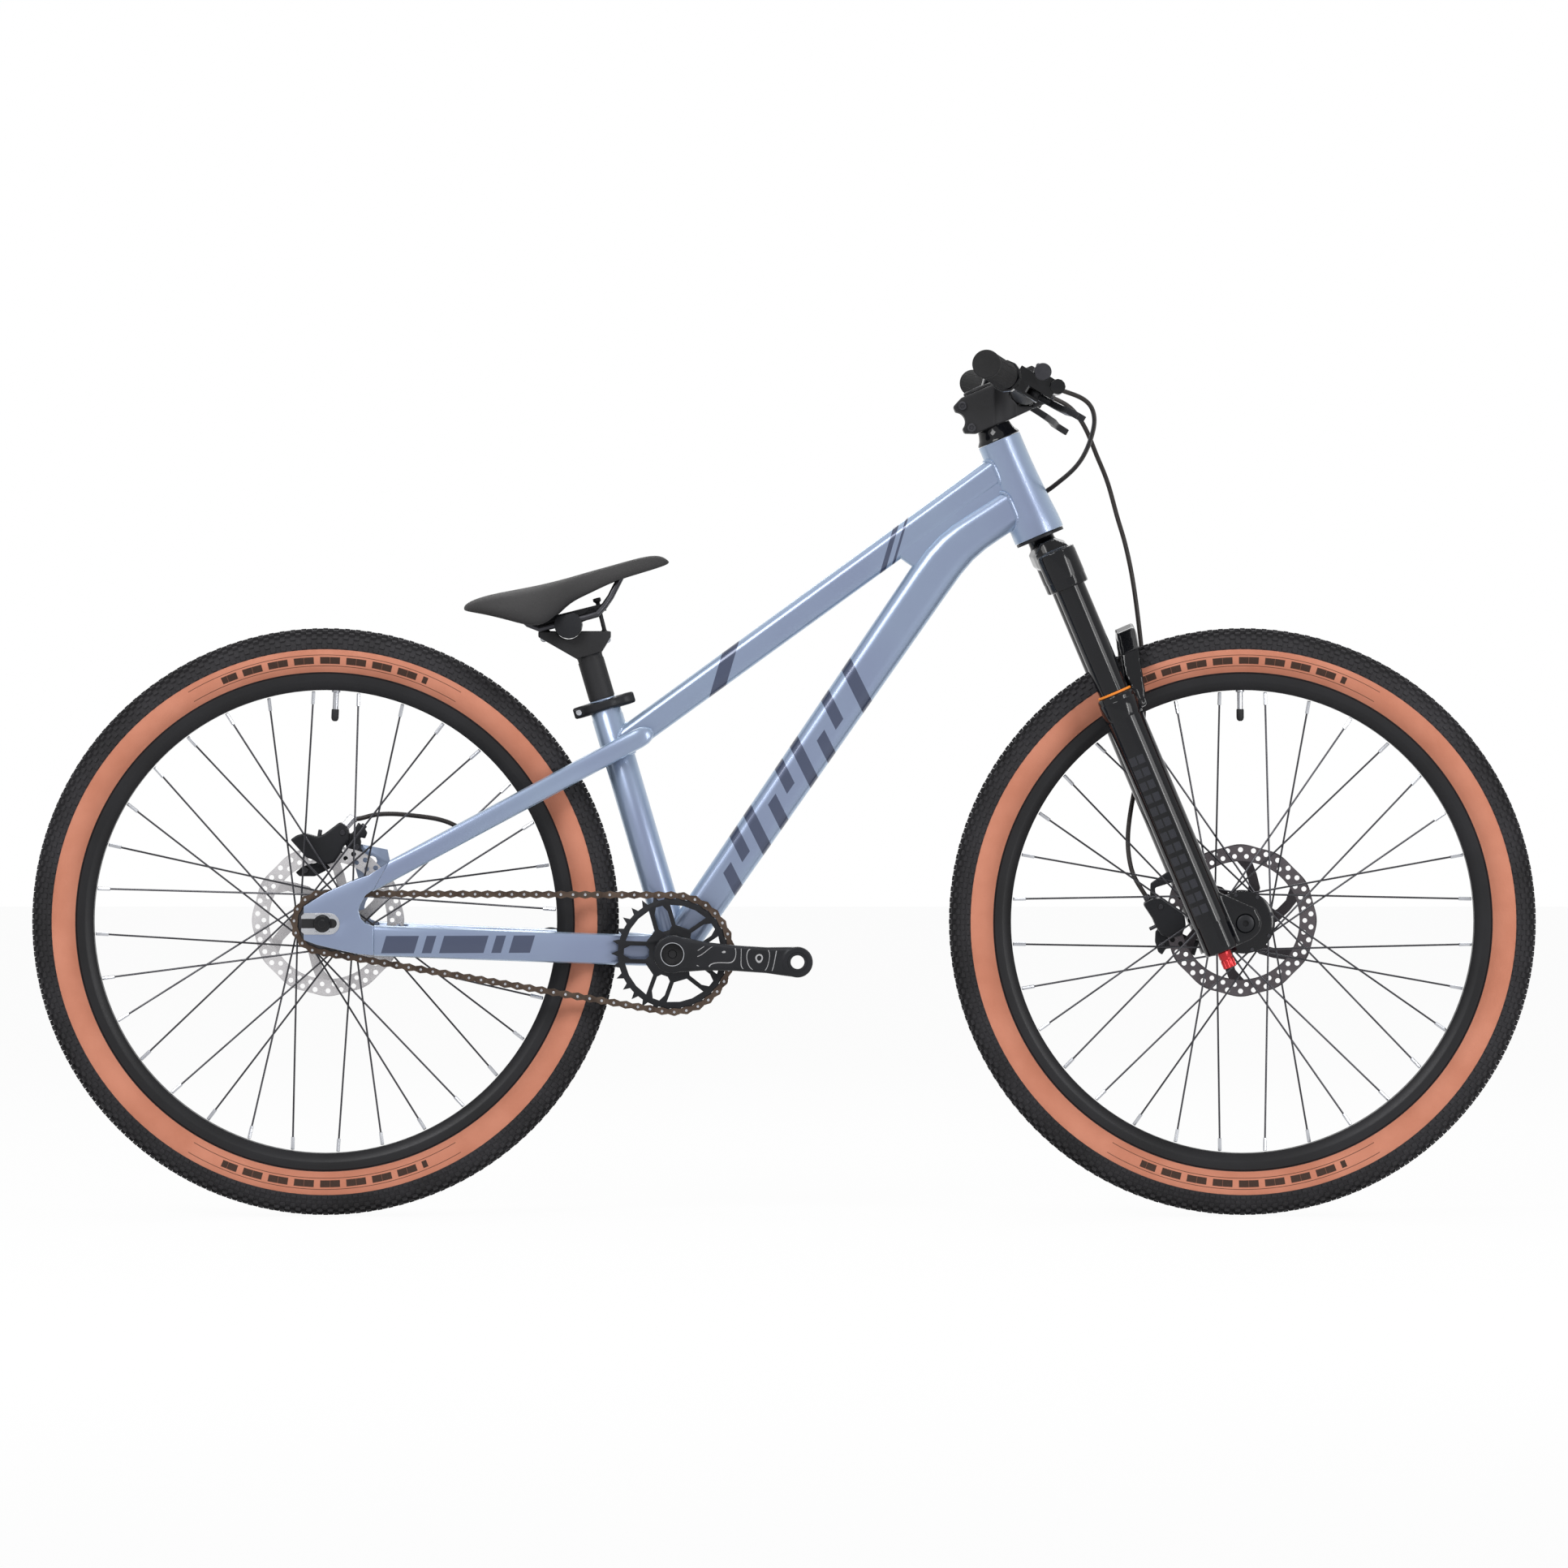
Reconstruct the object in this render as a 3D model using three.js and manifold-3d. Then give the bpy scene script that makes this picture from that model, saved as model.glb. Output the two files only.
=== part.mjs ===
// A dirt jump bicycle: hardtail frame, suspension fork, disc brakes and a single gear.
// Millimetres, +X forward, -Y the drive side, +Z up; the origin is on the ground midway between the axles.
import * as THREE from "three";
import { mergeVertices } from "three/addons/utils/BufferGeometryUtils.js";
import Module from "manifold-3d";

// Clearances shared by all pieces
const touchGap = 0.3;
const runningGap = 1.2;
const cutOverrun = 6;
const weldDistance = 0.0005;

// Layout of the bicycle, angles in degrees
const wheelbase = 957.5;
const rimOuterRadius = 259.5;
const tyreHeight = 47;
const tyreRadius = rimOuterRadius + tyreHeight;
const chainstayLength = 364.4;
const bottomBracketDrop = 32;
const headAngle = 67.1;
const seatAngle = 73.56;
const forkLength = 454.1;
const forkOffset = 38.4;
const headTubeLength = 108;

// Counts of facets
const tyreFacets = 28;
const legFacets = 16;
const postFacets = 12;
const smallFacets = 8;

// Head tube and headset
const headTubeTopRadius = 23;
const headTubeWaistRadius = 22.6;
const headTubeFootRadius = 27;
const headTubeFootLength = 16;
const headTubeTaperLength = 12;
const headTubeBoreRadius = 17.5;
const upperBearingRadius = 20.6;
const upperBearingDepth = 8;
const lowerBearingRadius = 24;
const lowerBearingDepth = 9;
const lowerBearingLipRadius = 26;
const lowerBearingLipHeight = 3.4;
const steererRadius = 14.3;
const headsetCoverHeight = 15.5;
const headsetCoverTopRadius = 17.5;

// Seat tube and its clamp
const seatTubeForward = 4;
const seatTubeLength = 275.5;
const seatTubeRadius = 16.5;
const seatTubeTopRadius = 15.9;
const seatTubeTopLength = 19;
const seatPostRadius = 13.6;
const seatPostClearance = 0.25;
const seatTubeSlotWidth = 2.4;
const seatTubeSlotLength = 24;
const seatClampHeight = 12.7;
const seatClampRadius = 19.6;
const seatClampLugReach = 33;
const seatClampLugWidth = 12;
const seatClampSlitWidth = 2.4;

// Top tube
const topTubeSeatDrop = 52.6;
const topTubeSeatHeight = seatTubeLength - topTubeSeatDrop;
const topTubeHeadDrop = 25.5;
const topTubeRearHeight = 29.3;
const topTubeFrontHeight = 31;
const topTubeRearWidth = 32;
const topTubeFrontWidth = 35;
const tubeWall = 2.2;
const tubeCornerRadius = 9;

// Down tube and the gusset web above it
const downTubeAngle = 55.45;
const downTubeStraight = 480;
const downTubeFootHeight = 38.4;
const downTubeKneeHeight = 46.9;
const downTubeHeadHeight = 44;
const downTubeFootWidth = 42;
const downTubeKneeWidth = 44;
const downTubeHeadWidth = 42;
const downTubeHeadRise = 40.4;
const downTubeBendRise = 5.4;
const downTubeBendShare = 0.57;
const gussetThickness = 24;
const gussetLength = 145;

// Bottom bracket
const shellRadius = 21;
const shellBoreRadius = 17;
const shellLength = 73;
const cupFlangeRadius = 21.8;
const cupReach = 44.6;
const cupSleeveLength = 15;
const cupSleeveRadius = 16.7;
const crankAxleRadius = 12;

// Stays
const stayWall = 1.6;
const stayCornerRadius = 5;
const seatstayHeight = 20.6;
const seatstayWidth = 16;
const seatstayRearSpread = 66;
const seatstaySeatDrop = 55;
const seatstaySeatHeight = seatTubeLength - seatstaySeatDrop;
const seatstayFrontReach = 42;
const chainstayHeight = 32;
const chainstayWidth = 16;
const chainstayRearSpread = 67;
const chainstayFrontSpread = 30;
const chainstayFrontRise = 1.5;
const stayMouthShare = 0.1;
const yokeLength = 22;
const yokeHeight = 28;
const yokeReach = 30;

// Rear dropouts, measured from the rear axle
const rearHubWidth = 135;
const dropoutThickness = 7;
const dropoutFrontReach = 53.15;
const dropoutTopReach = 63;
const dropoutSlotWidth = 12;
const dropoutSlotReach = 10;
const braceWindowRadius = 5.5;
const rearAxleRadius = 5;
const rearAxleNutRadius = 11;
const rearAxleNutHeight = 8;

// Wheels
const tyreWidth = 54;
const tyreBeadDepth = 5.5;
const tyreBeadRadius = rimOuterRadius - tyreBeadDepth;
const tyreTreadWall = 8.5;
const tyreSideWall = 3;
const rimDepth = 17.6;
const rimInnerRadius = rimOuterRadius - rimDepth;
const rimWidth = 30;
const rimInnerWidth = 25.6;
const rimShoulderDepth = 9.5;
const rimShoulderRadius = rimOuterRadius - rimShoulderDepth;
const rimBackWidth = 18;
const rimSeatWidth = 17;
const spokeWidth = 2;
const spokeFacets = 3;
const spokeCount = 32;
const spokeHubRadius = 29.4;
const spokeHubSpread = 2.2;
const spokeRimSpread = 2;
const firstSpokeAngle = 84.375;
const rearWheelTurnAngle = 2.6;
const spokeLaceAngle = 67.5;
const hubFlangeRadius = 32.5;
const hubFlangeThickness = 3;
const hubFacets = 14;

// Front hub, measured sideways from the mid plane
const frontHubWidth = 100;
const frontFlangeRight = 33;
const frontFlangeLeft = 22;
const frontHubShellRadius = 15;
const frontHubEndRadius = 11.5;
const frontHubCollarReach = 38;
const frontAxleRadius = 7.5;
const frontAxleHeadRadius = 9;
const frontAxleHeadHeight = 3;

// Rear hub and cog, measured sideways from the mid plane
const rearFlangeRight = 23;
const rearFlangeLeft = 34;
const rearHubShellRadius = 17;
const rearHubEndRadius = 9;
const rearHubCollarRadius = 20;
const driverStart = 36.5;
const driverEnd = 60;
const driverRadius = 17;

// Brake rotors
const rotorRadius = 80;
const rotorThickness = 1.8;
const rotorBandRadius = 61;
const rotorWave = 1.6;
const rotorWaves = 12;
const rotorWavePoints = 3;
const rotorArmSweep = 14;
const rotorHubRadius = 27;
const rotorBoreRadius = 13;
const rotorArmWidth = 9;
const rotorArms = 6;
const frontRotorPlace = 39.4;
const rearRotorPlace = 52;

// Drivetrain
const chainPitch = 12.7;
const chainringTeeth = 30;
const cogTeeth = 15;
const toothHeight = 3.2;
const toothDepth = 3.7;
const toothFlankShare = 0.25;
const chainPlace = 47;
const chainWidth = 8;
const chainHeight = 8.6;
const chainChannel = 4.4;
const chainringThickness = 3.4;
const cogThickness = 2.2;
const chainringBandRadius = 51;
const chainringHubRadius = 24.5;
const chainringArms = 5;
const chainringArmAngle = 34;
const chainringArmWidth = 4.5;
const chainringWindowFoot = 30;
const chainringSlotWidth = 14;
const windowArcShares = [-1, -0.33, 0.33, 1];

// Cranks
const crankLength = 130;
const crankDroop = 3.5;
const crankBossRadius = 19.8;
const crankEndRadius = 16;
const crankBossInner = 58;
const crankBossOuter = 76;
const crankEndInner = 70;
const crankEndOuter = 84;
const crankCornerRadius = 3;
const crankSpigotRadius = 14.6;
const crankAxleBoreRadius = 9;
const pedalHoleRadius = 7.15;

// Fork, measured along the steering axis from the foot of the head tube
const legSpread = 62;
const legOffset = 6.4;
const stanchionRadius = 16;
const stanchionWall = 2.4;
const stanchionTop = 10.4;
const legRadius = 19.5;
const sealRadius = 20.6;
const sealTop = 183;
const sealHeight = 13;
const legEndDrop = 17.9;
const legEnd = forkLength + legEndDrop;
const legBoreRise = 54.1;
const legBoreEnd = forkLength - legBoreRise;
const forkTravel = 80;
const stanchionFootGap = 20;
const stanchionEnd = legBoreEnd - forkTravel - stanchionFootGap;
const legSlideGap = 0.3;
const crownTop = 4;
const crownFoot = 40;
const crownDepth = 46;
const crownSocketRadius = 20.8;
const crownSocketTop = 10;
const crownSocketFoot = 62.4;
const travelRingHeight = 2.6;
const travelRingWall = 1.6;
const archTop = 127.5;
const archFoot = 206;
const archInset = 8;
const archTopOffset = 44;
const archFootOffset = 23;
const archThickness = 12;
const archDepth = 20;
const forkDropoutRise = 49.1;
const forkDropoutTop = forkLength - forkDropoutRise;
const forkDropoutOuter = 70;
const forkDropoutBossRadius = 17;
const knobRadius = 7.2;
const knobHeight = 18;

// Stem and handlebar
const stemLength = 45;
const stemHeight = 40.3;
const stemSteererWall = 5.4;
const stemBarRise = 37.3;
const stemWidth = 44;
const barCentreRadius = 15.9;
const barEndRadius = 11.1;
const barWall = 2.3;
const barHalfWidth = 350;
const barStraight = 48;
const barTaperEnd = 112;
const barSweep = 48;
const barRise = 17.6;
const gripRadius = 14.5;
const gripCapThickness = 4;
const faceplateThickness = 7;
const stemBarWall = 5;
const stemLugLength = 11;
const stemLugChamfer = 5;

// Brake levers, measured along the handlebar from the mid plane
const leverClampPlace = 203;
const gripGap = 17;
const gripStart = leverClampPlace + gripGap;
const leverClampWidth = 12;
const leverClampRadius = 16.5;
const leverTiltAngle = 31;
const leverPivotPlace = 190;
const leverPivotReach = 35;
const leverPinRadius = 3;
const leverEarThickness = 3;
const leverEarReach = 6;
const leverThickness = 7;
const leverBladeDepth = 9;
const leverTipPlace = 290;
const leverBladeReach = 75;
const reservoirRadius = 8.6;
const reservoirReach = 30;
const reservoirRise = 23;
const pistonRadius = 8;
const pistonReach = 51;
const pistonRise = 18;
const cylinderInner = 152;
const cylinderOuter = 214;

// Brake calipers
const caliperSlotWidth = 3.8;
const caliperSlotRadius = 82;
const caliperWidth = 30;
const frontCaliperLength = 44;
const frontCaliperDepth = 38;
const frontCaliperRise = 33.7;
const frontMountHeight = 8;
const frontCaliperSeatInner = 46;
const rearCaliperLength = 58;
const rearCaliperHeight = 46;
const rearCaliperBack = 8.4;
const rearCaliperRise = 86;
const rearAdapterThickness = 9;

// Seatpost head, clamp and saddle, measured from the cradle centre
const postShown = 84.4;
const cradleAlong = seatTubeLength + postShown;
const cradleBack = 11.9;
const cradleRadius = 14.4;
const cradleHalfWidth = 27;
const postLength = 239.9;
const postFoot = cradleAlong - postLength;
const postWall = 2.4;
const postHeadWidth = 30;
const postHeadRearReach = 31.4;
const postHeadFrontReach = 44.1;
const postHeadDrop = 6.4;
const postNeck = 16;
const boltFootShare = 1.4;
const railAngle = 14;
const railRise = 3.5;
const railRadius = 3.5;
const railSpread = 22;
const railTailReach = 58;
const railNoseReach = 62;
const railStraightRear = 31;
const railStraightFront = 31;
const railHoldShare = 0.92;
const railSteps = 26;
const clampCapWall = 4;
const clampBridgeOverhang = 7;
const clampBoltPlay = 1.1;
const clampBridgeLift = 5;
const clampBridgeHeight = 8;
const clampBridgeWidth = 18;
const clampBoltRadius = 2.5;
const clampBoltRear = 23;
const clampBoltFront = 35;
const clampBoltHeadRadius = 4.5;
const clampBoltHeadHeight = 4;
const clampBoltStandOff = 3.2;
const saddleLength = 214.6;
const saddleWidth = 132;
const saddleRise = 80;
const saddleUnderShare = 0.6;
const saddleHemShare = 0.74;
const saddleHemLiftShare = 0.06;
const saddlePanShare = 0.68;
const saddleRearReach = 109.4;

// Hoses
const hoseRadius = 2.5;
const hoseFacets = 8;

// Finishes
const paint = { color: 0x8796b4, roughness: 0.32, metalness: 0.55 };
const glossBlack = { color: 0x14151a, roughness: 0.28, metalness: 0.2 };
const satinBlack = { color: 0x1d1e22, roughness: 0.5, metalness: 0.3 };
const softBlack = { color: 0x1b1b1d, roughness: 0.9, metalness: 0 };
const steel = { color: 0xb8bbc2, roughness: 0.3, metalness: 0.9 };
const darkSteel = { color: 0x3a3b40, roughness: 0.4, metalness: 0.8 };
const bronze = { color: 0x54443a, roughness: 0.45, metalness: 0.8 };
const tan = { color: 0xc37d5f, roughness: 0.85, metalness: 0 };
const orange = { color: 0xe58a1f, roughness: 0.6, metalness: 0 };
const red = { color: 0xc0202a, roughness: 0.4, metalness: 0.3 };

// Places worked out from the layout
const degree = Math.PI / 180;
const rearAxleX = -wheelbase / 2;
const frontAxleX = wheelbase / 2;
const axleHeight = tyreRadius;
const shellX = rearAxleX + Math.sqrt(chainstayLength ** 2 - bottomBracketDrop ** 2);
const shellZ = axleHeight - bottomBracketDrop;
const steeringUp = new THREE.Vector3(-Math.cos(headAngle * degree), 0, Math.sin(headAngle * degree));
const steeringForward = new THREE.Vector3(Math.sin(headAngle * degree), 0, Math.cos(headAngle * degree));
const frontAxle = new THREE.Vector3(frontAxleX, 0, axleHeight);
const headFoot = frontAxle
  .clone()
  .addScaledVector(steeringUp, forkLength)
  .addScaledVector(steeringForward, -forkOffset);
const seatUp = new THREE.Vector3(-Math.cos(seatAngle * degree), 0, Math.sin(seatAngle * degree));
const seatForward = new THREE.Vector3(Math.sin(seatAngle * degree), 0, Math.cos(seatAngle * degree));
const seatFoot = new THREE.Vector3(shellX + seatTubeForward, 0, shellZ);
const steeringTurn = (headAngle - 90) * degree;
const dropoutInner = rearHubWidth / 2 + touchGap;
const cradle = seatFoot
  .clone()
  .addScaledVector(seatUp, cradleAlong)
  .addScaledVector(seatForward, -cradleBack);
const wasm = await Module();
wasm.setup();

// Points merged where they meet, and the faces that keep three corners
function welded(positions, index) {
  const bare = new THREE.BufferGeometry();
  bare.setAttribute("position", positions);
  bare.setIndex(index);
  const merged = mergeVertices(bare, weldDistance);
  const faces = [];
  for (let i = 0; i < merged.index.count; i += 3) {
    const face = [0, 1, 2].map((k) => merged.index.getX(i + k));
    if (new Set(face).size === face.length) faces.push(face);
  }
  return { points: merged.getAttribute("position"), faces };
}

// A closed geometry as a solid, with its faces turned outwards
function solid(geometry) {
  const { points, faces } = welded(geometry.getAttribute("position"), geometry.getIndex());
  const volume = faces.reduce((sum, face) => {
    const [a, b, c] = face.map((vertex) => new THREE.Vector3().fromBufferAttribute(points, vertex));
    return sum + a.dot(b.cross(c));
  }, 0);
  if (volume < 0) faces.forEach((face) => face.reverse());
  const triVerts = new Uint32Array(faces.flat());
  return new wasm.Manifold(new wasm.Mesh({ numProp: 3, vertProperties: points.array, triVerts }));
}

function join(...bodies) {
  return bodies.reduce((whole, body) => whole.add(body));
}

function cut(body, ...tools) {
  return tools.reduce((rest, tool) => rest.subtract(tool), body);
}

// A named mesh of one sub-part
function piece(name, body, finish) {
  const shape = body.getMesh();
  const { points, faces } = welded(
    new THREE.BufferAttribute(shape.vertProperties, shape.numProp),
    new THREE.BufferAttribute(shape.triVerts, 1),
  );
  const geometry = new THREE.BufferGeometry();
  geometry.setAttribute("position", points);
  geometry.setIndex(faces.flat());
  geometry.computeVertexNormals();
  const mesh = new THREE.Mesh(geometry, new THREE.MeshStandardMaterial({ ...finish, flatShading: true }));
  mesh.name = name;
  return mesh;
}

function at(x, y, z) {
  return new THREE.Vector3(x, y, z);
}

// A round bar between two points, or a cone where the end radius differs
function bar(from, to, radius, facets, endRadius = radius) {
  const geometry = new THREE.CylinderGeometry(endRadius, radius, from.distanceTo(to), facets);
  const direction = to.clone().sub(from).normalize();
  geometry.applyQuaternion(new THREE.Quaternion().setFromUnitVectors(at(0, 1, 0), direction));
  const middle = from.clone().lerp(to, 0.5);
  geometry.translate(middle.x, middle.y, middle.z);
  return solid(geometry);
}

// A bar that runs past both of its points, used to cut
function bore(from, to, radius, facets) {
  const beyond = to.clone().sub(from).setLength(cutOverrun);
  return bar(from.clone().sub(beyond), to.clone().add(beyond), radius, facets);
}

function tube(from, to, outer, inner, facets) {
  return cut(bar(from, to, outer, facets), bore(from, to, inner, facets));
}

// A box between two opposite corners
function block(low, high) {
  const size = high.clone().sub(low);
  const middle = low.clone().lerp(high, 0.5);
  return solid(new THREE.BoxGeometry(size.x, size.y, size.z).translate(middle.x, middle.y, middle.z));
}

// A body turned about the y axis from a closed outline of [radius, y]
function turned(outline, facets) {
  const points = [...outline, outline[0]].map(([radius, y]) => new THREE.Vector2(radius, y));
  return new THREE.LatheGeometry(points, facets);
}

// The same body with its axis along z
function upright(outline, facets) {
  return turned(outline, facets).rotateX(Math.PI / 2);
}

// A flat plate between two y values, from an outline and holes of [x, z]
function plate(outline, nearY, farY, holes = []) {
  const path = (points) => points.map(([x, z]) => new THREE.Vector2(x, z));
  const shape = new THREE.Shape(path(outline));
  shape.holes = holes.map((hole) => new THREE.Path(path(hole)));
  const depth = Math.abs(farY - nearY);
  const geometry = new THREE.ExtrudeGeometry(shape, { depth, bevelEnabled: false });
  return solid(geometry.rotateX(Math.PI / 2).translate(0, Math.max(nearY, farY), 0));
}

// Triangles that close a ring of points
function lid(ring) {
  const middle = ring.reduce((sum, point) => sum.add(point), at(0, 0, 0)).divideScalar(ring.length);
  const across = ring[0].clone().sub(middle).normalize();
  const normal = at(0, 0, 0);
  ring.forEach((point, i) => {
    const next = ring[(i + 1) % ring.length].clone().sub(middle);
    normal.add(point.clone().sub(middle).cross(next));
  });
  const upward = normal.normalize().clone().cross(across);
  const flat = ring.map((point) => {
    const arm = point.clone().sub(middle);
    return new THREE.Vector2(arm.dot(across), arm.dot(upward));
  });
  return THREE.ShapeUtils.triangulateShape(flat, []);
}

// A skin over rings of equally many points, closed at both ends
function loft(rings) {
  const count = rings[0].length;
  const faces = [];
  for (let r = 0; r + 1 < rings.length; r += 1) {
    for (let i = 0; i < count; i += 1) {
      const next = (i + 1) % count;
      const [a, b] = [r * count + i, r * count + next];
      faces.push([a, b, b + count], [a, b + count, a + count]);
    }
  }
  const last = (rings.length - 1) * count;
  lid(rings[0]).forEach(([a, b, c]) => faces.push([c, b, a]));
  lid(rings.at(-1)).forEach(([a, b, c]) => faces.push([a + last, b + last, c + last]));
  const geometry = new THREE.BufferGeometry().setFromPoints(rings.flat());
  geometry.setIndex(faces.flat());
  return solid(geometry);
}

// A round cornered ring across a tube: width along y, height leaning back from upright
function tubeRing({ x, z, y = 0, width, height }, lean, corner) {
  const ring = [];
  for (const [side, top] of [[1, 1], [-1, 1], [-1, -1], [1, -1]]) {
    const turns = side * top > 0 ? [0, 45, 90] : [90, 45, 0];
    for (const turn of turns) {
      const across = side * (width / 2 - corner + corner * Math.cos(turn * degree));
      const along = top * (height / 2 - corner + corner * Math.sin(turn * degree));
      ring.push(at(x - along * Math.sin(lean), y + across, z + along * Math.cos(lean)));
    }
  }
  return ring;
}

// A tube through stations; a station's own lean, in radians, cuts its ring at a slant
function tubeThrough(stations, corner) {
  const slope = (a, b) => Math.atan2(b.z - a.z, b.x - a.x);
  const rings = stations.map((station, i) => {
    const before = stations[Math.max(i - 1, 0)];
    const after = stations[Math.min(i + 1, stations.length - 1)];
    const straight = slope(before, after);
    const lean = station.lean ?? straight;
    const height = station.height / Math.cos(lean - straight);
    return tubeRing({ ...station, height }, lean, corner);
  });
  return loft(rings);
}

// The same stations, drawn in by a wall or out by a gap
function resized(stations, change) {
  return stations.map((station) => ({
    ...station,
    width: station.width + 2 * change,
    height: station.height + 2 * change,
  }));
}

function circle(radius, count, x = 0, z = 0, start = 0) {
  return Array.from({ length: count }, (unused, i) => {
    const turn = start + (2 * Math.PI * i) / count;
    return [x + radius * Math.cos(turn), z + radius * Math.sin(turn)];
  });
}

// A round cord along points chosen by hand
function cord(points, steps) {
  const route = points.map(([x, y, z]) => at(x, y, z));
  const extrudePath = new THREE.CatmullRomCurve3(route, false, "centripetal");
  const section = circle(hoseRadius, hoseFacets).map(([a, b]) => new THREE.Vector2(a, b));
  return solid(new THREE.ExtrudeGeometry(new THREE.Shape(section), { steps, extrudePath }));
}

// Hose routes, points chosen by hand along the real run
const rearHoseFrontSteps = 22;
const rearHoseFront = [
  [281, -151.6, 859],
  [281, -145, 859],
  [294, -136, 855],
  [306, -128, 851],
  [315, -118, 845],
  [320, -105, 837],
  [322, -88, 826],
  [320, -66, 814],
  [316, -40, 800],
  [309, -12, 786],
  [299, 10, 775],
  [289, 26, 767],
  [278, 35, 758],
  [261, 38, 748],
  [246, 31, 739],
  [236, 18, 733],
];
const rearHoseRearSteps = 9;
const rearHoseRear = [
  [-333, 56, 399],
  [-344, 57, 405],
  [-353, 57.8, 409.9],
  [-370, 59, 414],
  [-389, 60, 416],
  [-406, 60, 418],
  [-423, 60, 418],
  [-436, 60, 416],
  [-447, 60, 412],
  [-457.8, 60, 412],
];
const frontHoseSteps = 30;
const frontHose = [
  [281, 151.6, 859],
  [281, 148, 859],
  [295, 143, 853],
  [305, 140, 846],
  [315, 137, 833],
  [323, 132, 817],
  [330, 126, 797],
  [337, 120, 781],
  [344, 114, 762],
  [352, 105, 728],
  [358, 101, 711],
  [366, 95, 676],
  [371, 91, 642],
  [375, 89, 608],
  [378, 88, 580],
  [380, 88, 540],
  [378, 88, 500],
  [373, 87, 460],
  [366, 80, 428],
  [362, 70, 403],
  [361, 61, 385],
  [363, 56, 367],
  [367, 52, 351],
  [376, 49, 338],
  [382.8, 48, 327.2],
];

// Head tube and headset, in the steering frame: z up the axis from the foot of the head tube
function headTubeBody(growth) {
  const waist = headTubeFootLength + headTubeTaperLength;
  return upright(
    [
      [0, -growth],
      [headTubeFootRadius + growth, -growth],
      [headTubeFootRadius + growth, headTubeFootLength],
      [headTubeWaistRadius + growth, waist],
      [headTubeTopRadius + growth, headTubeLength + growth],
      [0, headTubeLength + growth],
    ],
    legFacets,
  );
}

function headTube() {
  const low = at(0, 0, 0);
  const high = at(0, 0, headTubeLength);
  return cut(
    solid(headTubeBody(0)),
    bore(low, high, headTubeBoreRadius, legFacets),
    bore(at(0, 0, -cutOverrun), at(0, 0, lowerBearingDepth - cutOverrun), lowerBearingRadius, legFacets),
    bore(at(0, 0, headTubeLength - upperBearingDepth + cutOverrun), high, upperBearingRadius, legFacets),
  );
}

function upperBearing() {
  const low = at(0, 0, headTubeLength - upperBearingDepth + touchGap);
  const high = at(0, 0, headTubeLength);
  return tube(low, high, upperBearingRadius - touchGap, steererRadius + touchGap, legFacets);
}

function lowerBearing() {
  const inner = steererRadius + touchGap;
  const outline = [
    [inner, -lowerBearingLipHeight - touchGap],
    [lowerBearingLipRadius, -lowerBearingLipHeight - touchGap],
    [lowerBearingLipRadius, -touchGap],
    [lowerBearingRadius - touchGap, -touchGap],
    [lowerBearingRadius - touchGap, lowerBearingDepth - touchGap],
    [inner, lowerBearingDepth - touchGap],
  ];
  return solid(upright(outline, legFacets));
}

function headsetCover() {
  const foot = headTubeLength + touchGap;
  const top = headTubeLength + headsetCoverHeight - touchGap;
  const inner = steererRadius + touchGap;
  const outline = [
    [inner, foot],
    [headTubeTopRadius, foot],
    [headsetCoverTopRadius, top],
    [inner, top],
  ];
  return solid(upright(outline, legFacets));
}

// Seat tube and seat clamp
function alongSeat(length, forward = 0) {
  return seatFoot.clone().addScaledVector(seatUp, length).addScaledVector(seatForward, forward);
}

function shellTool() {
  const place = (y) => at(shellX, y, shellZ);
  return bore(place(-shellLength), place(shellLength), shellRadius + touchGap, legFacets);
}

const seatBoreRadius = seatPostRadius + seatPostClearance;

function seatTube() {
  const neck = seatTubeLength - seatTubeTopLength;
  const outer = join(
    bar(alongSeat(0), alongSeat(neck), seatTubeRadius, postFacets),
    bar(alongSeat(0), alongSeat(seatTubeLength), seatTubeTopRadius, postFacets),
  );
  const slot = new THREE.BoxGeometry(seatTubeRadius, seatTubeSlotWidth, 2 * seatTubeSlotLength);
  slot.translate(-seatTubeRadius, 0, 0).rotateY((seatAngle - 90) * degree);
  const top = alongSeat(seatTubeLength);
  slot.translate(top.x, top.y, top.z);
  return cut(
    outer,
    bore(alongSeat(0), alongSeat(seatTubeLength), seatBoreRadius, postFacets),
    solid(slot),
    shellTool(),
  );
}

function seatTubeTool() {
  return bar(alongSeat(0), alongSeat(seatTubeLength + cutOverrun), seatTubeRadius + touchGap, postFacets);
}

function seatClamp() {
  const foot = seatTubeLength - seatClampHeight - touchGap;
  const [low, high] = [alongSeat(foot), alongSeat(foot + seatClampHeight)];
  const turnedBox = (length, width, height, forward) => {
    const box = new THREE.BoxGeometry(length, width, height);
    box.translate(forward, 0, foot + seatClampHeight / 2).rotateY((seatAngle - 90) * degree);
    return solid(box.translate(seatFoot.x, seatFoot.y, seatFoot.z));
  };
  const ring = join(
    bar(low, high, seatClampRadius, postFacets),
    turnedBox(2 * seatClampLugReach, seatClampLugWidth, seatClampHeight, 0),
  );
  return cut(
    ring,
    bore(low, high, seatTubeTopRadius + touchGap, postFacets),
    turnedBox(2 * seatClampLugReach, seatClampSlitWidth, 2 * seatClampHeight, -seatClampLugReach),
  );
}

// Main tubes
const topTubeRear = alongSeat(topTubeSeatHeight);
const topTubeFront = headFoot.clone().addScaledVector(steeringUp, headTubeLength - topTubeHeadDrop);
const topTubeStations = [
  { x: topTubeRear.x, z: topTubeRear.z, width: topTubeRearWidth, height: topTubeRearHeight },
  { x: topTubeFront.x, z: topTubeFront.z, width: topTubeFrontWidth, height: topTubeFrontHeight },
];

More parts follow.
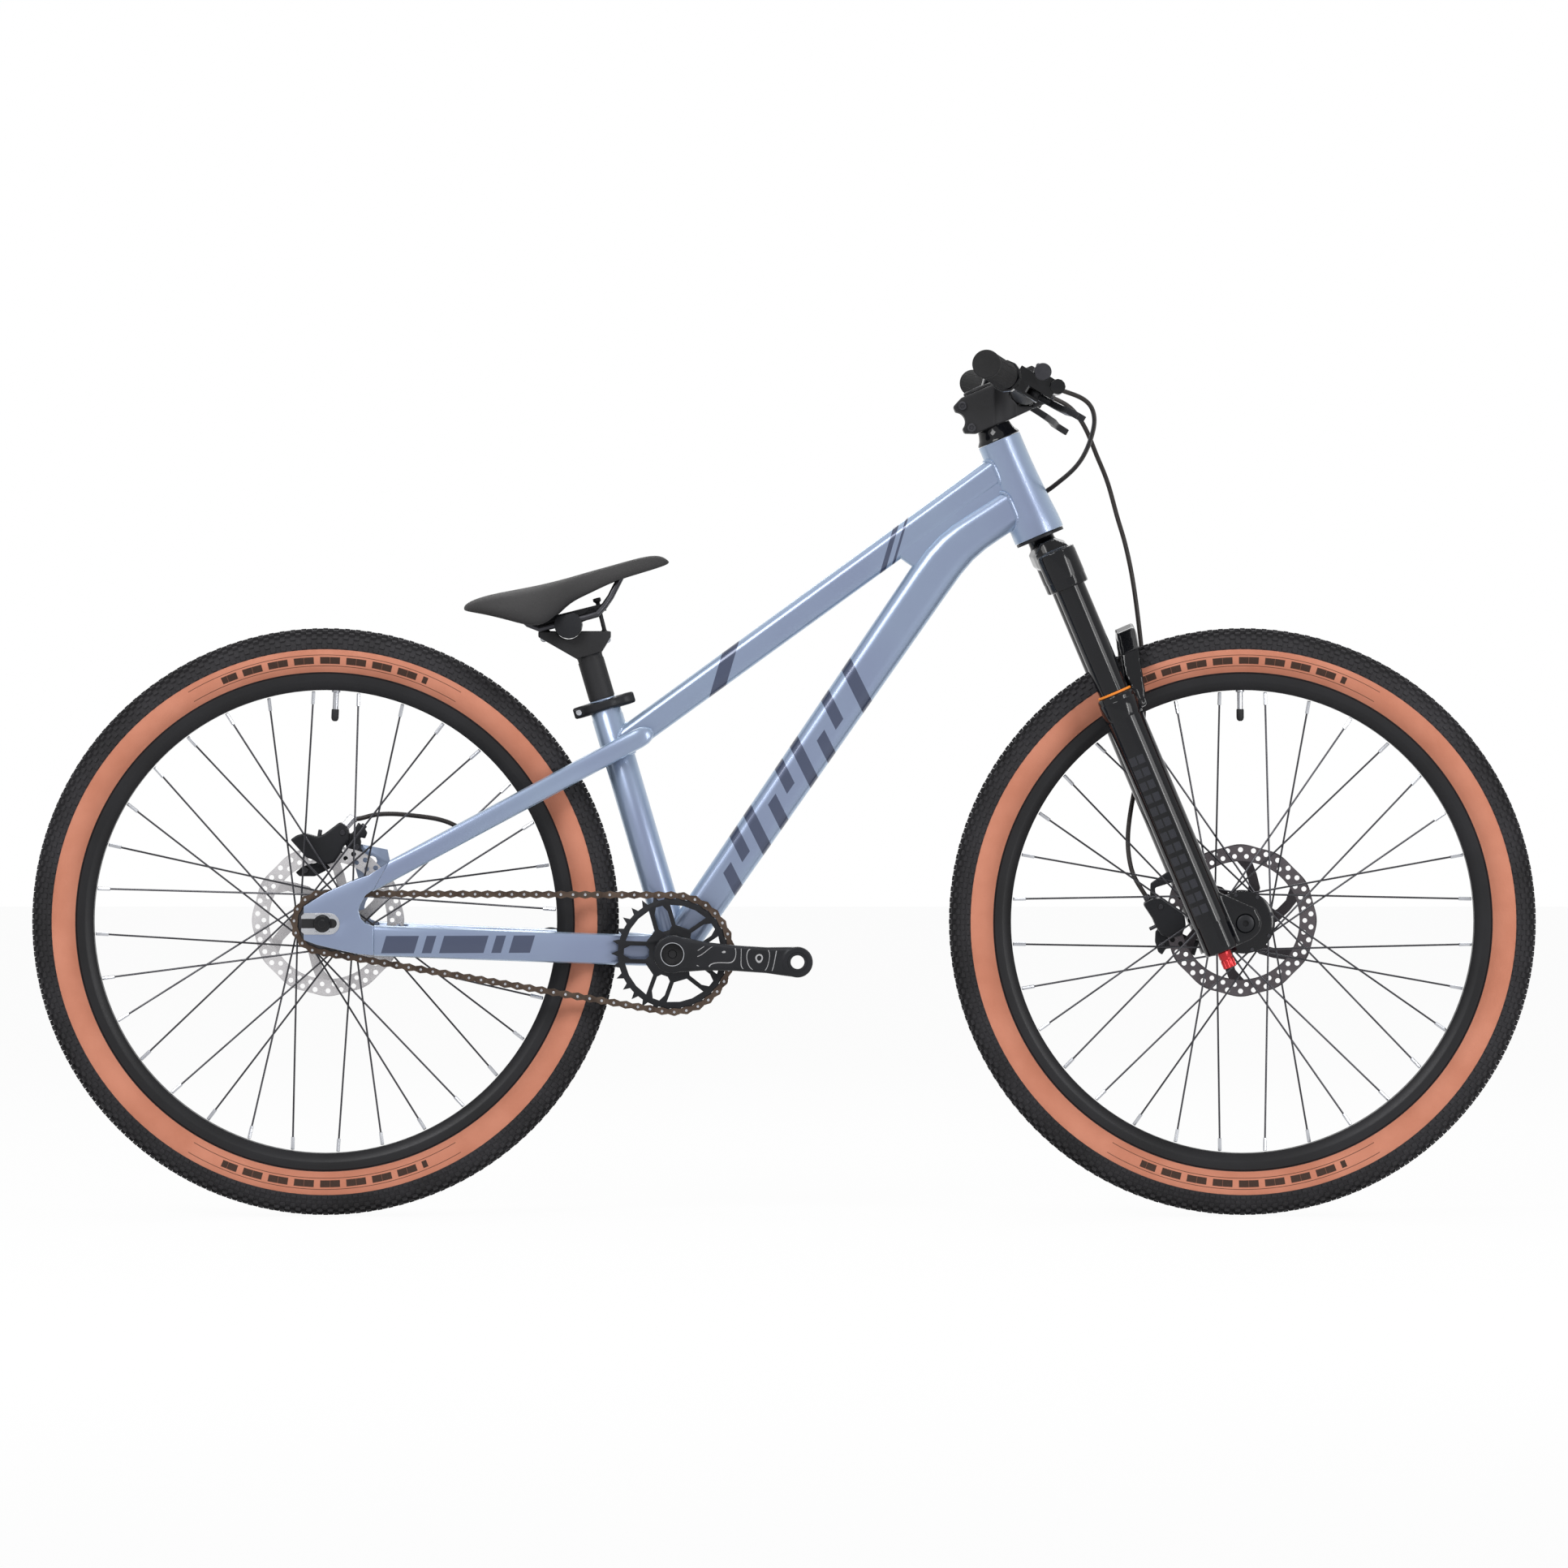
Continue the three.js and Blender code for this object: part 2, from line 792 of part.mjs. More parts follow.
function headTool() {
  const turn = new THREE.Matrix4().makeRotationY(steeringTurn).setPosition(headFoot);
  return solid(headTubeBody(touchGap).applyMatrix4(turn));
}

function topTube() {
  return cut(
    tubeThrough(topTubeStations, tubeCornerRadius),
    tubeThrough(resized(topTubeStations, -tubeWall), tubeCornerRadius - tubeWall),
    seatTubeTool(),
    headTool(),
  );
}

const knee = at(
  shellX + downTubeStraight * Math.cos(downTubeAngle * degree),
  0,
  shellZ + downTubeStraight * Math.sin(downTubeAngle * degree),
);
const downTubeEnd = headFoot.clone().addScaledVector(steeringUp, downTubeHeadRise);

function downTubeStations() {
  const chord = downTubeEnd.clone().sub(knee);
  const bend = knee.clone().addScaledVector(chord, downTubeBendShare);
  const rise = at(-chord.z, 0, chord.x).setLength(downTubeBendRise);
  bend.add(rise);
  const width = downTubeKneeWidth;
  return [
    { x: shellX, z: shellZ, width: downTubeFootWidth, height: downTubeFootHeight },
    { x: knee.x, z: knee.z, width, height: downTubeKneeHeight },
    { x: bend.x, z: bend.z, width, height: downTubeHeadHeight },
    { x: downTubeEnd.x, z: downTubeEnd.z, width: downTubeHeadWidth, height: downTubeHeadHeight },
  ];
}

// Web between the down tube and the top tube behind the head tube
function gusset() {
  const back = topTubeFront.clone().sub(topTubeRear).setLength(-gussetLength);
  const high = topTubeFront.clone().add(back);
  const outline = [
    [downTubeEnd.x, downTubeEnd.z],
    [topTubeFront.x, topTubeFront.z],
    [high.x, high.z],
    [knee.x, knee.z],
  ];
  return plate(outline, -gussetThickness / 2, gussetThickness / 2);
}

function downTube() {
  const stations = downTubeStations();
  const [first, second] = rearHoseFront.slice(-2).map(([x, y, z]) => at(x, y, z));
  return cut(
    join(tubeThrough(stations, tubeCornerRadius), gusset()),
    tubeThrough(resized(stations, -tubeWall), tubeCornerRadius - tubeWall),
    tubeThrough(resized(topTubeStations, touchGap), tubeCornerRadius),
    bore(first, second, hoseRadius + touchGap, hoseFacets),
    seatTubeTool(),
    headTool(),
    shellTool(),
  );
}

// Bottom bracket
function shell() {
  const [right, left] = [at(shellX, -shellLength / 2, shellZ), at(shellX, shellLength / 2, shellZ)];
  return tube(right, left, shellRadius, shellBoreRadius, legFacets);
}

function cup(side) {
  const face = shellLength / 2 + touchGap;
  const inner = crankAxleRadius + touchGap;
  const outline = [
    [inner, side * cupReach],
    [cupFlangeRadius, side * cupReach],
    [cupFlangeRadius, side * face],
    [cupSleeveRadius, side * face],
    [cupSleeveRadius, side * (face - cupSleeveLength)],
    [inner, side * (face - cupSleeveLength)],
  ];
  return solid(turned(outline, legFacets).translate(shellX, 0, shellZ));
}

// Rear dropouts: corners as shares of the front and top reaches from the axle
const dropoutOutlineShares = [
  [-0.362, 0.28],
  [0.05, 0.5],
  [0.53, 0.68],
  [0.92, 0.8],
  [1.286, 1],
  [1, 0.56],
  [0.84, 0.465],
  [0.73, 0.3],
  [0.7, 0.21],
  [0.75, 0.08],
  [0.84, 0],
  [1, -0.045],
  [1, -0.524],
  [0.68, -0.5],
  [0.37, -0.445],
  [-0.11, -0.35],
  [-0.362, -0.27],
];
const dropoutCorners = dropoutOutlineShares.map(([x, z]) => [
  rearAxleX + x * dropoutFrontReach,
  axleHeight + z * dropoutTopReach,
]);
const [dropoutTongue, dropoutThroat] = dropoutCorners.slice(4, 6);
const [dropoutLedge, dropoutToe] = dropoutCorners.slice(11, 13);

function dropout(side) {
  const half = dropoutSlotWidth / 2;
  const [back] = dropoutCorners[0];
  const end = rearAxleX + dropoutSlotReach;
  const arc = [-90, -45, 0, 45, 90].map((turn) => [
    end + half * Math.cos(turn * degree),
    axleHeight + half * Math.sin(turn * degree),
  ]);
  const outline = [...dropoutCorners, [back, axleHeight - half], ...arc, [back, axleHeight + half]];
  const sheet = plate(outline, side * dropoutInner, side * (dropoutInner + dropoutThickness));
  return side > 0 ? join(sheet, caliperBrace(side)) : sheet;
}

// Strut above the left dropout that carries the caliper adapter, as shares of the dropout's top reach
const caliperBraceShares = [
  [1.03, 0.93],
  [0.98, 1.17],
  [0.48, 1.27],
  [0.38, 1.1],
  [0.5, 0.66],
];
const braceWindowShares = [0.72, 0.98];

function caliperBrace(side) {
  const place = ([x, z]) => [rearAxleX + x * dropoutTopReach, axleHeight + z * dropoutTopReach];
  const window = circle(braceWindowRadius, smallFacets, ...place(braceWindowShares));
  const outline = caliperBraceShares.map(place);
  return plate(outline, side * dropoutInner, side * (dropoutInner + dropoutThickness), [window]);
}

// Stays as shares along their length: place, spread and width
const seatstayShares = [
  [0, 1, 1],
  [0.24, 0.81, 1],
  [0.567, 0.49, 1],
  [0.69, 0.37, 1],
  [0.84, 0, 1],
  [1, 0, 1],
];
const chainstayShares = [
  [0, 1, 0.75],
  [0.31, 0.7, 1],
  [0.6, 0.324, 1],
  [0.71, 0.176, 0.75],
  [0.84, 0.12, 0.62],
  [0.93, 0, 0.7],
  [1, 0, 0.7],
];

function hollowStay(stations) {
  const inner = resized(stations, -stayWall).slice(0, -1);
  const [first, second] = inner;
  const start = {
    ...first,
    x: first.x - (second.x - first.x) * stayMouthShare,
    y: first.y - (second.y - first.y) * stayMouthShare,
    z: first.z - (second.z - first.z) * stayMouthShare,
  };
  const hollow = tubeThrough([start, ...inner.slice(1)], stayCornerRadius - stayWall);
  return cut(tubeThrough(stations, stayCornerRadius), hollow);
}

const seatstayInner = seatTubeRadius + touchGap + seatstayWidth / 2;

function seatstay(side) {
  const [tongueX, tongueZ] = dropoutTongue;
  const [throatX, throatZ] = dropoutThroat;
  const lean = -Math.atan2(tongueX - throatX, tongueZ - throatZ);
  const start = at((tongueX + throatX) / 2 + touchGap / Math.cos(lean), 0, (tongueZ + throatZ) / 2);
  const crossing = alongSeat(seatstaySeatHeight);
  const run = crossing.clone().sub(start);
  const end = crossing.clone().add(run.clone().setLength(seatstayFrontReach));
  const spreadRange = seatstayRearSpread - seatstayInner;
  const stations = seatstayShares.map(([place, spread, wide], i) => {
    const middle = start.clone().lerp(end, place);
    const y = side * (seatstayInner + spread * spreadRange);
    const slant = i === 0 ? { lean } : {};
    return { x: middle.x, z: middle.z, y, width: wide * seatstayWidth, height: seatstayHeight, ...slant };
  });
  const body = hollowStay(stations);
  if (side < 0) return body;
  const [first, second] = rearHoseRear.slice(0, 2).map(([x, y, z]) => at(x, y, z));
  return cut(body, bore(first, second, hoseRadius + 2 * touchGap, hoseFacets));
}

function chainstay(side) {
  const [ledgeX, ledgeZ] = dropoutLedge;
  const [, toeZ] = dropoutToe;
  const start = at(ledgeX + touchGap, 0, (ledgeZ + toeZ) / 2);
  const end = at(shellX, 0, shellZ + chainstayFrontRise);
  const spreadRange = chainstayRearSpread - chainstayFrontSpread;
  const stations = chainstayShares.map(([place, spread, wide]) => {
    const middle = start.clone().lerp(end, place);
    const y = side * (chainstayFrontSpread + spread * spreadRange);
    return { x: middle.x, z: middle.z, y, width: wide * chainstayWidth, height: chainstayHeight, lean: 0 };
  });
  const yokeBack = shellX - shellRadius - yokeLength;
  const yoke = block(
    at(yokeBack, Math.min(side * yokeReach, side * touchGap / 2), end.z - yokeHeight / 2),
    at(shellX, Math.max(side * yokeReach, side * touchGap / 2), end.z + yokeHeight / 2),
  );
  return cut(join(hollowStay(stations), yoke), shellTool(), seatTubeTool());
}

// Rear axle with a nut against each dropout
function rearAxle() {
  const outer = dropoutInner + dropoutThickness + touchGap;
  const place = (y) => at(rearAxleX, y, axleHeight);
  const reach = outer + rearAxleNutHeight;
  return join(
    bar(place(-reach), place(reach), rearAxleRadius, smallFacets),
    bar(place(-reach), place(-outer), rearAxleNutRadius, smallFacets / 2),
    bar(place(outer), place(reach), rearAxleNutRadius, smallFacets / 2),
  );
}

// Tyre outline as shares of its half width and height, outside and inside
const tyreOuterShares = [
  [0.815, 0.229],
  [1, 0.476],
  [0.889, 0.752],
  [0.333, 1],
];
const tyreInnerShares = [
  [0.833, 0.41],
  [0.5, 1],
];

function mirrored(rows) {
  return rows.map(([radius, y]) => [radius, -y]);
}

function tyre() {
  const half = tyreWidth / 2;
  const tall = tyreRadius - tyreBeadRadius;
  const bead = rimInnerWidth / 2 - touchGap;
  const outside = [
    [tyreBeadRadius, bead - tyreSideWall],
    [tyreBeadRadius, bead],
    [rimOuterRadius + touchGap, bead],
    ...tyreOuterShares.map(([wide, high]) => [tyreBeadRadius + high * tall, wide * half]),
  ];
  const inside = tyreInnerShares.map(([wide, high]) => [
    tyreBeadRadius + high * (tall - tyreTreadWall),
    wide * (half - tyreSideWall),
  ]);
  const outline = [...outside, ...mirrored(outside).reverse(), ...mirrored(inside), ...inside.reverse()];
  return solid(turned(outline, tyreFacets));
}

function rim() {
  const half = rimWidth / 2;
  const inner = rimInnerWidth / 2;
  const seat = tyreBeadRadius - touchGap;
  const outline = [
    [rimInnerRadius, rimBackWidth / 2],
    [rimShoulderRadius, half],
    [rimOuterRadius, half],
    [rimOuterRadius, inner],
    [seat, inner],
    [seat, rimSeatWidth / 2],
  ];
  return solid(turned([...outline, ...mirrored(outline).reverse()], tyreFacets));
}

// Crossed spokes of one side, which meet where they cross
function spokes(side, flange, turn) {
  const thickness = spokeWidth / Math.SQRT2;
  const inner = flange - hubFlangeThickness / 2 - touchGap - thickness;
  const reach = rimInnerRadius * Math.cos(Math.PI / tyreFacets) - 2 * touchGap;
  const bars = [];
  for (let k = side < 0 ? 0 : 1; k < spokeCount; k += 2) {
    const rimTurn = (firstSpokeAngle + turn - (360 * k) / spokeCount) * degree;
    const leading = Math.floor(k / 2) % 2 === 0;
    const lace = leading ? -spokeLaceAngle : spokeLaceAngle;
    const hubTurn = rimTurn + lace * degree;
    const y = side * (leading ? inner : inner - spokeHubSpread);
    const foot = at(spokeHubRadius * Math.cos(hubTurn), y, spokeHubRadius * Math.sin(hubTurn));
    const head = at(reach * Math.cos(rimTurn), side * spokeRimSpread, reach * Math.sin(rimTurn));
    bars.push(bar(foot, head, thickness, spokeFacets));
  }
  return join(...bars);
}

// A hub from its right end to its left, with the rotor seat beyond the left flange
function hub({ width, right, left, shell, collar, collarReach, end, axle, rotorPlace }) {
  const half = hubFlangeThickness / 2;
  const rotorFace = rotorPlace - rotorThickness / 2 - touchGap;
  const nose = rotorBoreRadius * Math.cos(Math.PI / hubFacets) - touchGap;
  const outline = [
    [axle + touchGap, -width / 2],
    [end, -width / 2],
    [end, -collarReach],
    [collar, -collarReach],
    [collar, -right - half],
    [hubFlangeRadius, -right - half],
    [hubFlangeRadius, -right + half],
    [shell, -right + half],
    [shell, left - half],
    [hubFlangeRadius, left - half],
    [hubFlangeRadius, left + half],
    [rotorHubRadius - hubFlangeThickness, left + half],
    [rotorHubRadius - hubFlangeThickness, rotorFace],
    [nose, rotorFace],
    [nose, rotorPlace + rotorThickness],
    [end, rotorPlace + rotorThickness],
    [end, width / 2],
    [axle + touchGap, width / 2],
  ];
  return solid(turned(outline, hubFacets));
}

// A wavy brake rotor with slanted arms
function rotor(place) {
  const points = rotorWaves * rotorWavePoints;
  const edge = Array.from({ length: points }, (unused, i) => {
    const turn = (2 * Math.PI * i) / points;
    const radius = rotorRadius - (rotorWave * (1 - Math.cos(rotorWaves * turn))) / 2;
    return [radius * Math.cos(turn), radius * Math.sin(turn)];
  });
  const step = 360 / rotorArms;
  const window = (arm) => {
    const outerHalf = step / 2 - Math.asin(rotorArmWidth / 2 / rotorBandRadius) / degree;
    const innerHalf = step / 2 - Math.asin(rotorArmWidth / 2 / rotorHubRadius) / degree;
    const polar = (radius, angle) => [radius * Math.cos(angle * degree), radius * Math.sin(angle * degree)];
    const centre = arm * step;
    const outer = windowArcShares.map((share) => {
      return polar(rotorBandRadius, centre + rotorArmSweep + share * outerHalf);
    });
    const inner = [1, -1].map((share) => polar(rotorHubRadius, centre + share * innerHalf));
    return [...outer, ...inner];
  };
  const windows = Array.from({ length: rotorArms }, (unused, arm) => window(arm));
  const holes = [...windows, circle(rotorBoreRadius, hubFacets)];
  return plate(edge, place - rotorThickness / 2, place + rotorThickness / 2, holes);
}

// Sprockets
function pitchRadius(teeth) {
  return chainPitch / 2 / Math.sin(Math.PI / teeth);
}

function toothedOutline(teeth) {
  const tip = pitchRadius(teeth) + toothHeight;
  const root = pitchRadius(teeth) - toothDepth;
  const flanks = [[root, -toothFlankShare], [tip, 0], [root, toothFlankShare]];
  const outline = [];
  for (let tooth = 0; tooth < teeth; tooth += 1) {
    for (const [radius, share] of flanks) {
      const turn = (2 * Math.PI * (tooth + share)) / teeth;
      outline.push([radius * Math.cos(turn), radius * Math.sin(turn)]);
    }
  }
  return outline;
}

function chainringWindows(angle) {
  const turnBy = ([x, z], turn) => [
    x * Math.cos(turn * degree) - z * Math.sin(turn * degree),
    x * Math.sin(turn * degree) + z * Math.cos(turn * degree),
  ];
  const half = chainringSlotWidth / 2;
  const [low, high] = [chainringHubRadius, chainringBandRadius - touchGap];
  const slot = [
    [low, -half / 2],
    [low + half / 2, -half],
    [high - half, -half],
    [high, -half / 2],
    [high, half / 2],
    [high - half, half],
    [low + half / 2, half],
    [low, half / 2],
  ].map((point) => turnBy(point, angle));
  const step = 360 / chainringArms;
  const wall = half + chainringArmWidth;
  const halfAngle = (radius) => step / 2 - Math.asin(wall / radius) / degree;
  const foot = chainringWindowFoot;
  const place = (radius) => (share) => turnBy([radius, 0], angle + step / 2 + share * halfAngle(radius));
  const outer = windowArcShares.map(place(high));
  const inner = [1, -1].map(place(foot));
  return [slot, [...outer, ...inner]];
}

function chainring() {
  const holes = [circle(crankSpigotRadius / Math.cos(Math.PI / hubFacets) + touchGap, hubFacets)];
  const step = 360 / chainringArms;
  for (let arm = 0; arm < chainringArms; arm += 1) {
    holes.push(...chainringWindows(chainringArmAngle + arm * step));
  }
  const half = chainringThickness / 2;
  const body = plate(toothedOutline(chainringTeeth), -chainPlace - half, -chainPlace + half, holes);
  return body;
}

function cog() {
  const inner = rearHubEndRadius + touchGap;
  const half = cogThickness / 2;
  const sleeve = [
    [inner, -driverEnd],
    [driverRadius, -driverEnd],
    [driverRadius, -driverStart - touchGap],
    [inner, -driverStart - touchGap],
  ];
  const hole = circle(inner, hubFacets);
  const teeth = plate(toothedOutline(cogTeeth), -chainPlace - half, -chainPlace + half, [hole]);
  return join(teeth, solid(turned(sleeve, hubFacets)));
}

// A belt outline round both sprockets, a set distance outside their pitch circles
function beltOutline(offset) {
  const big = pitchRadius(chainringTeeth);
  const small = pitchRadius(cogTeeth);
  const away = Math.atan2(axleHeight - shellZ, rearAxleX - shellX);
  const contact = Math.acos((big - small) / chainstayLength);
  const arc = (x, z, radius, from, to, steps) => Array.from({ length: steps + 1 }, (unused, i) => {
    const turn = from + ((to - from) * i) / steps;
    return [x + radius * Math.cos(turn), z + radius * Math.sin(turn)];
  });
  return [
    ...arc(shellX, shellZ, big + offset, away + contact, away + 2 * Math.PI - contact, chainringTeeth / 2),
    ...arc(rearAxleX, axleHeight, small + offset, away - contact, away + contact, cogTeeth / 2 + 0.5),
  ];
}

// The chain as a band that opens into two side plates where it wraps the sprockets
function chain() {
  const half = chainWidth / 2;
  const band = plate(beltOutline(chainHeight / 2), -chainPlace - half, -chainPlace + half, [
    beltOutline(-chainHeight / 2),
  ]);
  const channel = (x, z, teeth) => {
    const reach = pitchRadius(teeth) + chainHeight / 2 + cutOverrun;
    const [right, left] = [-chainPlace - chainChannel / 2, -chainPlace + chainChannel / 2];
    return bar(at(x, right, z), at(x, left, z), reach, legFacets);
  };
  return cut(band, channel(shellX, shellZ, chainringTeeth), channel(rearAxleX, axleHeight, cogTeeth));
}

// Cranks, about the bottom bracket with the right arm along x
function crank(side) {
  const out = side > 0 ? -1 : 1;
  const station = (share) => {
    const inner = crankBossInner + share * (crankEndInner - crankBossInner);
    const outer = crankBossOuter + share * (crankEndOuter - crankBossOuter);
    const radius = crankBossRadius + share * (crankEndRadius - crankBossRadius);
    const y = (side * (inner + outer)) / 2;
    return { x: out * share * crankLength, z: 0, y, width: outer - inner, height: 2 * radius };
  };
  const end = out * crankLength;
  const arm = join(
    tubeThrough([station(0), station(1)], crankCornerRadius),
    bar(at(0, side * crankBossInner, 0), at(0, side * crankBossOuter, 0), crankBossRadius, legFacets),
    bar(at(end, side * crankEndInner, 0), at(end, side * crankEndOuter, 0), crankEndRadius, legFacets),
  );
  const drilled = cut(
    arm,
    bore(at(end, side * crankEndInner, 0), at(end, side * crankEndOuter, 0), pedalHoleRadius, postFacets),
  );
  const inner = at(0, side * crankBossInner, 0);
  const outer = at(0, side * crankBossOuter, 0);
  if (side > 0) return cut(drilled, bore(inner, outer, crankAxleRadius + touchGap, legFacets));
  const spigotEnd = -cupReach - touchGap;
  const withAxle = join(
    drilled,
    bar(inner, at(0, spigotEnd, 0), crankSpigotRadius, legFacets),
    bar(inner, at(0, crankBossOuter - touchGap, 0), crankAxleRadius, legFacets),
  );
  return cut(withAxle, bore(outer, at(0, crankBossOuter, 0), crankAxleBoreRadius, legFacets));
}

// Fork, in the steering frame: x forward, z up the axis from the foot of the head tube
function stanchion(side) {
  const place = (depth) => at(legOffset, side * legSpread, -depth);
  return cut(
    bar(place(stanchionEnd), place(stanchionTop), stanchionRadius, legFacets),
    bar(place(stanchionEnd + cutOverrun), place(crownSocketFoot), stanchionRadius - stanchionWall, legFacets),
  );
}

// Crown sections from the middle out: offset and depth of the middle, and half sizes
const crownShares = [
  [0, 0.04, 0.48, 0.5],
  [0.5, 0.06, 0.44, 0.5],
  [1, 0.13, 0.4, 0.52],
];

function crownRing(y, [, forward, halfLength, halfHeight], drop) {
  const middle = crownDepth * forward;
  const height = crownFoot - crownTop;
  return circle(1, smallFacets, 0, 0, Math.PI / smallFacets).map(([a, b]) => at(
    middle + a * halfLength * crownDepth,
    y,
    -crownTop - height / 2 - drop + b * halfHeight * height,
  ));
}

function forkCrown() {
  const shoulder = crownSocketTop - crownTop;
  const ring = (side) => (row) => crownRing(side * row[0] * legSpread, row, row[0] * shoulder);
  const [right, left] = [crownShares.map(ring(-1)).reverse(), crownShares.slice(1).map(ring(1))];
  const bridge = loft([...right, ...left]);
  const socket = (side) => bar(
    at(legOffset, side * legSpread, -crownSocketFoot),
    at(legOffset, side * legSpread, -crownSocketTop),
    crownSocketRadius,
    legFacets,
  );
  const hole = (side) => bore(
    at(legOffset, side * legSpread, -crownSocketFoot),
    at(legOffset, side * legSpread, -crownSocketTop),
    stanchionRadius + touchGap,
    legFacets,
  );
  const steererTop = headTubeLength + headsetCoverHeight + stemHeight;
  const steerer = bar(at(0, 0, -crownFoot / 2), at(0, 0, steererTop), steererRadius, legFacets);
  return cut(join(bridge, socket(-1), socket(1), steerer), hole(-1), hole(1));
}

// Arch over the tyre: half width and height as shares, from the right leg to the left
const archShares = [
  [-1, 0],
  [-0.95, 0.35],
  [-0.8, 0.7],
  [-0.44, 0.95],
  [0, 1],
  [0.44, 0.95],
  [0.8, 0.7],
  [0.95, 0.35],
  [1, 0],
];

function forkArch() {
  const points = archShares.map(([wide, high]) => at(
    archFootOffset + high * (archTopOffset - archFootOffset),
    wide * (legSpread - archInset),
    -archFoot + high * (archFoot - archTop),
  ));
  return loft(points.map((point, i) => {
    const before = points[Math.max(i - 1, 0)];
    const after = points[Math.min(i + 1, points.length - 1)];
    const along = after.clone().sub(before).setX(0).normalize();
    const normal = at(0, along.z, -along.y).multiplyScalar(archThickness / 2);
    const depth = at(archDepth / 2, 0, 0);
    return [
      point.clone().add(normal).add(depth),
      point.clone().add(normal).sub(depth),
      point.clone().sub(normal).sub(depth),
      point.clone().sub(normal).add(depth),
    ];
  }));
}

function forkLeg(side) {
  const place = (depth) => at(legOffset, side * legSpread, -depth);
  const inner = frontHubWidth / 2 + touchGap;
  const tip = -forkLength - legEndDrop;
  const outline = [
    [legOffset, -forkDropoutTop],
    [legOffset + legRadius, -forkDropoutTop - legEndDrop / 2],
    [forkOffset + forkDropoutBossRadius, -forkLength + legEndDrop / 2],
    [forkOffset, tip],
    [legOffset, tip],
  ];
  return join(
    bar(place(legEnd), place(sealTop + sealHeight), legRadius, legFacets),
    bar(place(sealTop + sealHeight + archThickness), place(sealTop), sealRadius, legFacets),
    plate(outline, side * inner, side * forkDropoutOuter),
    bar(
      at(forkOffset, side * inner, -forkLength),
      at(forkOffset, side * forkDropoutOuter, -forkLength),
      forkDropoutBossRadius,
      legFacets,
    ),
  );
}

// Two seats on the back of the left leg for the front caliper
function frontCaliperSeats() {
  const front = legOffset;
  const back = legOffset - legRadius + touchGap;
  const middle = -forkLength + frontCaliperRise;
  const offset = frontCaliperLength / 2 - frontMountHeight;
  return [-1, 1].map((way) => block(
    at(back, frontCaliperSeatInner, middle + way * offset - frontMountHeight / 2),
    at(front, legSpread, middle + way * offset + frontMountHeight / 2),
  ));
}

function forkLowers() {
  const sides = [-1, 1];
  const slide = stanchionRadius + legSlideGap;
  const hollow = (side) => bar(
    at(legOffset, side * legSpread, -legBoreEnd),
    at(legOffset, side * legSpread, -sealTop + cutOverrun),
    slide,
    legFacets,
  );
  const relief = (side) => bar(
    at(legOffset, side * legSpread, -sealTop),
    at(legOffset, side * legSpread, -archTop),
    stanchionRadius + travelRingWall + runningGap,
    legFacets,
  );
  const reach = forkDropoutOuter + cutOverrun;
  return cut(
    join(...sides.map(forkLeg), forkArch(), ...frontCaliperSeats()),
    ...sides.map(hollow),
    ...sides.map(relief),
    bar(
      at(forkOffset, -reach, -forkLength),
      at(forkOffset, reach, -forkLength),
      frontAxleRadius + touchGap,
      legFacets,
    ),
  );
}

function travelRing() {
  const foot = -sealTop + touchGap;
  const place = (depth) => at(legOffset, -legSpread, depth);
  return tube(
    place(foot),
    place(foot + travelRingHeight),
    stanchionRadius + touchGap + travelRingWall,
    stanchionRadius + touchGap,
    legFacets,
  );
}

function frontAxlePin() {
  const place = (y) => at(forkOffset, y, -forkLength);
  const outer = forkDropoutOuter + touchGap;
  const head = outer + frontAxleHeadHeight;
  return join(
    bar(place(-head), place(head), frontAxleRadius, legFacets),
    bar(place(-head), place(-outer), frontAxleHeadRadius, legFacets),
  );
}

function reboundKnob() {
  return bar(at(0, 0, -knobHeight - touchGap), at(0, 0, -touchGap), knobRadius, smallFacets);
}

function frontCaliper() {
  const inner = frontRotorPlace - caliperWidth / 2;
  const outer = frontRotorPlace + caliperWidth / 2;
  const front = legOffset - legRadius;
  const middle = -forkLength + frontCaliperRise;
  const half = frontCaliperLength / 2;
  const body = block(at(front - frontCaliperDepth, inner, middle - half), at(front, outer, middle + half));
  const slot = caliperSlotWidth / 2;
  const disc = bar(
    at(forkOffset, frontRotorPlace - slot, -forkLength),
    at(forkOffset, frontRotorPlace + slot, -forkLength),
    caliperSlotRadius,
    legFacets * 2,
  );
  return cut(body, disc);
}

// Stem, in the steering frame
const stemFoot = headTubeLength + headsetCoverHeight;
const barHeight = headTubeLength + stemBarRise;
const clampRadius = barCentreRadius / Math.cos(Math.PI / smallFacets) + touchGap;

function stem() {
  const outer = steererRadius + stemSteererWall;
  const half = stemWidth / 2;
  const split = stemLength + touchGap / 2;
  const rearLug = outer + stemLugLength;
  const slit = seatClampSlitWidth / 2;
  const outline = [
    [-rearLug, stemFoot + stemLugChamfer],
    [-outer, stemFoot],
    [outer, stemFoot],
    [split, barHeight - stemBarWall - barCentreRadius],
    [split, barHeight + stemBarWall + barCentreRadius],
    [outer, stemFoot + stemHeight],
    [-outer, stemFoot + stemHeight],
    [-rearLug, stemFoot + stemHeight - stemLugChamfer],
  ];
  return cut(
    plate(outline, -half, half),
    bar(at(0, 0, 0), at(0, 0, barHeight * 2), steererRadius + touchGap, legFacets),
    bore(at(stemLength, -half, barHeight), at(stemLength, half, barHeight), clampRadius, smallFacets),
    block(at(-rearLug - cutOverrun, -slit, 0), at(-steererRadius, slit, barHeight * 2)),
  );
}

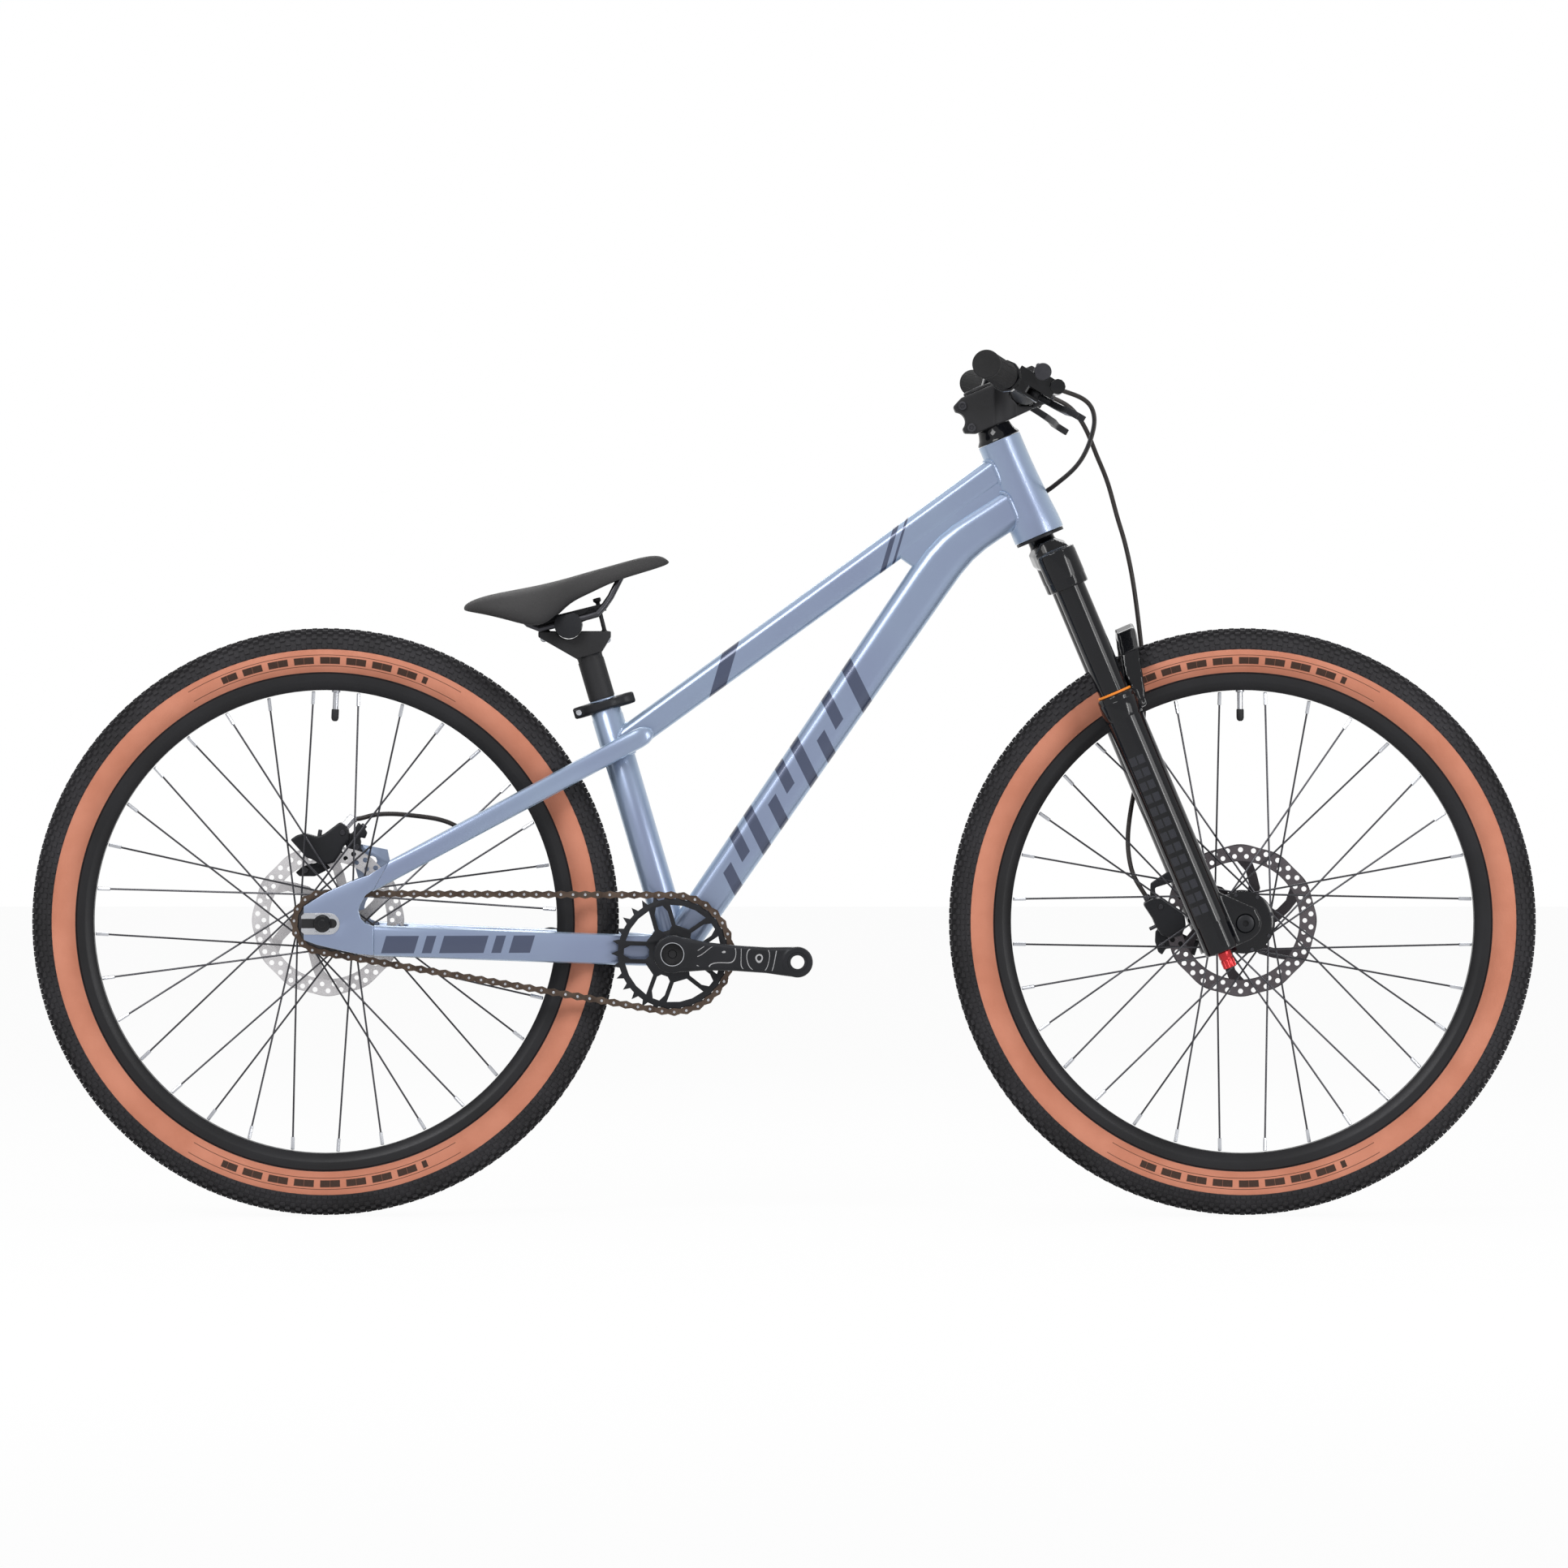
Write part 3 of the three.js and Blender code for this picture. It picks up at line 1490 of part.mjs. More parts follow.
function stemFaceplate() {
  const half = stemWidth / 2;
  const split = stemLength + touchGap;
  const front = split + barCentreRadius + faceplateThickness;
  const high = stemBarWall + barCentreRadius;
  const outline = [
    [split, barHeight - high],
    [front - faceplateThickness, barHeight - high],
    [front, barHeight - high / 2],
    [front, barHeight + high / 2],
    [front - faceplateThickness, barHeight + high],
    [split, barHeight + high],
  ];
  return cut(
    plate(outline, -half, half),
    bore(at(stemLength, -half, barHeight), at(stemLength, half, barHeight), clampRadius, smallFacets),
  );
}

// Handlebar, in its own frame with the clamp at the origin and x and z along the ground frame
function barMiddle(distance) {
  const share = Math.max(Math.abs(distance) - barStraight, 0) / (barHalfWidth - barStraight);
  return at(-barSweep * share, distance, barRise * share);
}

function barRing(distance, radius) {
  const middle = barMiddle(distance);
  return circle(radius, smallFacets).map(([a, b]) => at(middle.x + a, middle.y, middle.z + b));
}

function barLoft(rows) {
  return loft(rows.map(([distance, radius]) => barRing(distance, radius)));
}

function handlebar() {
  const half = [
    [barStraight, barCentreRadius],
    [barTaperEnd, barEndRadius],
    [barHalfWidth - gripCapThickness, barEndRadius],
  ];
  const rows = [...half.map(([y, radius]) => [-y, radius]).reverse(), ...half];
  const inside = rows.map(([y, radius], i) => {
    const overrun = i === 0 ? -cutOverrun : i === rows.length - 1 ? cutOverrun : 0;
    return [y + overrun, radius - barWall];
  });
  return cut(barLoft(rows), barLoft(inside));
}

function grip(side) {
  const start = gripStart;
  const closed = barHalfWidth - gripCapThickness + touchGap;
  const inner = barEndRadius + touchGap;
  return cut(
    barLoft([[side * start, gripRadius], [side * barHalfWidth, gripRadius]]),
    barLoft([[side * (start - cutOverrun), inner], [side * closed, inner]]),
  );
}

// Brake levers: x away from the bar towards the blade, z up the lever's pivot, from the bar's middle line
function leverClamp(side, reach) {
  const near = leverClampPlace - reach;
  const far = leverClampPlace + reach;
  const low = barMiddle(side * near);
  const high = barMiddle(side * far);
  const origin = barMiddle(side * leverClampPlace);
  const tilt = -leverTiltAngle * degree;
  return [low, high].map((point) => point.sub(origin).applyAxisAngle(at(0, 1, 0), tilt));
}

function masterCylinder(side) {
  const half = leverClampWidth / 2;
  const [low, high] = leverClamp(side, half);
  const [inside, outside] = leverClamp(side, leverClampWidth * 2);
  const inner = barEndRadius / Math.cos(Math.PI / smallFacets) + touchGap;
  const along = (place) => side * (place - leverClampPlace);
  const top = leverThickness / 2 + touchGap;
  const ear = top + leverEarThickness;
  const pivot = along(leverPivotPlace);
  const [near, far] = [Math.min(pivot, 0) - half, Math.max(pivot, 0) + half];
  const heel = leverPivotReach - leverBladeDepth - runningGap;
  const reach = leverPivotReach + leverEarReach;
  const start = leverClampRadius / 2;
  const hinge = (z) => at(leverPivotReach, pivot, z);
  const barrel = (x, z, radius) => {
    return bar(at(x, along(cylinderInner), z), at(x, along(cylinderOuter), z), radius, postFacets);
  };
  const body = join(
    bar(low, high, leverClampRadius, postFacets),
    barrel(reservoirReach, reservoirRise, reservoirRadius),
    barrel(pistonReach, pistonRise, pistonRadius),
    block(at(reservoirReach, near, top), at(pistonReach, far, reservoirRise)),
    block(at(start, near, top), at(reach, far, pistonRise)),
    block(at(start, near, -ear), at(reach, far, -top)),
    block(at(start, near, -ear), at(heel, far, pistonRise)),
    bar(hinge(-ear), hinge(pistonRise), leverPinRadius, smallFacets),
  );
  return cut(body, bore(inside, outside, inner, smallFacets));
}

// Blade shape from the pivot to the tip: place, reach and thickness as shares
const leverShares = [
  [0, 0, 0.9],
  [0.12, 0.55, 0.9],
  [0.35, 0.85, 0.85],
  [0.7, 0.95, 0.8],
  [0.9, 1, 0.8],
  [1, 1.3, 0.9],
];

// A lever blade about its pivot, with its tip hooked outwards
function leverBlade(side) {
  const out = (place) => side * (place - leverPivotPlace);
  const swing = leverBladeReach - leverPivotReach;
  const half = leverThickness / 2;
  const depth = leverBladeDepth / 2;
  const outline = leverShares.map(([along, reach, thick]) => [
    out(leverPivotPlace + along * (leverTipPlace - leverPivotPlace)),
    reach * swing,
    thick * depth,
  ]);
  const ring = ([y, x, thick]) => [
    at(x - thick, y, -half),
    at(x + thick, y, -half),
    at(x + thick, y, half),
    at(x - thick, y, half),
  ];
  const blade = join(
    loft(outline.map(ring)),
    bar(at(0, 0, -half), at(0, 0, half), leverBladeDepth - touchGap * 2, postFacets),
  );
  return cut(blade, bore(at(0, 0, -half), at(0, 0, half), leverPinRadius + touchGap, smallFacets));
}

// Rear caliper with its adapter, about the rear axle; the adapter's corners as shares of the caliper
const rearAdapterShares = [
  [-0.47, -0.457],
  [1, -0.28],
  [1.8, -0.1],
  [2.08, 0.11],
  [1.94, 0.24],
  [-0.75, 0.2],
  [-0.75, -0.28],
];

function rearCaliper() {
  const inner = rearRotorPlace - caliperWidth / 2;
  const outer = dropoutInner - touchGap;
  const half = rearCaliperLength / 2;
  const middle = -rearCaliperBack;
  const foot = rearCaliperRise - rearCaliperHeight / 2;
  const body = block(at(middle - half, inner, foot), at(middle + half, outer, foot + rearCaliperHeight));
  const adapter = rearAdapterShares.map(([a, b]) => [middle + a * half, foot + b * rearCaliperHeight]);
  const arm = plate(adapter, outer - rearAdapterThickness, outer);
  const slot = caliperSlotWidth / 2;
  const [near, far] = [at(0, rearRotorPlace - slot, 0), at(0, rearRotorPlace + slot, 0)];
  const disc = bar(near, far, caliperSlotRadius, legFacets * 2);
  return cut(join(body, arm), disc);
}

// Seatpost with its head and two clamp bolts
function railPoint(along, high) {
  const [c, s] = [Math.cos(railAngle * degree), Math.sin(railAngle * degree)];
  return at(along * c - high * s, 0, along * s + high * c);
}

function seatpost() {
  const crest = cradleAlong - cradleRadius - postHeadDrop;
  const top = alongSeat(crest - postNeck);
  const post = cut(
    bar(alongSeat(postFoot), alongSeat(crest), seatPostRadius, postFacets),
    bar(alongSeat(postFoot - cutOverrun), alongSeat(seatTubeLength), seatPostRadius - postWall, postFacets),
  );
  const spread = seatPostRadius;
  const corner = (point) => [point.x, point.z];
  const head = plate(
    [
      [cradle.x - postHeadRearReach, cradle.z - postHeadDrop],
      [cradle.x - postHeadRearReach, cradle.z - postHeadDrop * 2],
      corner(top.clone().addScaledVector(seatForward, -spread)),
      corner(top.clone().addScaledVector(seatForward, spread)),
      [cradle.x + postHeadFrontReach, cradle.z - postHeadDrop * 2],
      [cradle.x + postHeadFrontReach, cradle.z - postHeadDrop],
    ],
    -postHeadWidth / 2,
    postHeadWidth / 2,
  );
  const bolts = [-clampBoltRear, clampBoltFront].map((along) => {
    const bridge = clampBridgeLift + clampBridgeHeight;
    const tilt = railAngle * degree;
    const sink = (along * Math.sin(tilt) + postHeadDrop * boltFootShare) / Math.cos(tilt);
    const foot = railPoint(along, -sink).add(cradle);
    const neck = railPoint(along, bridge + clampBoltStandOff).add(cradle);
    const end = railPoint(along, bridge + clampBoltStandOff + clampBoltHeadHeight).add(cradle);
    return join(
      bar(foot, neck.clone().lerp(end, 0.5), clampBoltRadius, smallFacets),
      bar(neck, end, clampBoltHeadRadius, smallFacets),
    );
  });
  const [right, left] = [at(cradle.x, -postHeadWidth, cradle.z), at(cradle.x, postHeadWidth, cradle.z)];
  const shaped = cut(join(post, head), bar(right, left, cradleRadius + touchGap, legFacets));
  return join(shaped, ...bolts);
}

// Saddle parts, about the cradle centre
function turnedToRails(body) {
  return body.rotateY(-railAngle * degree);
}

function saddleClamp() {
  const half = cradleHalfWidth;
  const barrel = bar(at(0, -half, 0), at(0, half, 0), cradleRadius, legFacets);
  const cap = railRise + railRadius + clampCapWall;
  const box = (low, high) => {
    const size = high.clone().sub(low);
    const middle = low.clone().lerp(high, 0.5);
    const geometry = new THREE.BoxGeometry(size.x, size.y, size.z);
    return solid(turnedToRails(geometry.translate(middle.x, middle.y, middle.z)));
  };
  const lift = clampBridgeLift;
  const bridge = box(
    at(-clampBoltRear - clampBridgeOverhang, -clampBridgeWidth / 2, lift),
    at(clampBoltFront + clampBridgeOverhang, clampBridgeWidth / 2, lift + clampBridgeHeight),
  );
  const wide = cradleRadius * 2;
  const above = box(at(-wide, -half * 2, cap), at(wide, half * 2, cap + wide));
  const bolt = (along) => {
    const drill = clampBoltRadius + clampBoltPlay;
    return bar(railPoint(along, -cradleRadius), railPoint(along, cap + cradleRadius), drill, smallFacets);
  };
  const groove = (railRadius + touchGap) / Math.cos(Math.PI / smallFacets);
  const rail = (side) => {
    const [back, front] = [-wide, wide].map((along) => railPoint(along, railRise).setY(side * railSpread));
    return bar(back, front, groove, smallFacets);
  };
  return cut(join(cut(barrel, above), bridge), rail(-1), rail(1), bolt(-clampBoltRear), bolt(clampBoltFront));
}

// Saddle sections from tail to nose: place, top, skirt and half width as shares
const saddleShares = [
  [0, 0.24, 0.19, 0.33],
  [0.028, 0.31, 0.16, 0.6],
  [0.115, 0.39, 0.116, 0.88],
  [0.233, 0.45, 0.028, 0.99],
  [0.352, 0.51, -0.074, 0.955],
  [0.431, 0.56, 0.021, 0.79],
  [0.51, 0.615, 0.275, 0.576],
  [0.609, 0.695, 0.39, 0.417],
  [0.727, 0.78, 0.556, 0.333],
  [0.866, 0.889, 0.667, 0.303],
  [0.957, 0.92, 0.744, 0.242],
  [1, 0.83, 0.8, 0.12],
];

// Crown and drawn in side of one half section, from the skirt to the middle, as shares
const crownHalfShares = [
  [0.8, 0],
  [1, 0.4],
  [0.93, 0.72],
  [0.7, 0.92],
  [0.36, 1],
];

function saddleStation([place, top, skirt, wide]) {
  return {
    x: place * saddleLength - saddleRearReach,
    top: top * saddleRise,
    skirt: skirt * saddleRise,
    half: (wide * saddleWidth) / 2,
  };
}

// Height of the saddle's underside at a place along it
function saddleUnderside(x) {
  const stations = saddleShares.map(saddleStation);
  const next = Math.max(stations.findIndex((station) => station.x > x), 1);
  const [a, b] = [stations[next - 1], stations[next]];
  const share = (x - a.x) / (b.x - a.x);
  const under = ({ top, skirt }) => skirt + saddleUnderShare * (top - skirt);
  return under(a) + share * (under(b) - under(a));
}

function saddleCover() {
  const half = [...crownHalfShares];
  const mirror = half.map(([wide, high]) => [-wide, high]).reverse();
  const under = [
    [-saddleHemShare, saddleHemLiftShare],
    [-saddlePanShare, saddleUnderShare],
    [saddlePanShare, saddleUnderShare],
    [saddleHemShare, saddleHemLiftShare],
  ];
  const outline = [...half, [0, 1], ...mirror, ...under];
  return loft(saddleShares.map(saddleStation).map((station) => outline.map(([wide, high]) => at(
    station.x,
    wide * station.half,
    station.skirt + high * (station.top - station.skirt),
  ))));
}

// One wire from the tail round the nose and back
// Bends of the rails at the tail and the nose: the way out, the rise and the spread
const railTailShares = [
  [1, 1, 1.2],
  [0.55, 0.35, 1.08],
];
const railNoseShares = [
  [0.4, 0.35, 0.62],
  [0.82, 0.92, 0.34],
  [1, 1, 0],
];

function saddleRails() {
  const seat = (x) => saddleUnderside(x) - railRadius - touchGap;
  const tail = at(-railTailReach, 0, seat(-railTailReach));
  const nose = at(railNoseReach, 0, seat(railNoseReach));
  const [back, front] = [railPoint(-railStraightRear, railRise), railPoint(railStraightFront, railRise)];
  const bend = (from, to, [share, rise, wide]) => at(
    from.x + (to.x - from.x) * share,
    -wide * railSpread,
    from.z + (to.z - from.z) * rise,
  );
  const straight = [
    back,
    railPoint(-railStraightRear * railHoldShare, railRise),
    railPoint(railStraightFront * railHoldShare, railRise),
    front,
  ];
  const placed = [
    ...railTailShares.map((row) => bend(back, tail, row)),
    ...straight.map((point) => point.clone().setY(-railSpread)),
    ...railNoseShares.map((row) => bend(front, nose, row)),
  ];
  const other = placed.slice(0, -1).map((point) => point.clone().setY(-point.y)).reverse();
  const extrudePath = new THREE.CatmullRomCurve3([...placed, ...other], false, "centripetal");
  const section = circle(railRadius, hoseFacets).map(([a, b]) => new THREE.Vector2(a, b));
  return solid(new THREE.ExtrudeGeometry(new THREE.Shape(section), { steps: railSteps, extrudePath }));
}

// The whole bicycle
const steering = new THREE.Group();
steering.position.copy(headFoot);
steering.rotation.y = steeringTurn;
const handlebarFrame = new THREE.Group();
handlebarFrame.position.set(stemLength, 0, barHeight);
handlebarFrame.rotation.y = -steeringTurn;
steering.add(handlebarFrame);

function leverFrames(side) {
  const frame = new THREE.Group();
  frame.position.copy(barMiddle(side * leverClampPlace));
  frame.rotation.y = leverTiltAngle * degree;
  const pivot = new THREE.Group();
  pivot.position.set(leverPivotReach, side * (leverPivotPlace - leverClampPlace), 0);
  frame.add(pivot);
  handlebarFrame.add(frame);
  return { frame, pivot };
}

function groupAt(x, y, z) {
  const group = new THREE.Group();
  group.position.set(x, y, z);
  return group;
}

const bicycle = new THREE.Group();
const frontWheel = groupAt(frontAxleX, 0, axleHeight);
const rearWheel = groupAt(rearAxleX, 0, axleHeight);
const cranks = groupAt(shellX, 0, shellZ);
cranks.rotation.y = crankDroop * degree;
const chainringFrame = groupAt(shellX, 0, shellZ);
const saddle = groupAt(cradle.x, cradle.y, cradle.z);
const knob = groupAt(legOffset, -legSpread, -legEnd);
bicycle.add(steering, frontWheel, rearWheel, cranks, chainringFrame, saddle);
steering.add(knob);

bicycle.add(
  piece("top_tube", topTube(), paint),
  piece("down_tube", downTube(), paint),
  piece("seat_tube", seatTube(), paint),
  piece("bottom_bracket_shell", shell(), paint),
  piece("seat_clamp", seatClamp(), satinBlack),
  piece("rear_axle", rearAxle(), darkSteel),
  piece("chain", chain(), bronze),
  piece("rear_brake_hose_front", cord(rearHoseFront, rearHoseFrontSteps), softBlack),
  piece("rear_brake_hose_rear", cord(rearHoseRear, rearHoseRearSteps), softBlack),
  piece("front_brake_hose", cord(frontHose, frontHoseSteps), softBlack),
  piece("seatpost", seatpost(), satinBlack),
);
for (const [word, side] of [["right", -1], ["left", 1]]) {
  bicycle.add(
    piece("seatstay_" + word, seatstay(side), paint),
    piece("chainstay_" + word, chainstay(side), paint),
    piece("dropout_" + word, dropout(side), paint),
    piece("bottom_bracket_cup_" + word, cup(side), satinBlack),
  );
  const { frame, pivot } = leverFrames(side);
  frame.add(piece("master_cylinder_" + word, masterCylinder(side), satinBlack));
  pivot.add(piece("brake_lever_" + word, leverBlade(side), satinBlack));
  steering.add(piece("stanchion_" + word, stanchion(side), glossBlack));
  handlebarFrame.add(piece("grip_" + word, grip(side), softBlack));
  cranks.add(piece("crank_" + word, crank(side), satinBlack));
}

steering.add(
  piece("head_tube", headTube(), paint),
  piece("headset_bearing_upper", upperBearing(), darkSteel),
  piece("headset_bearing_lower", lowerBearing(), darkSteel),
  piece("headset_cover", headsetCover(), satinBlack),
  piece("fork_crown", forkCrown(), glossBlack),
  piece("fork_lowers", forkLowers(), glossBlack),
  piece("travel_ring", travelRing(), orange),
  piece("front_axle", frontAxlePin(), darkSteel),
  piece("front_caliper", frontCaliper(), satinBlack),
  piece("stem", stem(), satinBlack),
  piece("stem_faceplate", stemFaceplate(), satinBlack),
);
knob.add(piece("rebound_knob", reboundKnob(), red));
handlebarFrame.add(piece("handlebar", handlebar(), satinBlack));

const frontHub = {
  width: frontHubWidth,
  right: frontFlangeRight,
  left: frontFlangeLeft,
  shell: frontHubShellRadius,
  collar: frontHubShellRadius,
  collarReach: frontHubCollarReach,
  end: frontHubEndRadius,
  axle: frontAxleRadius,
  rotorPlace: frontRotorPlace,
};
const rearHub = {
  width: rearHubWidth,
  right: rearFlangeRight,
  left: rearFlangeLeft,
  shell: rearHubShellRadius,
  collar: rearHubCollarRadius,
  collarReach: driverStart,
  end: rearHubEndRadius,
  axle: rearAxleRadius,
  rotorPlace: rearRotorPlace,
};
for (const [word, wheel, parts, turn, finish] of [
  ["front", frontWheel, frontHub, 0, darkSteel],
  ["rear", rearWheel, rearHub, -rearWheelTurnAngle, steel],
]) {
  wheel.add(
    piece(word + "_tyre", tyre(), tan),
    piece(word + "_rim", rim(), satinBlack),
    piece(word + "_spokes_right", spokes(-1, parts.right, turn), steel),
    piece(word + "_spokes_left", spokes(1, parts.left, turn), steel),
    piece(word + "_hub", hub(parts), satinBlack),
    piece(word + "_rotor", rotor(parts.rotorPlace), finish),
  );
}
rearWheel.add(piece("rear_cog", cog(), darkSteel), piece("rear_caliper", rearCaliper(), satinBlack));
chainringFrame.add(piece("chainring", chainring(), satinBlack));
saddle.add(
  piece("saddle_clamp", saddleClamp(), satinBlack),
  piece("saddle_rails", saddleRails(), darkSteel),
  piece("saddle_cover", saddleCover(), softBlack),
);

export default bicycle;
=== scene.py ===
# %% [markdown]
# A dirt jump bicycle, dressed around its CAD model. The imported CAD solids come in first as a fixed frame:
# each one sits where the real piece sits, and every finer piece made below takes a solid's place. Loading
# them first means that nothing has to be fitted by eye later.

# %% Load the frame
import math

import bpy
from mathutils import Matrix, Vector


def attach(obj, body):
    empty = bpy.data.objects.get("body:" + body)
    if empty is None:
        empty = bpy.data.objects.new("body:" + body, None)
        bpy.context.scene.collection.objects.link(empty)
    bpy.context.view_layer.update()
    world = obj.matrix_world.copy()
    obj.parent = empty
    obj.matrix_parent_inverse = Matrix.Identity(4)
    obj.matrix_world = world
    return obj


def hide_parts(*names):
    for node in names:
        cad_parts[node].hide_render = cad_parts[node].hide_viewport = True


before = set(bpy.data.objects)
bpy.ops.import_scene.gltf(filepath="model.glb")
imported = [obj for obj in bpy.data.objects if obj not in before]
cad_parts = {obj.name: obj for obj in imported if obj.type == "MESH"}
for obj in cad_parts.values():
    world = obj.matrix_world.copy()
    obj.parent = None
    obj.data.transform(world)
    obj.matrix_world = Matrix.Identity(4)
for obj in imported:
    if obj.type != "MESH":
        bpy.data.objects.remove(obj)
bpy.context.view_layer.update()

# %% [markdown]
# Places come next. Lengths are written in millimetres, as on a workshop drawing, and turned to metres once.
# Three frames of reference do most of the work: the ground frame, the steering axis, which leans back by
# its head angle, and the seat tube. A point is then named by how far it lies along each of them.

# %% Places on the bicycle
MM = 0.001
DEGREE = math.pi / 180
SIDES = ((-1, "right"), (1, "left"))


def mm(x, y, z):
    return Vector((x, y, z)) * MM


FRONT_AXLE = mm(478.75, 0, 306.5)
REAR_AXLE = mm(-478.75, 0, 306.5)
BOTTOM_BRACKET = mm(-115.758, 0, 274.5)
HEAD_FOOT = mm(266.675, 0, 709.868)
STEER_UP = Vector((-0.38912, 0, 0.92119))
STEER_FORWARD = Vector((0.92119, 0, 0.38912))
SEAT_FOOT = mm(-111.758, 0, 274.5)
SEAT_UP = Vector((-0.28302, 0, 0.95911))
SEAT_FORWARD = Vector((0.95911, 0, 0.28302))
CRADLE = mm(-225.027, 0, 616.318)
BAR_CENTRE = mm(251.589, 0, 861.227)
SIDEWAYS = Vector((0, 1, 0))
BAR_HALF, BAR_STRAIGHT, BAR_SWEEP, BAR_RISE = 350, 48, 48, 17.6
LEVER_PLACE = 203
LEVER_TILT = 31 * DEGREE
LEVER_OUT = Vector((math.cos(LEVER_TILT), 0, -math.sin(LEVER_TILT)))
LEVER_UP = Vector((math.sin(LEVER_TILT), 0, math.cos(LEVER_TILT)))


def steering_point(forward, sideways, up):
    return HEAD_FOOT + (STEER_FORWARD * forward + SIDEWAYS * sideways + STEER_UP * up) * MM


def seat_point(up, forward=0, sideways=0):
    return SEAT_FOOT + (SEAT_UP * up + SEAT_FORWARD * forward + SIDEWAYS * sideways) * MM


def bar_point(distance):
    share = max(abs(distance) - BAR_STRAIGHT, 0) / (BAR_HALF - BAR_STRAIGHT)
    return BAR_CENTRE + mm(-BAR_SWEEP * share, distance, BAR_RISE * share)


def lever_point(side, out, sideways, up):
    return bar_point(side * LEVER_PLACE) + (LEVER_OUT * out + SIDEWAYS * side * sideways + LEVER_UP * up) * MM


print("handlebar end", bar_point(BAR_HALF))

# %% [markdown]
# The camera stands where the photographer stood: about ten metres away on the drive side, with a long lens,
# so the bicycle is seen almost without perspective. The lens is aimed level and shifted down a little, which
# keeps the wheels round and the upright lines upright.

# %% Camera
CAMERA_DISTANCE = 10.0
CAMERA_HEIGHT = 0.591
VIEW_WIDTH = 1.638
SENSOR_WIDTH = 36
camera_data = bpy.data.cameras.new("side_camera")
camera_data.sensor_width = SENSOR_WIDTH
camera_data.lens = SENSOR_WIDTH * CAMERA_DISTANCE / VIEW_WIDTH
camera_data.shift_y = -0.086
camera = bpy.data.objects.new("side_camera", camera_data)
camera.location = (0, -CAMERA_DISTANCE, CAMERA_HEIGHT)
camera.rotation_euler = (90 * DEGREE, 0, 0)
bpy.context.scene.collection.objects.link(camera)
bpy.context.scene.camera = camera
print("lens", round(camera_data.lens, 1))

# %% [markdown]
# A few helpers keep the later cells short. Each wraps the tools that a modeller uses by hand: pick one
# object, run a modifier and apply it, then put the finished piece on the CAD body it moves with.

# %% Helpers for every piece
PIECES = []


def alone(piece=None):
    if bpy.context.object is not None and bpy.context.object.mode != "OBJECT":
        bpy.ops.object.mode_set(mode="OBJECT")
    bpy.ops.object.select_all(action="DESELECT")
    if piece is not None:
        piece.select_set(True)
        bpy.context.view_layer.objects.active = piece


def apply_modifier(piece, kind, **settings):
    modifier = piece.modifiers.new(kind.lower(), kind)
    for name, value in settings.items():
        setattr(modifier, name, value)
    alone(piece)
    bpy.ops.object.modifier_apply(modifier=modifier.name)


def soften(piece, width, segments=2, angle=35):
    apply_modifier(
        piece, "BEVEL", width=width * MM, segments=segments, limit_method="ANGLE",
        angle_limit=angle * DEGREE, harden_normals=False,
    )


def settle(piece, body, finish, nodes=(), smooth=38):
    alone(piece)
    bpy.ops.object.transform_apply(location=True, rotation=True, scale=True)
    bpy.ops.object.shade_smooth_by_angle(angle=smooth * DEGREE)
    piece.data.materials.clear()
    piece.data.materials.append(FINISHES[finish] if isinstance(finish, str) else finish)
    if nodes:
        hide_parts(*nodes)
    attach(piece, body)
    PIECES.append(piece.name)
    return piece


def merge_and_turn_out(piece, distance=0.002):
    alone(piece)
    bpy.ops.object.mode_set(mode="EDIT")
    bpy.ops.mesh.select_all(action="SELECT")
    bpy.ops.mesh.remove_doubles(threshold=distance * MM)
    bpy.ops.mesh.normals_make_consistent(inside=False)
    bpy.ops.object.mode_set(mode="OBJECT")


def joined(name, parts):
    alone(parts[0])
    for part in parts:
        part.select_set(True)
    if len(parts) > 1:
        bpy.ops.object.join()
    parts[0].name = name
    return parts[0]


# %% [markdown]
# Round things are turned, as on a lathe: one vertex is extruded along half the section and the line is spun
# about the axle. Tubes are extruded from a plate with rounded corners, ring after ring. Plates are filled
# outlines pushed out to their thickness. Three helpers cover these three ways of making.

# %% Helpers that shape
def point_chain(name, points):
    alone()
    bpy.ops.mesh.primitive_plane_add(size=MM)
    piece = bpy.context.object
    piece.name = name
    bpy.ops.object.mode_set(mode="EDIT")
    bpy.ops.mesh.merge(type="CENTER")
    bpy.ops.transform.translate(value=points[0])
    for before, after in zip(points, points[1:]):
        bpy.ops.mesh.extrude_vertices_move(TRANSFORM_OT_translate={"value": after - before})
    return piece


def turned(name, outline, centre, axis=SIDEWAYS, steps=48, closed=True):
    across = axis.orthogonal().normalized()
    points = [centre + (axis * along + across * radius) * MM for radius, along in outline]
    piece = point_chain(name, points + points[:1] if closed else points)
    bpy.ops.mesh.select_all(action="SELECT")
    bpy.ops.mesh.spin(steps=steps, angle=2 * math.pi, center=centre, axis=axis)
    bpy.ops.object.mode_set(mode="OBJECT")
    merge_and_turn_out(piece)
    return piece


def peg(name, start, end, radius, steps=20, chamfer=0.0):
    axis = (end - start).normalized()
    length = (end - start).length / MM
    outline = [(0, 0), (radius, 0), (radius, length), (0, length)]
    if chamfer:
        flat = radius - chamfer
        shoulder = length - chamfer
        outline = [(0, 0), (flat, 0), (radius, chamfer), (radius, shoulder), (flat, length), (0, length)]
    return turned(name, outline, start, axis, steps, closed=False)


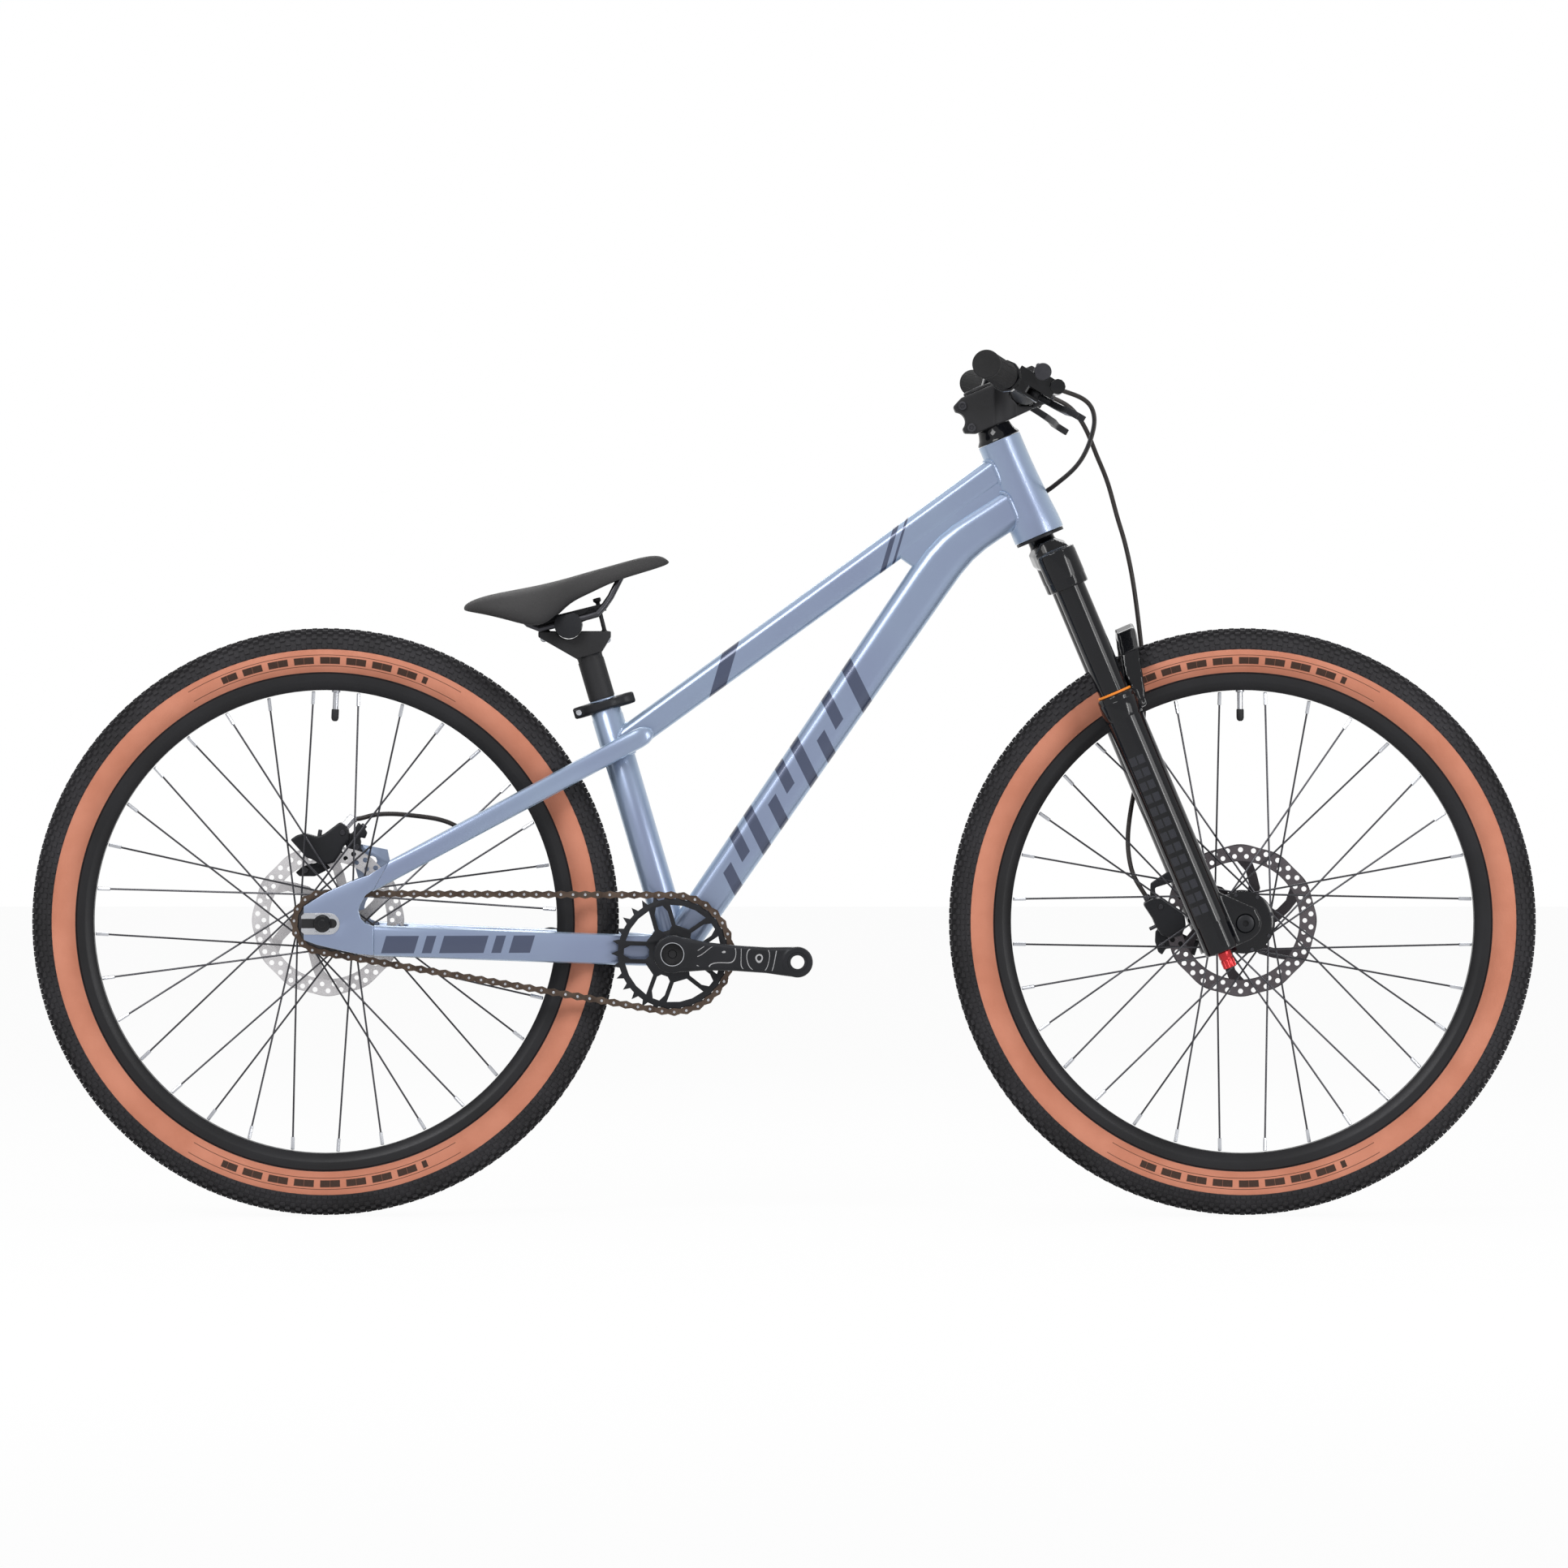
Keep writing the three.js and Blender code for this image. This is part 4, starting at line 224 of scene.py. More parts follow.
def plate(name, outline, near, far):
    points = [mm(x, near, z) for x, z in outline]
    piece = point_chain(name, points + points[:1])
    bpy.ops.mesh.select_all(action="SELECT")
    bpy.ops.mesh.remove_doubles(threshold=0.002 * MM)
    bpy.ops.mesh.edge_face_add()
    bpy.ops.mesh.extrude_region_move(TRANSFORM_OT_translate={"value": (0, (far - near) * MM, 0)})
    bpy.ops.object.mode_set(mode="OBJECT")
    merge_and_turn_out(piece)
    return piece


def tube_along(name, start, along, stations, corner, corner_steps=6):
    """Stations are (distance, lift, sideways, width, height), in millimetres, on rings square to the run."""
    alone()
    first = stations[0]
    bpy.ops.mesh.primitive_plane_add(size=1)
    piece = bpy.context.object
    piece.name = name
    bpy.ops.object.mode_set(mode="EDIT")
    bpy.ops.transform.resize(value=(first[3] * MM, first[4] * MM, 1))
    bpy.ops.mesh.bevel(offset=corner * MM, segments=corner_steps, affect="VERTICES")
    bpy.ops.transform.translate(value=mm(first[2], first[1], first[0]))
    for before, after in zip(stations, stations[1:]):
        step = mm(after[2] - before[2], after[1] - before[1], after[0] - before[0])
        bpy.ops.mesh.extrude_region_move(TRANSFORM_OT_translate={"value": step})
        middle = mm(after[2], after[1], after[0])
        size = (after[3] / before[3], after[4] / before[4], 1)
        bpy.ops.transform.resize(value=size, center_override=middle)
    bpy.ops.object.mode_set(mode="OBJECT")
    along = along.normalized()
    across = (SIDEWAYS - along * along.dot(SIDEWAYS)).normalized()
    turn = Matrix((across, along.cross(across), along)).transposed().to_4x4()
    piece.matrix_world = Matrix.Translation(start) @ turn
    bpy.ops.object.transform_apply(location=True, rotation=True, scale=True)
    merge_and_turn_out(piece)
    return piece


def link_new(name, data):
    piece = bpy.data.objects.new(name, data)
    bpy.context.scene.collection.objects.link(piece)
    return piece


def cad_copy(node, name):
    piece = link_new(name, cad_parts[node].data.copy())
    alone(piece)
    bpy.ops.object.mode_set(mode="EDIT")
    bpy.ops.mesh.select_all(action="SELECT")
    bpy.ops.mesh.remove_doubles(threshold=0.002 * MM)
    bpy.ops.mesh.dissolve_limited(angle_limit=1 * DEGREE)
    bpy.ops.object.mode_set(mode="OBJECT")
    return piece


def flow(piece, voxel, rounds):
    """Fills inner corners and rounds outer ones, as metal flows in a mould or a die."""
    apply_modifier(piece, "REMESH", mode="VOXEL", voxel_size=voxel * MM)
    apply_modifier(piece, "SMOOTH", factor=0.5, iterations=rounds)
    return piece


def cast_copy(node, name, voxel, rounds):
    return flow(cad_copy(node, name), voxel, rounds)


def cast(parts, name, voxel=0.9, rounds=7):
    return flow(joined(name, parts), voxel, rounds)


def cut(piece, cutter):
    apply_modifier(piece, "BOOLEAN", object=cutter, operation="DIFFERENCE", solver="EXACT")
    bpy.data.objects.remove(cutter)
    return piece


def drill(piece, start, end, radius, steps):
    return cut(piece, peg("cutter", start, end, radius, steps))


def bolt_head(name, place, axis, radius, height):
    socket, floor_height = radius * 0.5, height * 0.35
    return turned(name, [
        (0, 0), (radius - 0.5, 0), (radius, 0.5), (radius, height - 0.6), (radius - 0.6, height),
        (radius * 0.56, height), (socket, floor_height), (0, floor_height),
    ], place, axis, 24, False)


def drawn_curve(
    name, places, radius, swells=None, kind="NURBS", order=3, bevel_steps=4, run_steps=6, closed=False,
):
    """A round bar through the places, whose radius swells by a factor at each of them."""
    data = bpy.data.curves.new(name, "CURVE")
    data.dimensions = "3D"
    data.bevel_depth = radius * MM
    data.bevel_resolution = bevel_steps
    data.resolution_u = run_steps
    data.use_fill_caps = not closed
    spline = data.splines.new(kind)
    spline.points.add(len(places) - 1)
    for point, place, swell in zip(spline.points, places, swells or [1.0] * len(places)):
        point.co = (*place, 1)
        point.radius = swell
    spline.use_cyclic_u = closed
    spline.use_endpoint_u = not closed
    spline.order_u = order
    curve = link_new(name, data)
    alone(curve)
    bpy.ops.object.convert(target="MESH")
    return bpy.context.object


print("helpers ready")

# %% [markdown]
# Materials are built from nodes before any piece is made, so each piece can take its finish at once. Two
# node groups are shared: one gives grain at a scale, and one gives the distance and angle from an axle for
# everything that was turned or rolled. Both read the object's own coordinates, which are the same for every
# piece, so a pattern runs on across joints.

# %% Colours and node groups
def paint_colour(red, green, blue):
    def straight(value):
        share = value / 255
        return share / 12.92 if share < 0.04 else ((share + 0.055) / 1.055) ** 2.4
    return (straight(red), straight(green), straight(blue), 1.0)


def new_group(name, inputs, outputs):
    group = bpy.data.node_groups.new(name, "ShaderNodeTree")
    for label, kind, default in inputs:
        socket = group.interface.new_socket(label, in_out="INPUT", socket_type=kind)
        if default is not None:
            socket.default_value = default
    for label, kind in outputs:
        group.interface.new_socket(label, in_out="OUTPUT", socket_type=kind)
    start = group.nodes.new("NodeGroupInput")
    end = group.nodes.new("NodeGroupOutput")
    return group, start, end


def add_node(tree, kind, settings=None, **inputs):
    node = tree.nodes.new(kind)
    for name, value in (settings or {}).items():
        setattr(node, name, value)
    for name, value in inputs.items():
        key = int(name[1:]) if name[0] == "i" and name[1:].isdigit() else name.replace("_", " ")
        if isinstance(value, bpy.types.NodeSocket):
            tree.links.new(value, node.inputs[key])
        else:
            node.inputs[key].default_value = value
    return node


def calculate(tree, operation, first, second=0.0, third=None):
    inputs = {"i0": first, "i1": second}
    if third is not None:
        inputs["i2"] = third
    return add_node(tree, "ShaderNodeMath", {"operation": operation}, **inputs).outputs[0]


def make_grain_group():
    group, start, end = new_group(
        "surface_grain",
        [
            ("Vector", "NodeSocketVector", None), ("Scale", "NodeSocketFloat", 500.0),
            ("Low", "NodeSocketFloat", 0.3), ("High", "NodeSocketFloat", 0.5),
        ],
        [("Mask", "NodeSocketFloat"), ("Value", "NodeSocketFloat")],
    )
    noise = add_node(
        group, "ShaderNodeTexNoise", Vector=start.outputs["Vector"], Scale=start.outputs["Scale"], Detail=4.0,
    )
    mask = add_node(group, "ShaderNodeMapRange", Value=noise.outputs["Fac"], From_Min=0.32, From_Max=0.68)
    span = calculate(group, "SUBTRACT", start.outputs["High"], start.outputs["Low"])
    value = calculate(group, "MULTIPLY_ADD", mask.outputs[0], span, start.outputs["Low"])
    group.links.new(mask.outputs[0], end.inputs["Mask"])
    group.links.new(value, end.inputs["Value"])
    return group


def make_axle_group():
    group, start, end = new_group(
        "around_axle",
        [("Vector", "NodeSocketVector", None), ("Centre", "NodeSocketVector", None)],
        [("Radius", "NodeSocketFloat"), ("Turn", "NodeSocketFloat"), ("Side", "NodeSocketFloat")],
    )
    offset = add_node(
        group, "ShaderNodeVectorMath", {"operation": "SUBTRACT"},
        i0=start.outputs["Vector"], i1=start.outputs["Centre"],
    )
    parts = add_node(group, "ShaderNodeSeparateXYZ", Vector=offset.outputs[0])
    squares = [calculate(group, "POWER", parts.outputs[axis], 2.0) for axis in ("X", "Z")]
    radius = calculate(group, "SQRT", calculate(group, "ADD", *squares))
    turn = calculate(group, "ARCTAN2", parts.outputs["Z"], parts.outputs["X"])
    group.links.new(radius, end.inputs["Radius"])
    group.links.new(turn, end.inputs["Turn"])
    group.links.new(parts.outputs["Y"], end.inputs["Side"])
    return group


GRAIN = make_grain_group()
AROUND = make_axle_group()
print("node groups", [group.name for group in bpy.data.node_groups])

# %% [markdown]
# One function writes the common finish: a colour that drifts a little to a second one, a fine grain that
# stirs the roughness, and a low bump from the same grain. What makes a surface read as paint, anodised
# metal, rubber or moulded plastic is mostly how these three scales differ.

# %% The common finish
COAT_ROUGHNESS = 0.13


def mixed_colour(tree, mask, below, over):
    mix = add_node(tree, "ShaderNodeMix", {"data_type": "RGBA"}, i0=mask, i6=below, i7=over)
    return mix.outputs[2]


def finish(name, colour, second, rough, metal, coat, grain, bump, drift, depth=0.0002, shine=0.5):
    material = bpy.data.materials.new(name)
    material.use_nodes = True
    tree = material.node_tree
    shader = tree.nodes["Principled BSDF"]
    place = add_node(tree, "ShaderNodeTexCoord").outputs["Object"]
    low, high = rough
    fine = add_node(
        tree, "ShaderNodeGroup", {"node_tree": GRAIN}, Vector=place, Scale=grain, Low=low, High=high,
    )
    broad = add_node(tree, "ShaderNodeGroup", {"node_tree": GRAIN}, Vector=place, Scale=drift)
    mix = mixed_colour(tree, broad.outputs["Mask"], paint_colour(*colour), paint_colour(*second))
    relief = add_node(tree, "ShaderNodeBump", Height=fine.outputs["Mask"], Strength=bump, Distance=depth)
    tree.links.new(mix, shader.inputs["Base Color"])
    tree.links.new(fine.outputs["Value"], shader.inputs["Roughness"])
    tree.links.new(relief.outputs["Normal"], shader.inputs["Normal"])
    shader.inputs["Metallic"].default_value = metal
    shader.inputs["Coat Weight"].default_value = coat
    shader.inputs["Coat Roughness"].default_value = COAT_ROUGHNESS
    shader.inputs["Specular IOR Level"].default_value = shine
    return material


def base_mix(material, mask, colour):
    """Lays a second colour over the base where the mask is 1."""
    tree = material.node_tree
    base = tree.nodes["Principled BSDF"].inputs["Base Color"]
    over = colour if isinstance(colour, bpy.types.NodeSocket) else paint_colour(*colour)
    tree.links.new(mixed_colour(tree, mask, base.links[0].from_socket, over), base)
    return material


def painted_sheen(material, colour, blend=0.35):
    """Painted highlight in the lacquer: the colour lightens where the surface turns away from the eye, as a
    sheen from the lamps would.
    """
    edge = add_node(material.node_tree, "ShaderNodeLayerWeight", Blend=blend).outputs["Facing"]
    return base_mix(material, edge, colour)


def own_copy(finish_name, name):
    """A finish that one piece has to itself, so that a pattern can be added to it."""
    material = FINISHES[finish_name].copy()
    material.name = name
    return material


def within(tree, value, low, high, blur=0.0002):
    rising = add_node(tree, "ShaderNodeMapRange", Value=value, From_Min=low - blur, From_Max=low + blur)
    falling = add_node(tree, "ShaderNodeMapRange", Value=value, From_Min=high + blur, From_Max=high - blur)
    return calculate(tree, "MULTIPLY", rising.outputs[0], falling.outputs[0])


def along_direction(tree, place, origin, direction):
    offset = add_node(tree, "ShaderNodeVectorMath", {"operation": "SUBTRACT"}, i0=place, i1=tuple(origin))
    reach = add_node(
        tree, "ShaderNodeVectorMath", {"operation": "DOT_PRODUCT"}, i0=offset.outputs[0], i1=tuple(direction),
    )
    return reach.outputs["Value"]


def first_node(tree, kind):
    return next(node for node in tree.nodes if node.type == kind)


def object_place(tree):
    return first_node(tree, "TEX_COORD").outputs["Object"]


def around_axle(tree, axle):
    return add_node(
        tree, "ShaderNodeGroup", {"node_tree": AROUND}, Vector=object_place(tree), Centre=tuple(axle),
    ).outputs


def rings_noise(tree, radius, scale, **settings):
    """Noise that changes only with the distance from the axle, as tool marks do."""
    return add_node(
        tree, "ShaderNodeTexNoise", {"noise_dimensions": "1D"}, W=calculate(tree, "MULTIPLY", radius, scale),
        Scale=1.0, **settings,
    ).outputs["Fac"]


def add_bars(material, origin, along, lift, bars, colour, slant=0.55):
    """Slanted bars along a tube: each is (start, end, low, high) in millimetres."""
    tree = material.node_tree
    place = object_place(tree)
    distance = along_direction(tree, place, origin, along)
    height = along_direction(tree, place, origin, lift)
    leaned = calculate(tree, "SUBTRACT", distance, calculate(tree, "MULTIPLY", height, slant))
    total = None
    for start, end, low, high in bars:
        run = within(tree, leaned, start * MM, end * MM)
        one = calculate(tree, "MULTIPLY", run, within(tree, height, low * MM, high * MM))
        total = one if total is None else calculate(tree, "MAXIMUM", total, one)
    return base_mix(material, total, colour)


PAINT_BLUE = (129, 144, 168)
PAINT_DEEP = (119, 130, 159)
# The pale blue laid on where the tubes turn away from the eye is a painted highlight, a stand-in for the lamps'
# sheen.
PAINT_SHEEN = (186, 212, 236)
SLATE = (60, 69, 94)
FINISHES = {
    "paint": painted_sheen(finish(
        "frame_paint", PAINT_BLUE, PAINT_DEEP, (0.28, 0.34), 0.45, 0.6, 2600, 0.006, 5,
    ), PAINT_SHEEN),
    "fork": finish(
        "fork_gloss", (10, 11, 14), (16, 17, 21), (0.06, 0.12), 0.0, 0.1, 500, 0.006, 12, shine=0.24,
    ),
    "alloy": finish(
        "satin_alloy", (24, 25, 28), (33, 34, 38), (0.34, 0.48), 0.3, 0.0, 1500, 0.06, 25, shine=0.3,
    ),
    "matte": finish(
        "matte_black", (22, 22, 24), (30, 30, 33), (0.5, 0.66), 0.1, 0.0, 1300, 0.1, 30, shine=0.35,
    ),
    "steel": finish("bright_steel", (170, 172, 178), (196, 198, 203), (0.2, 0.34), 1.0, 0.0, 1200, 0.05, 40),
    "dark_steel": finish("dark_steel", (54, 54, 58), (72, 72, 76), (0.3, 0.45), 0.9, 0.0, 1200, 0.08, 30),
    "plates": finish("chain_steel", (92, 78, 68), (66, 54, 47), (0.3, 0.45), 0.75, 0.0, 900, 0.08, 60),
    "rubber": finish(
        "black_rubber", (34, 33, 35), (46, 45, 48), (0.72, 0.88), 0.0, 0.0, 1100, 0.3, 18, shine=0.3,
    ),
    "grip": finish("grip_rubber", (20, 20, 21), (28, 28, 29), (0.7, 0.85), 0.0, 0.0, 1600, 0.3, 40, shine=0.3),
    "hose": finish("hose_skin", (28, 24, 23), (38, 33, 31), (0.38, 0.5), 0.0, 0.0, 1500, 0.12, 30, shine=0.35),
    "knob": finish("red_knob", (196, 26, 34), (170, 20, 28), (0.25, 0.38), 0.6, 0.3, 900, 0.05, 30),
    "ring": finish("orange_ring", (236, 140, 34), (214, 118, 24), (0.5, 0.65), 0.0, 0.0, 900, 0.1, 40),
    "skin": finish("saddle_skin", (30, 29, 30), (40, 39, 40), (0.6, 0.76), 0.0, 0.0, 1400, 0.45, 14, 0.0003),
    "rim": finish("rim_black", (22, 22, 24), (30, 30, 33), (0.36, 0.5), 0.2, 0.0, 1300, 0.06, 14, shine=0.3),
}
print(len(FINISHES), "finishes")

# %% [markdown]
# The frame's tubes come first, because everything else hangs on them. Welded tubes on such a frame are drawn
# alloy: the long ones have flat sides with rounded edges, and each end is mitred to the tube that it meets.
# So a plate with rounded corners is extruded along the tube's line, and the end is cut with a round cutter
# of the other tube's size.

# %% Long tubes
HEAD_CUT, SHELL_CUT, SEAT_CUT = 22.2, 20.6, 16.1
TOP_REAR, TOP_MIDDLE, TOP_FRONT = (32, 29.3), (33.5, 30.2), (35, 31)
DOWN_FOOT, DOWN_HEAD = (42, 38.4), (42, 43)
TUBE_STEPS = 64


def head_cutter():
    return peg("cutter", HEAD_FOOT - STEER_UP * 0.03, HEAD_FOOT + STEER_UP * 0.14, HEAD_CUT, TUBE_STEPS)


def shell_cutter():
    half_length = SIDEWAYS * 0.05
    return peg("cutter", BOTTOM_BRACKET - half_length, BOTTOM_BRACKET + half_length, SHELL_CUT, TUBE_STEPS)


def seat_cutter():
    return peg("cutter", SEAT_FOOT, SEAT_FOOT + SEAT_UP * 0.3, SEAT_CUT, TUBE_STEPS)


head = turned("head_tube_painted", [
    (24, 0), (26.6, 0), (27, 0.5), (27, 8), (26.8, 14), (26.2, 22), (25.4, 32), (24.5, 46), (23.8, 60),
    (23.2, 76), (23, 90), (23, 107.5), (22.6, 108), (20.7, 108), (20.7, 100), (17.6, 99), (17.6, 9), (24, 9),
], HEAD_FOOT, STEER_UP, 72)

top_start = mm(-174.9, 0, 488.3)
top_end = mm(234.6, 0, 785.9)
top_along = (top_end - top_start).normalized()
top_length = (top_end - top_start).length / MM
top_lift = top_along.cross(SIDEWAYS)
top = tube_along("top_tube_painted", top_start, top_along, [
    (0, 0, 0, *TOP_REAR), (top_length * 0.5, 0, 0, *TOP_MIDDLE), (top_length + 14, 0, 0, *TOP_FRONT),
], 9, 8)
cut(top, seat_cutter())
cut(top, head_cutter())

down_start = mm(-115.76, 0, 274.5)
down_along = Vector((0.5672, 0, 0.8236))
down_lift = down_along.cross(SIDEWAYS)
down = tube_along("down_tube_painted", down_start, down_along, [
    (0, 0, 0, *DOWN_FOOT), (240, 0, 0, 43, 42.6), (470, 0, 0, 44, 46.7), (495, -0.6, 0, 44, 46.4),
    (515, -3, 0, 43.8, 45.6), (532, -7.6, 0, 43.6, 45), (549, -14.2, 0, 43.2, 44.6), (572, -23.6, 0, 42.6, 44),
    (594, -32.6, 0, *DOWN_HEAD),
], 12, 8)
cut(down, shell_cutter())
cut(down, head_cutter())

web = plate("gusset_painted", [
    (256, 741), (240, 790), (117.3, 701.5), (110, 694), (152, 664), (205, 712),
], -16, 16)
soften(web, 6, 4)
cut(web, head_cutter())

seat_tube = turned("seat_tube_painted", [
    (13.9, 4), (16.5, 4), (16.5, 256.2), (15.9, 257), (15.9, 275), (15.5, 275.5), (13.9, 275.5),
], SEAT_FOOT, SEAT_UP, 64)
cut(seat_tube, shell_cutter())
shell = turned("shell_painted", [
    (17, -36.5), (20.4, -36.5), (21, -35.9), (21, 35.9), (20.4, 36.5), (17, 36.5),
], BOTTOM_BRACKET, SIDEWAYS, 64)
print("top tube length", round(top_length, 1))

# %% [markdown]
# Welds join the tubes. Each bead follows the line where one tube meets the other, and it looks like a row of
# overlapping coins. The line is worked out where the tube's section, pushed along the tube, reaches the round
# tube, and the bead is a curve along it whose thickness swells and shrinks.

# %% Weld beads
WELD_STEPS = 96
WELD_RADIUS = 2.0
WELD_WAIST = 0.82
HEAD_WELD, HEAD_FOOT_WELD, SHELL_WELD, SEAT_WELD = 23.4, 25.2, 21.2, 16.8
SEAT_WELD_HEIGHT, SEAT_WELD_DIP, SEAT_WELD_STEPS = 22, 4.5, 60


def rounded(share):
    return math.copysign(abs(share) ** 0.5, share)


def weld_line(start, along, width, height, hub, hub_axis, radius, near):
    lift = along.cross(SIDEWAYS)
    run = along - hub_axis * along.dot(hub_axis)
    points = []
    for step in range(WELD_STEPS):
        turn = 2 * math.pi * step / WELD_STEPS
        out, up = rounded(math.cos(turn)), rounded(math.sin(turn))
        offset = (SIDEWAYS * out * width / 2 + lift * up * height / 2) * MM
        base = start + offset - hub
        flat = base - hub_axis * base.dot(hub_axis)
        a, b, c = run.dot(run), 2 * flat.dot(run), flat.dot(flat) - (radius * MM) ** 2
        root = math.sqrt(max(b * b - 4 * a * c, 0))
        shift = (-b + root if near else -b - root) / (2 * a)
        points.append(start + offset + along * shift)
    return points


def weld_bead(name, points):
    swells = [1.0 if index % 2 else WELD_WAIST for index in range(len(points))]
    return drawn_curve(name, points, WELD_RADIUS, swells, bevel_steps=2, run_steps=3, closed=True)


beads = [
    weld_bead("weld_top_head", weld_line(
        top_start, top_along, *TOP_FRONT, HEAD_FOOT, STEER_UP, HEAD_WELD, False,
    )),
    weld_bead("weld_top_seat", weld_line(top_start, top_along, *TOP_REAR, SEAT_FOOT, SEAT_UP, SEAT_WELD, True)),
    weld_bead("weld_down_shell", weld_line(
        down_start, down_along, *DOWN_FOOT, BOTTOM_BRACKET, SIDEWAYS, SHELL_WELD, True,
    )),
]
ring = []
for step in range(SEAT_WELD_STEPS):
    turn = 2 * math.pi * step / SEAT_WELD_STEPS
    up = SEAT_WELD_HEIGHT + SEAT_WELD_DIP * math.cos(2 * turn)
    ring.append(seat_point(up, SEAT_WELD * math.cos(turn), SEAT_WELD * math.sin(turn)))
beads.append(weld_bead("weld_seat_shell", ring))
down_end = down_start + (down_along * 549 - down_lift * 14.2) * MM
end_along = (down_along * 63 - down_lift * 26).normalized()
beads.append(weld_bead("weld_down_head", weld_line(
    down_end, end_along, *DOWN_HEAD, HEAD_FOOT, STEER_UP, HEAD_FOOT_WELD, False,
)))
welds = joined("weld_beads", beads)
print("weld beads", len(welds.data.polygons), "faces")

# %% [markdown]
# Paint goes on with the graphics already in it. The photograph shows darker slate panels on the down tube
# and the top tube, and here they are plain slanted bars in a layout of their own.

# %% Paint the frame
down_paint = add_bars(own_copy("paint", "down_tube_paint"), down_start, down_along, down_lift, [
    (96, 110, -30, 4), (122, 136, -6, 30), (148, 162, -30, 30), (180, 194, -30, 6), (206, 220, -4, 30),
    (234, 248, -30, 30), (266, 280, -30, 2), (292, 306, -8, 30), (330, 346, -30, 30),
], SLATE)
top_paint = add_bars(own_copy("paint", "top_tube_paint"), top_start, top_along, top_lift, [
    (128, 150, -20, 20), (348, 356, -20, 20), (364, 368, -20, 20),
], SLATE, 1.3)
settle(head, "frame", "paint", ["head_tube"])
settle(top, "frame", top_paint, ["top_tube"])
settle(joined("down_tube_painted", [down, web]), "frame", down_paint, ["down_tube"], 30)
settle(seat_tube, "frame", "paint", ["seat_tube"])
settle(shell, "frame", "paint", ["bottom_bracket_shell"])
settle(welds, "frame", "paint")

# %% [markdown]
# The stays and dropouts are small forgings and bent tubes with many faces. Their solids from the frame are
# already exact, so a merged copy of each gets rounded edges, which is what catches the light on real ones.
# The seatstays are drawn in at their front tips first, because a swaged tube closes towards its weld. The
# bearing cups are turned and notched for their tool, and the seat clamp is one ring of stations, then bored
# and slit.

# %% Stays, dropouts, cups and seat clamp
CUP_NOTCHES = 16
NOTCH_PLACE, NOTCH_DEPTH, NOTCH_RADIUS = 22.6, 38.2, 1.9
CLAMP_HEIGHT = 268.85
CLAMP_BORE = 16.2


def dress(node, body, finish_name, soft, smooth=32, segments=2):
    piece = cad_copy(node, node + "_finished")
    soften(piece, soft, segments, 24)
    return settle(piece, body, finish_name, [node], smooth)


def draw_in(stay, length=16):
    """Rounds the front tip: rings are cut near the end and each is drawn in."""
    large = [face for face in stay.data.polygons if face.area > 1e-4]
    tip = max(large, key=lambda face: face.center.x + face.center.z)
    centre, along = tip.center.copy(), tip.normal.copy()
    alone(stay)
    bpy.ops.object.mode_set(mode="EDIT")
    for depth in (length, length * 0.62, length * 0.34, length * 0.14, length * 0.04):
        bpy.ops.mesh.select_all(action="SELECT")
        bpy.ops.mesh.bisect(plane_co=centre - along * depth * MM, plane_no=along)
    bpy.ops.object.mode_set(mode="OBJECT")
    for corner in stay.data.vertices:
        depth = (centre - corner.co).dot(along) / MM
        if depth < length:
            middle = centre - along * depth * MM
            size = math.sqrt(max(1 - (1 - depth / length) ** 2, 0.09))
            corner.co = middle + (corner.co - middle) * size


stay_paint = add_bars(own_copy("paint", "chainstay_paint"), REAR_AXLE, Vector((1, 0, 0)), Vector((0, 0, 1)), [
    (70, 104, -31, -13), (112, 122, -31, -13), (130, 176, -31, -13), (184, 194, -31, -13), (202, 224, -31, -13),
], SLATE, 0.3)
for side, label in SIDES:
    dress(f"chainstay_{label}", "frame", "paint", 2.4, 32, 3).data.materials[0] = stay_paint
    stay = cad_copy(f"seatstay_{label}", f"seatstay_{label}_drawn")
    draw_in(stay)
    soften(stay, 2.2, 3, 30)
    settle(stay, "frame", "paint", [f"seatstay_{label}"], 32)
    dress(f"dropout_{label}", "frame", "paint", 0.7)
    cup = turned(f"cup_{label}_finished", [
        (12.4, 29), (16.4, 29), (16.4, 36.7), (21.4, 36.8), (21.8, 37.4), (21.8, 42.6), (20.6, 44.4),
        (14, 44.5), (12.4, 43.6),
    ], BOTTOM_BRACKET, SIDEWAYS * side, 64)
    for notch in range(CUP_NOTCHES):
        turn = 2 * math.pi * notch / CUP_NOTCHES
        spoke = Vector((math.cos(turn), 0, math.sin(turn))) * NOTCH_PLACE * MM
        inner = BOTTOM_BRACKET + spoke + SIDEWAYS * side * NOTCH_DEPTH * MM
        drill(cup, inner, inner + SIDEWAYS * side * 10 * MM, NOTCH_RADIUS, 10)
    settle(cup, "frame", "alloy", [f"bottom_bracket_cup_{label}"])
collar = tube_along("seat_clamp_machined", seat_point(CLAMP_HEIGHT, -32.8), SEAT_FORWARD, [
    (0, 0, 0, 8, 9), (1.4, 0, 0, 10.6, 11.6), (7, 0, 0, 12, 12.4), (12, 0, 0, 18, 12.4), (19, 0, 0, 33, 12.4),
    (26, 0, 0, 38, 12.4), (32.8, 0, 0, 39, 12.4), (39.6, 0, 0, 38, 12.4), (46.6, 0, 0, 33, 12.4),
    (53.6, 0, 0, 18, 12.4), (58.6, 0, 0, 12, 12.4), (64.2, 0, 0, 10.6, 11.6), (65.6, 0, 0, 8, 9),
], 2.6, 4)
drill(collar, seat_point(250), seat_point(290), CLAMP_BORE, 64)
cut(collar, tube_along(
    "cutter", seat_point(CLAMP_HEIGHT, -40), SEAT_FORWARD, [(0, 0, 0, 2, 20), (26, 0, 0, 2, 20)], 0.4, 1,
))
settle(collar, "frame", "alloy", ["seat_clamp"], 30)
collar_bolt = bolt_head("seat_clamp_bolt", seat_point(CLAMP_HEIGHT, -27.4, -5.8), -SIDEWAYS, 3.3, 2)
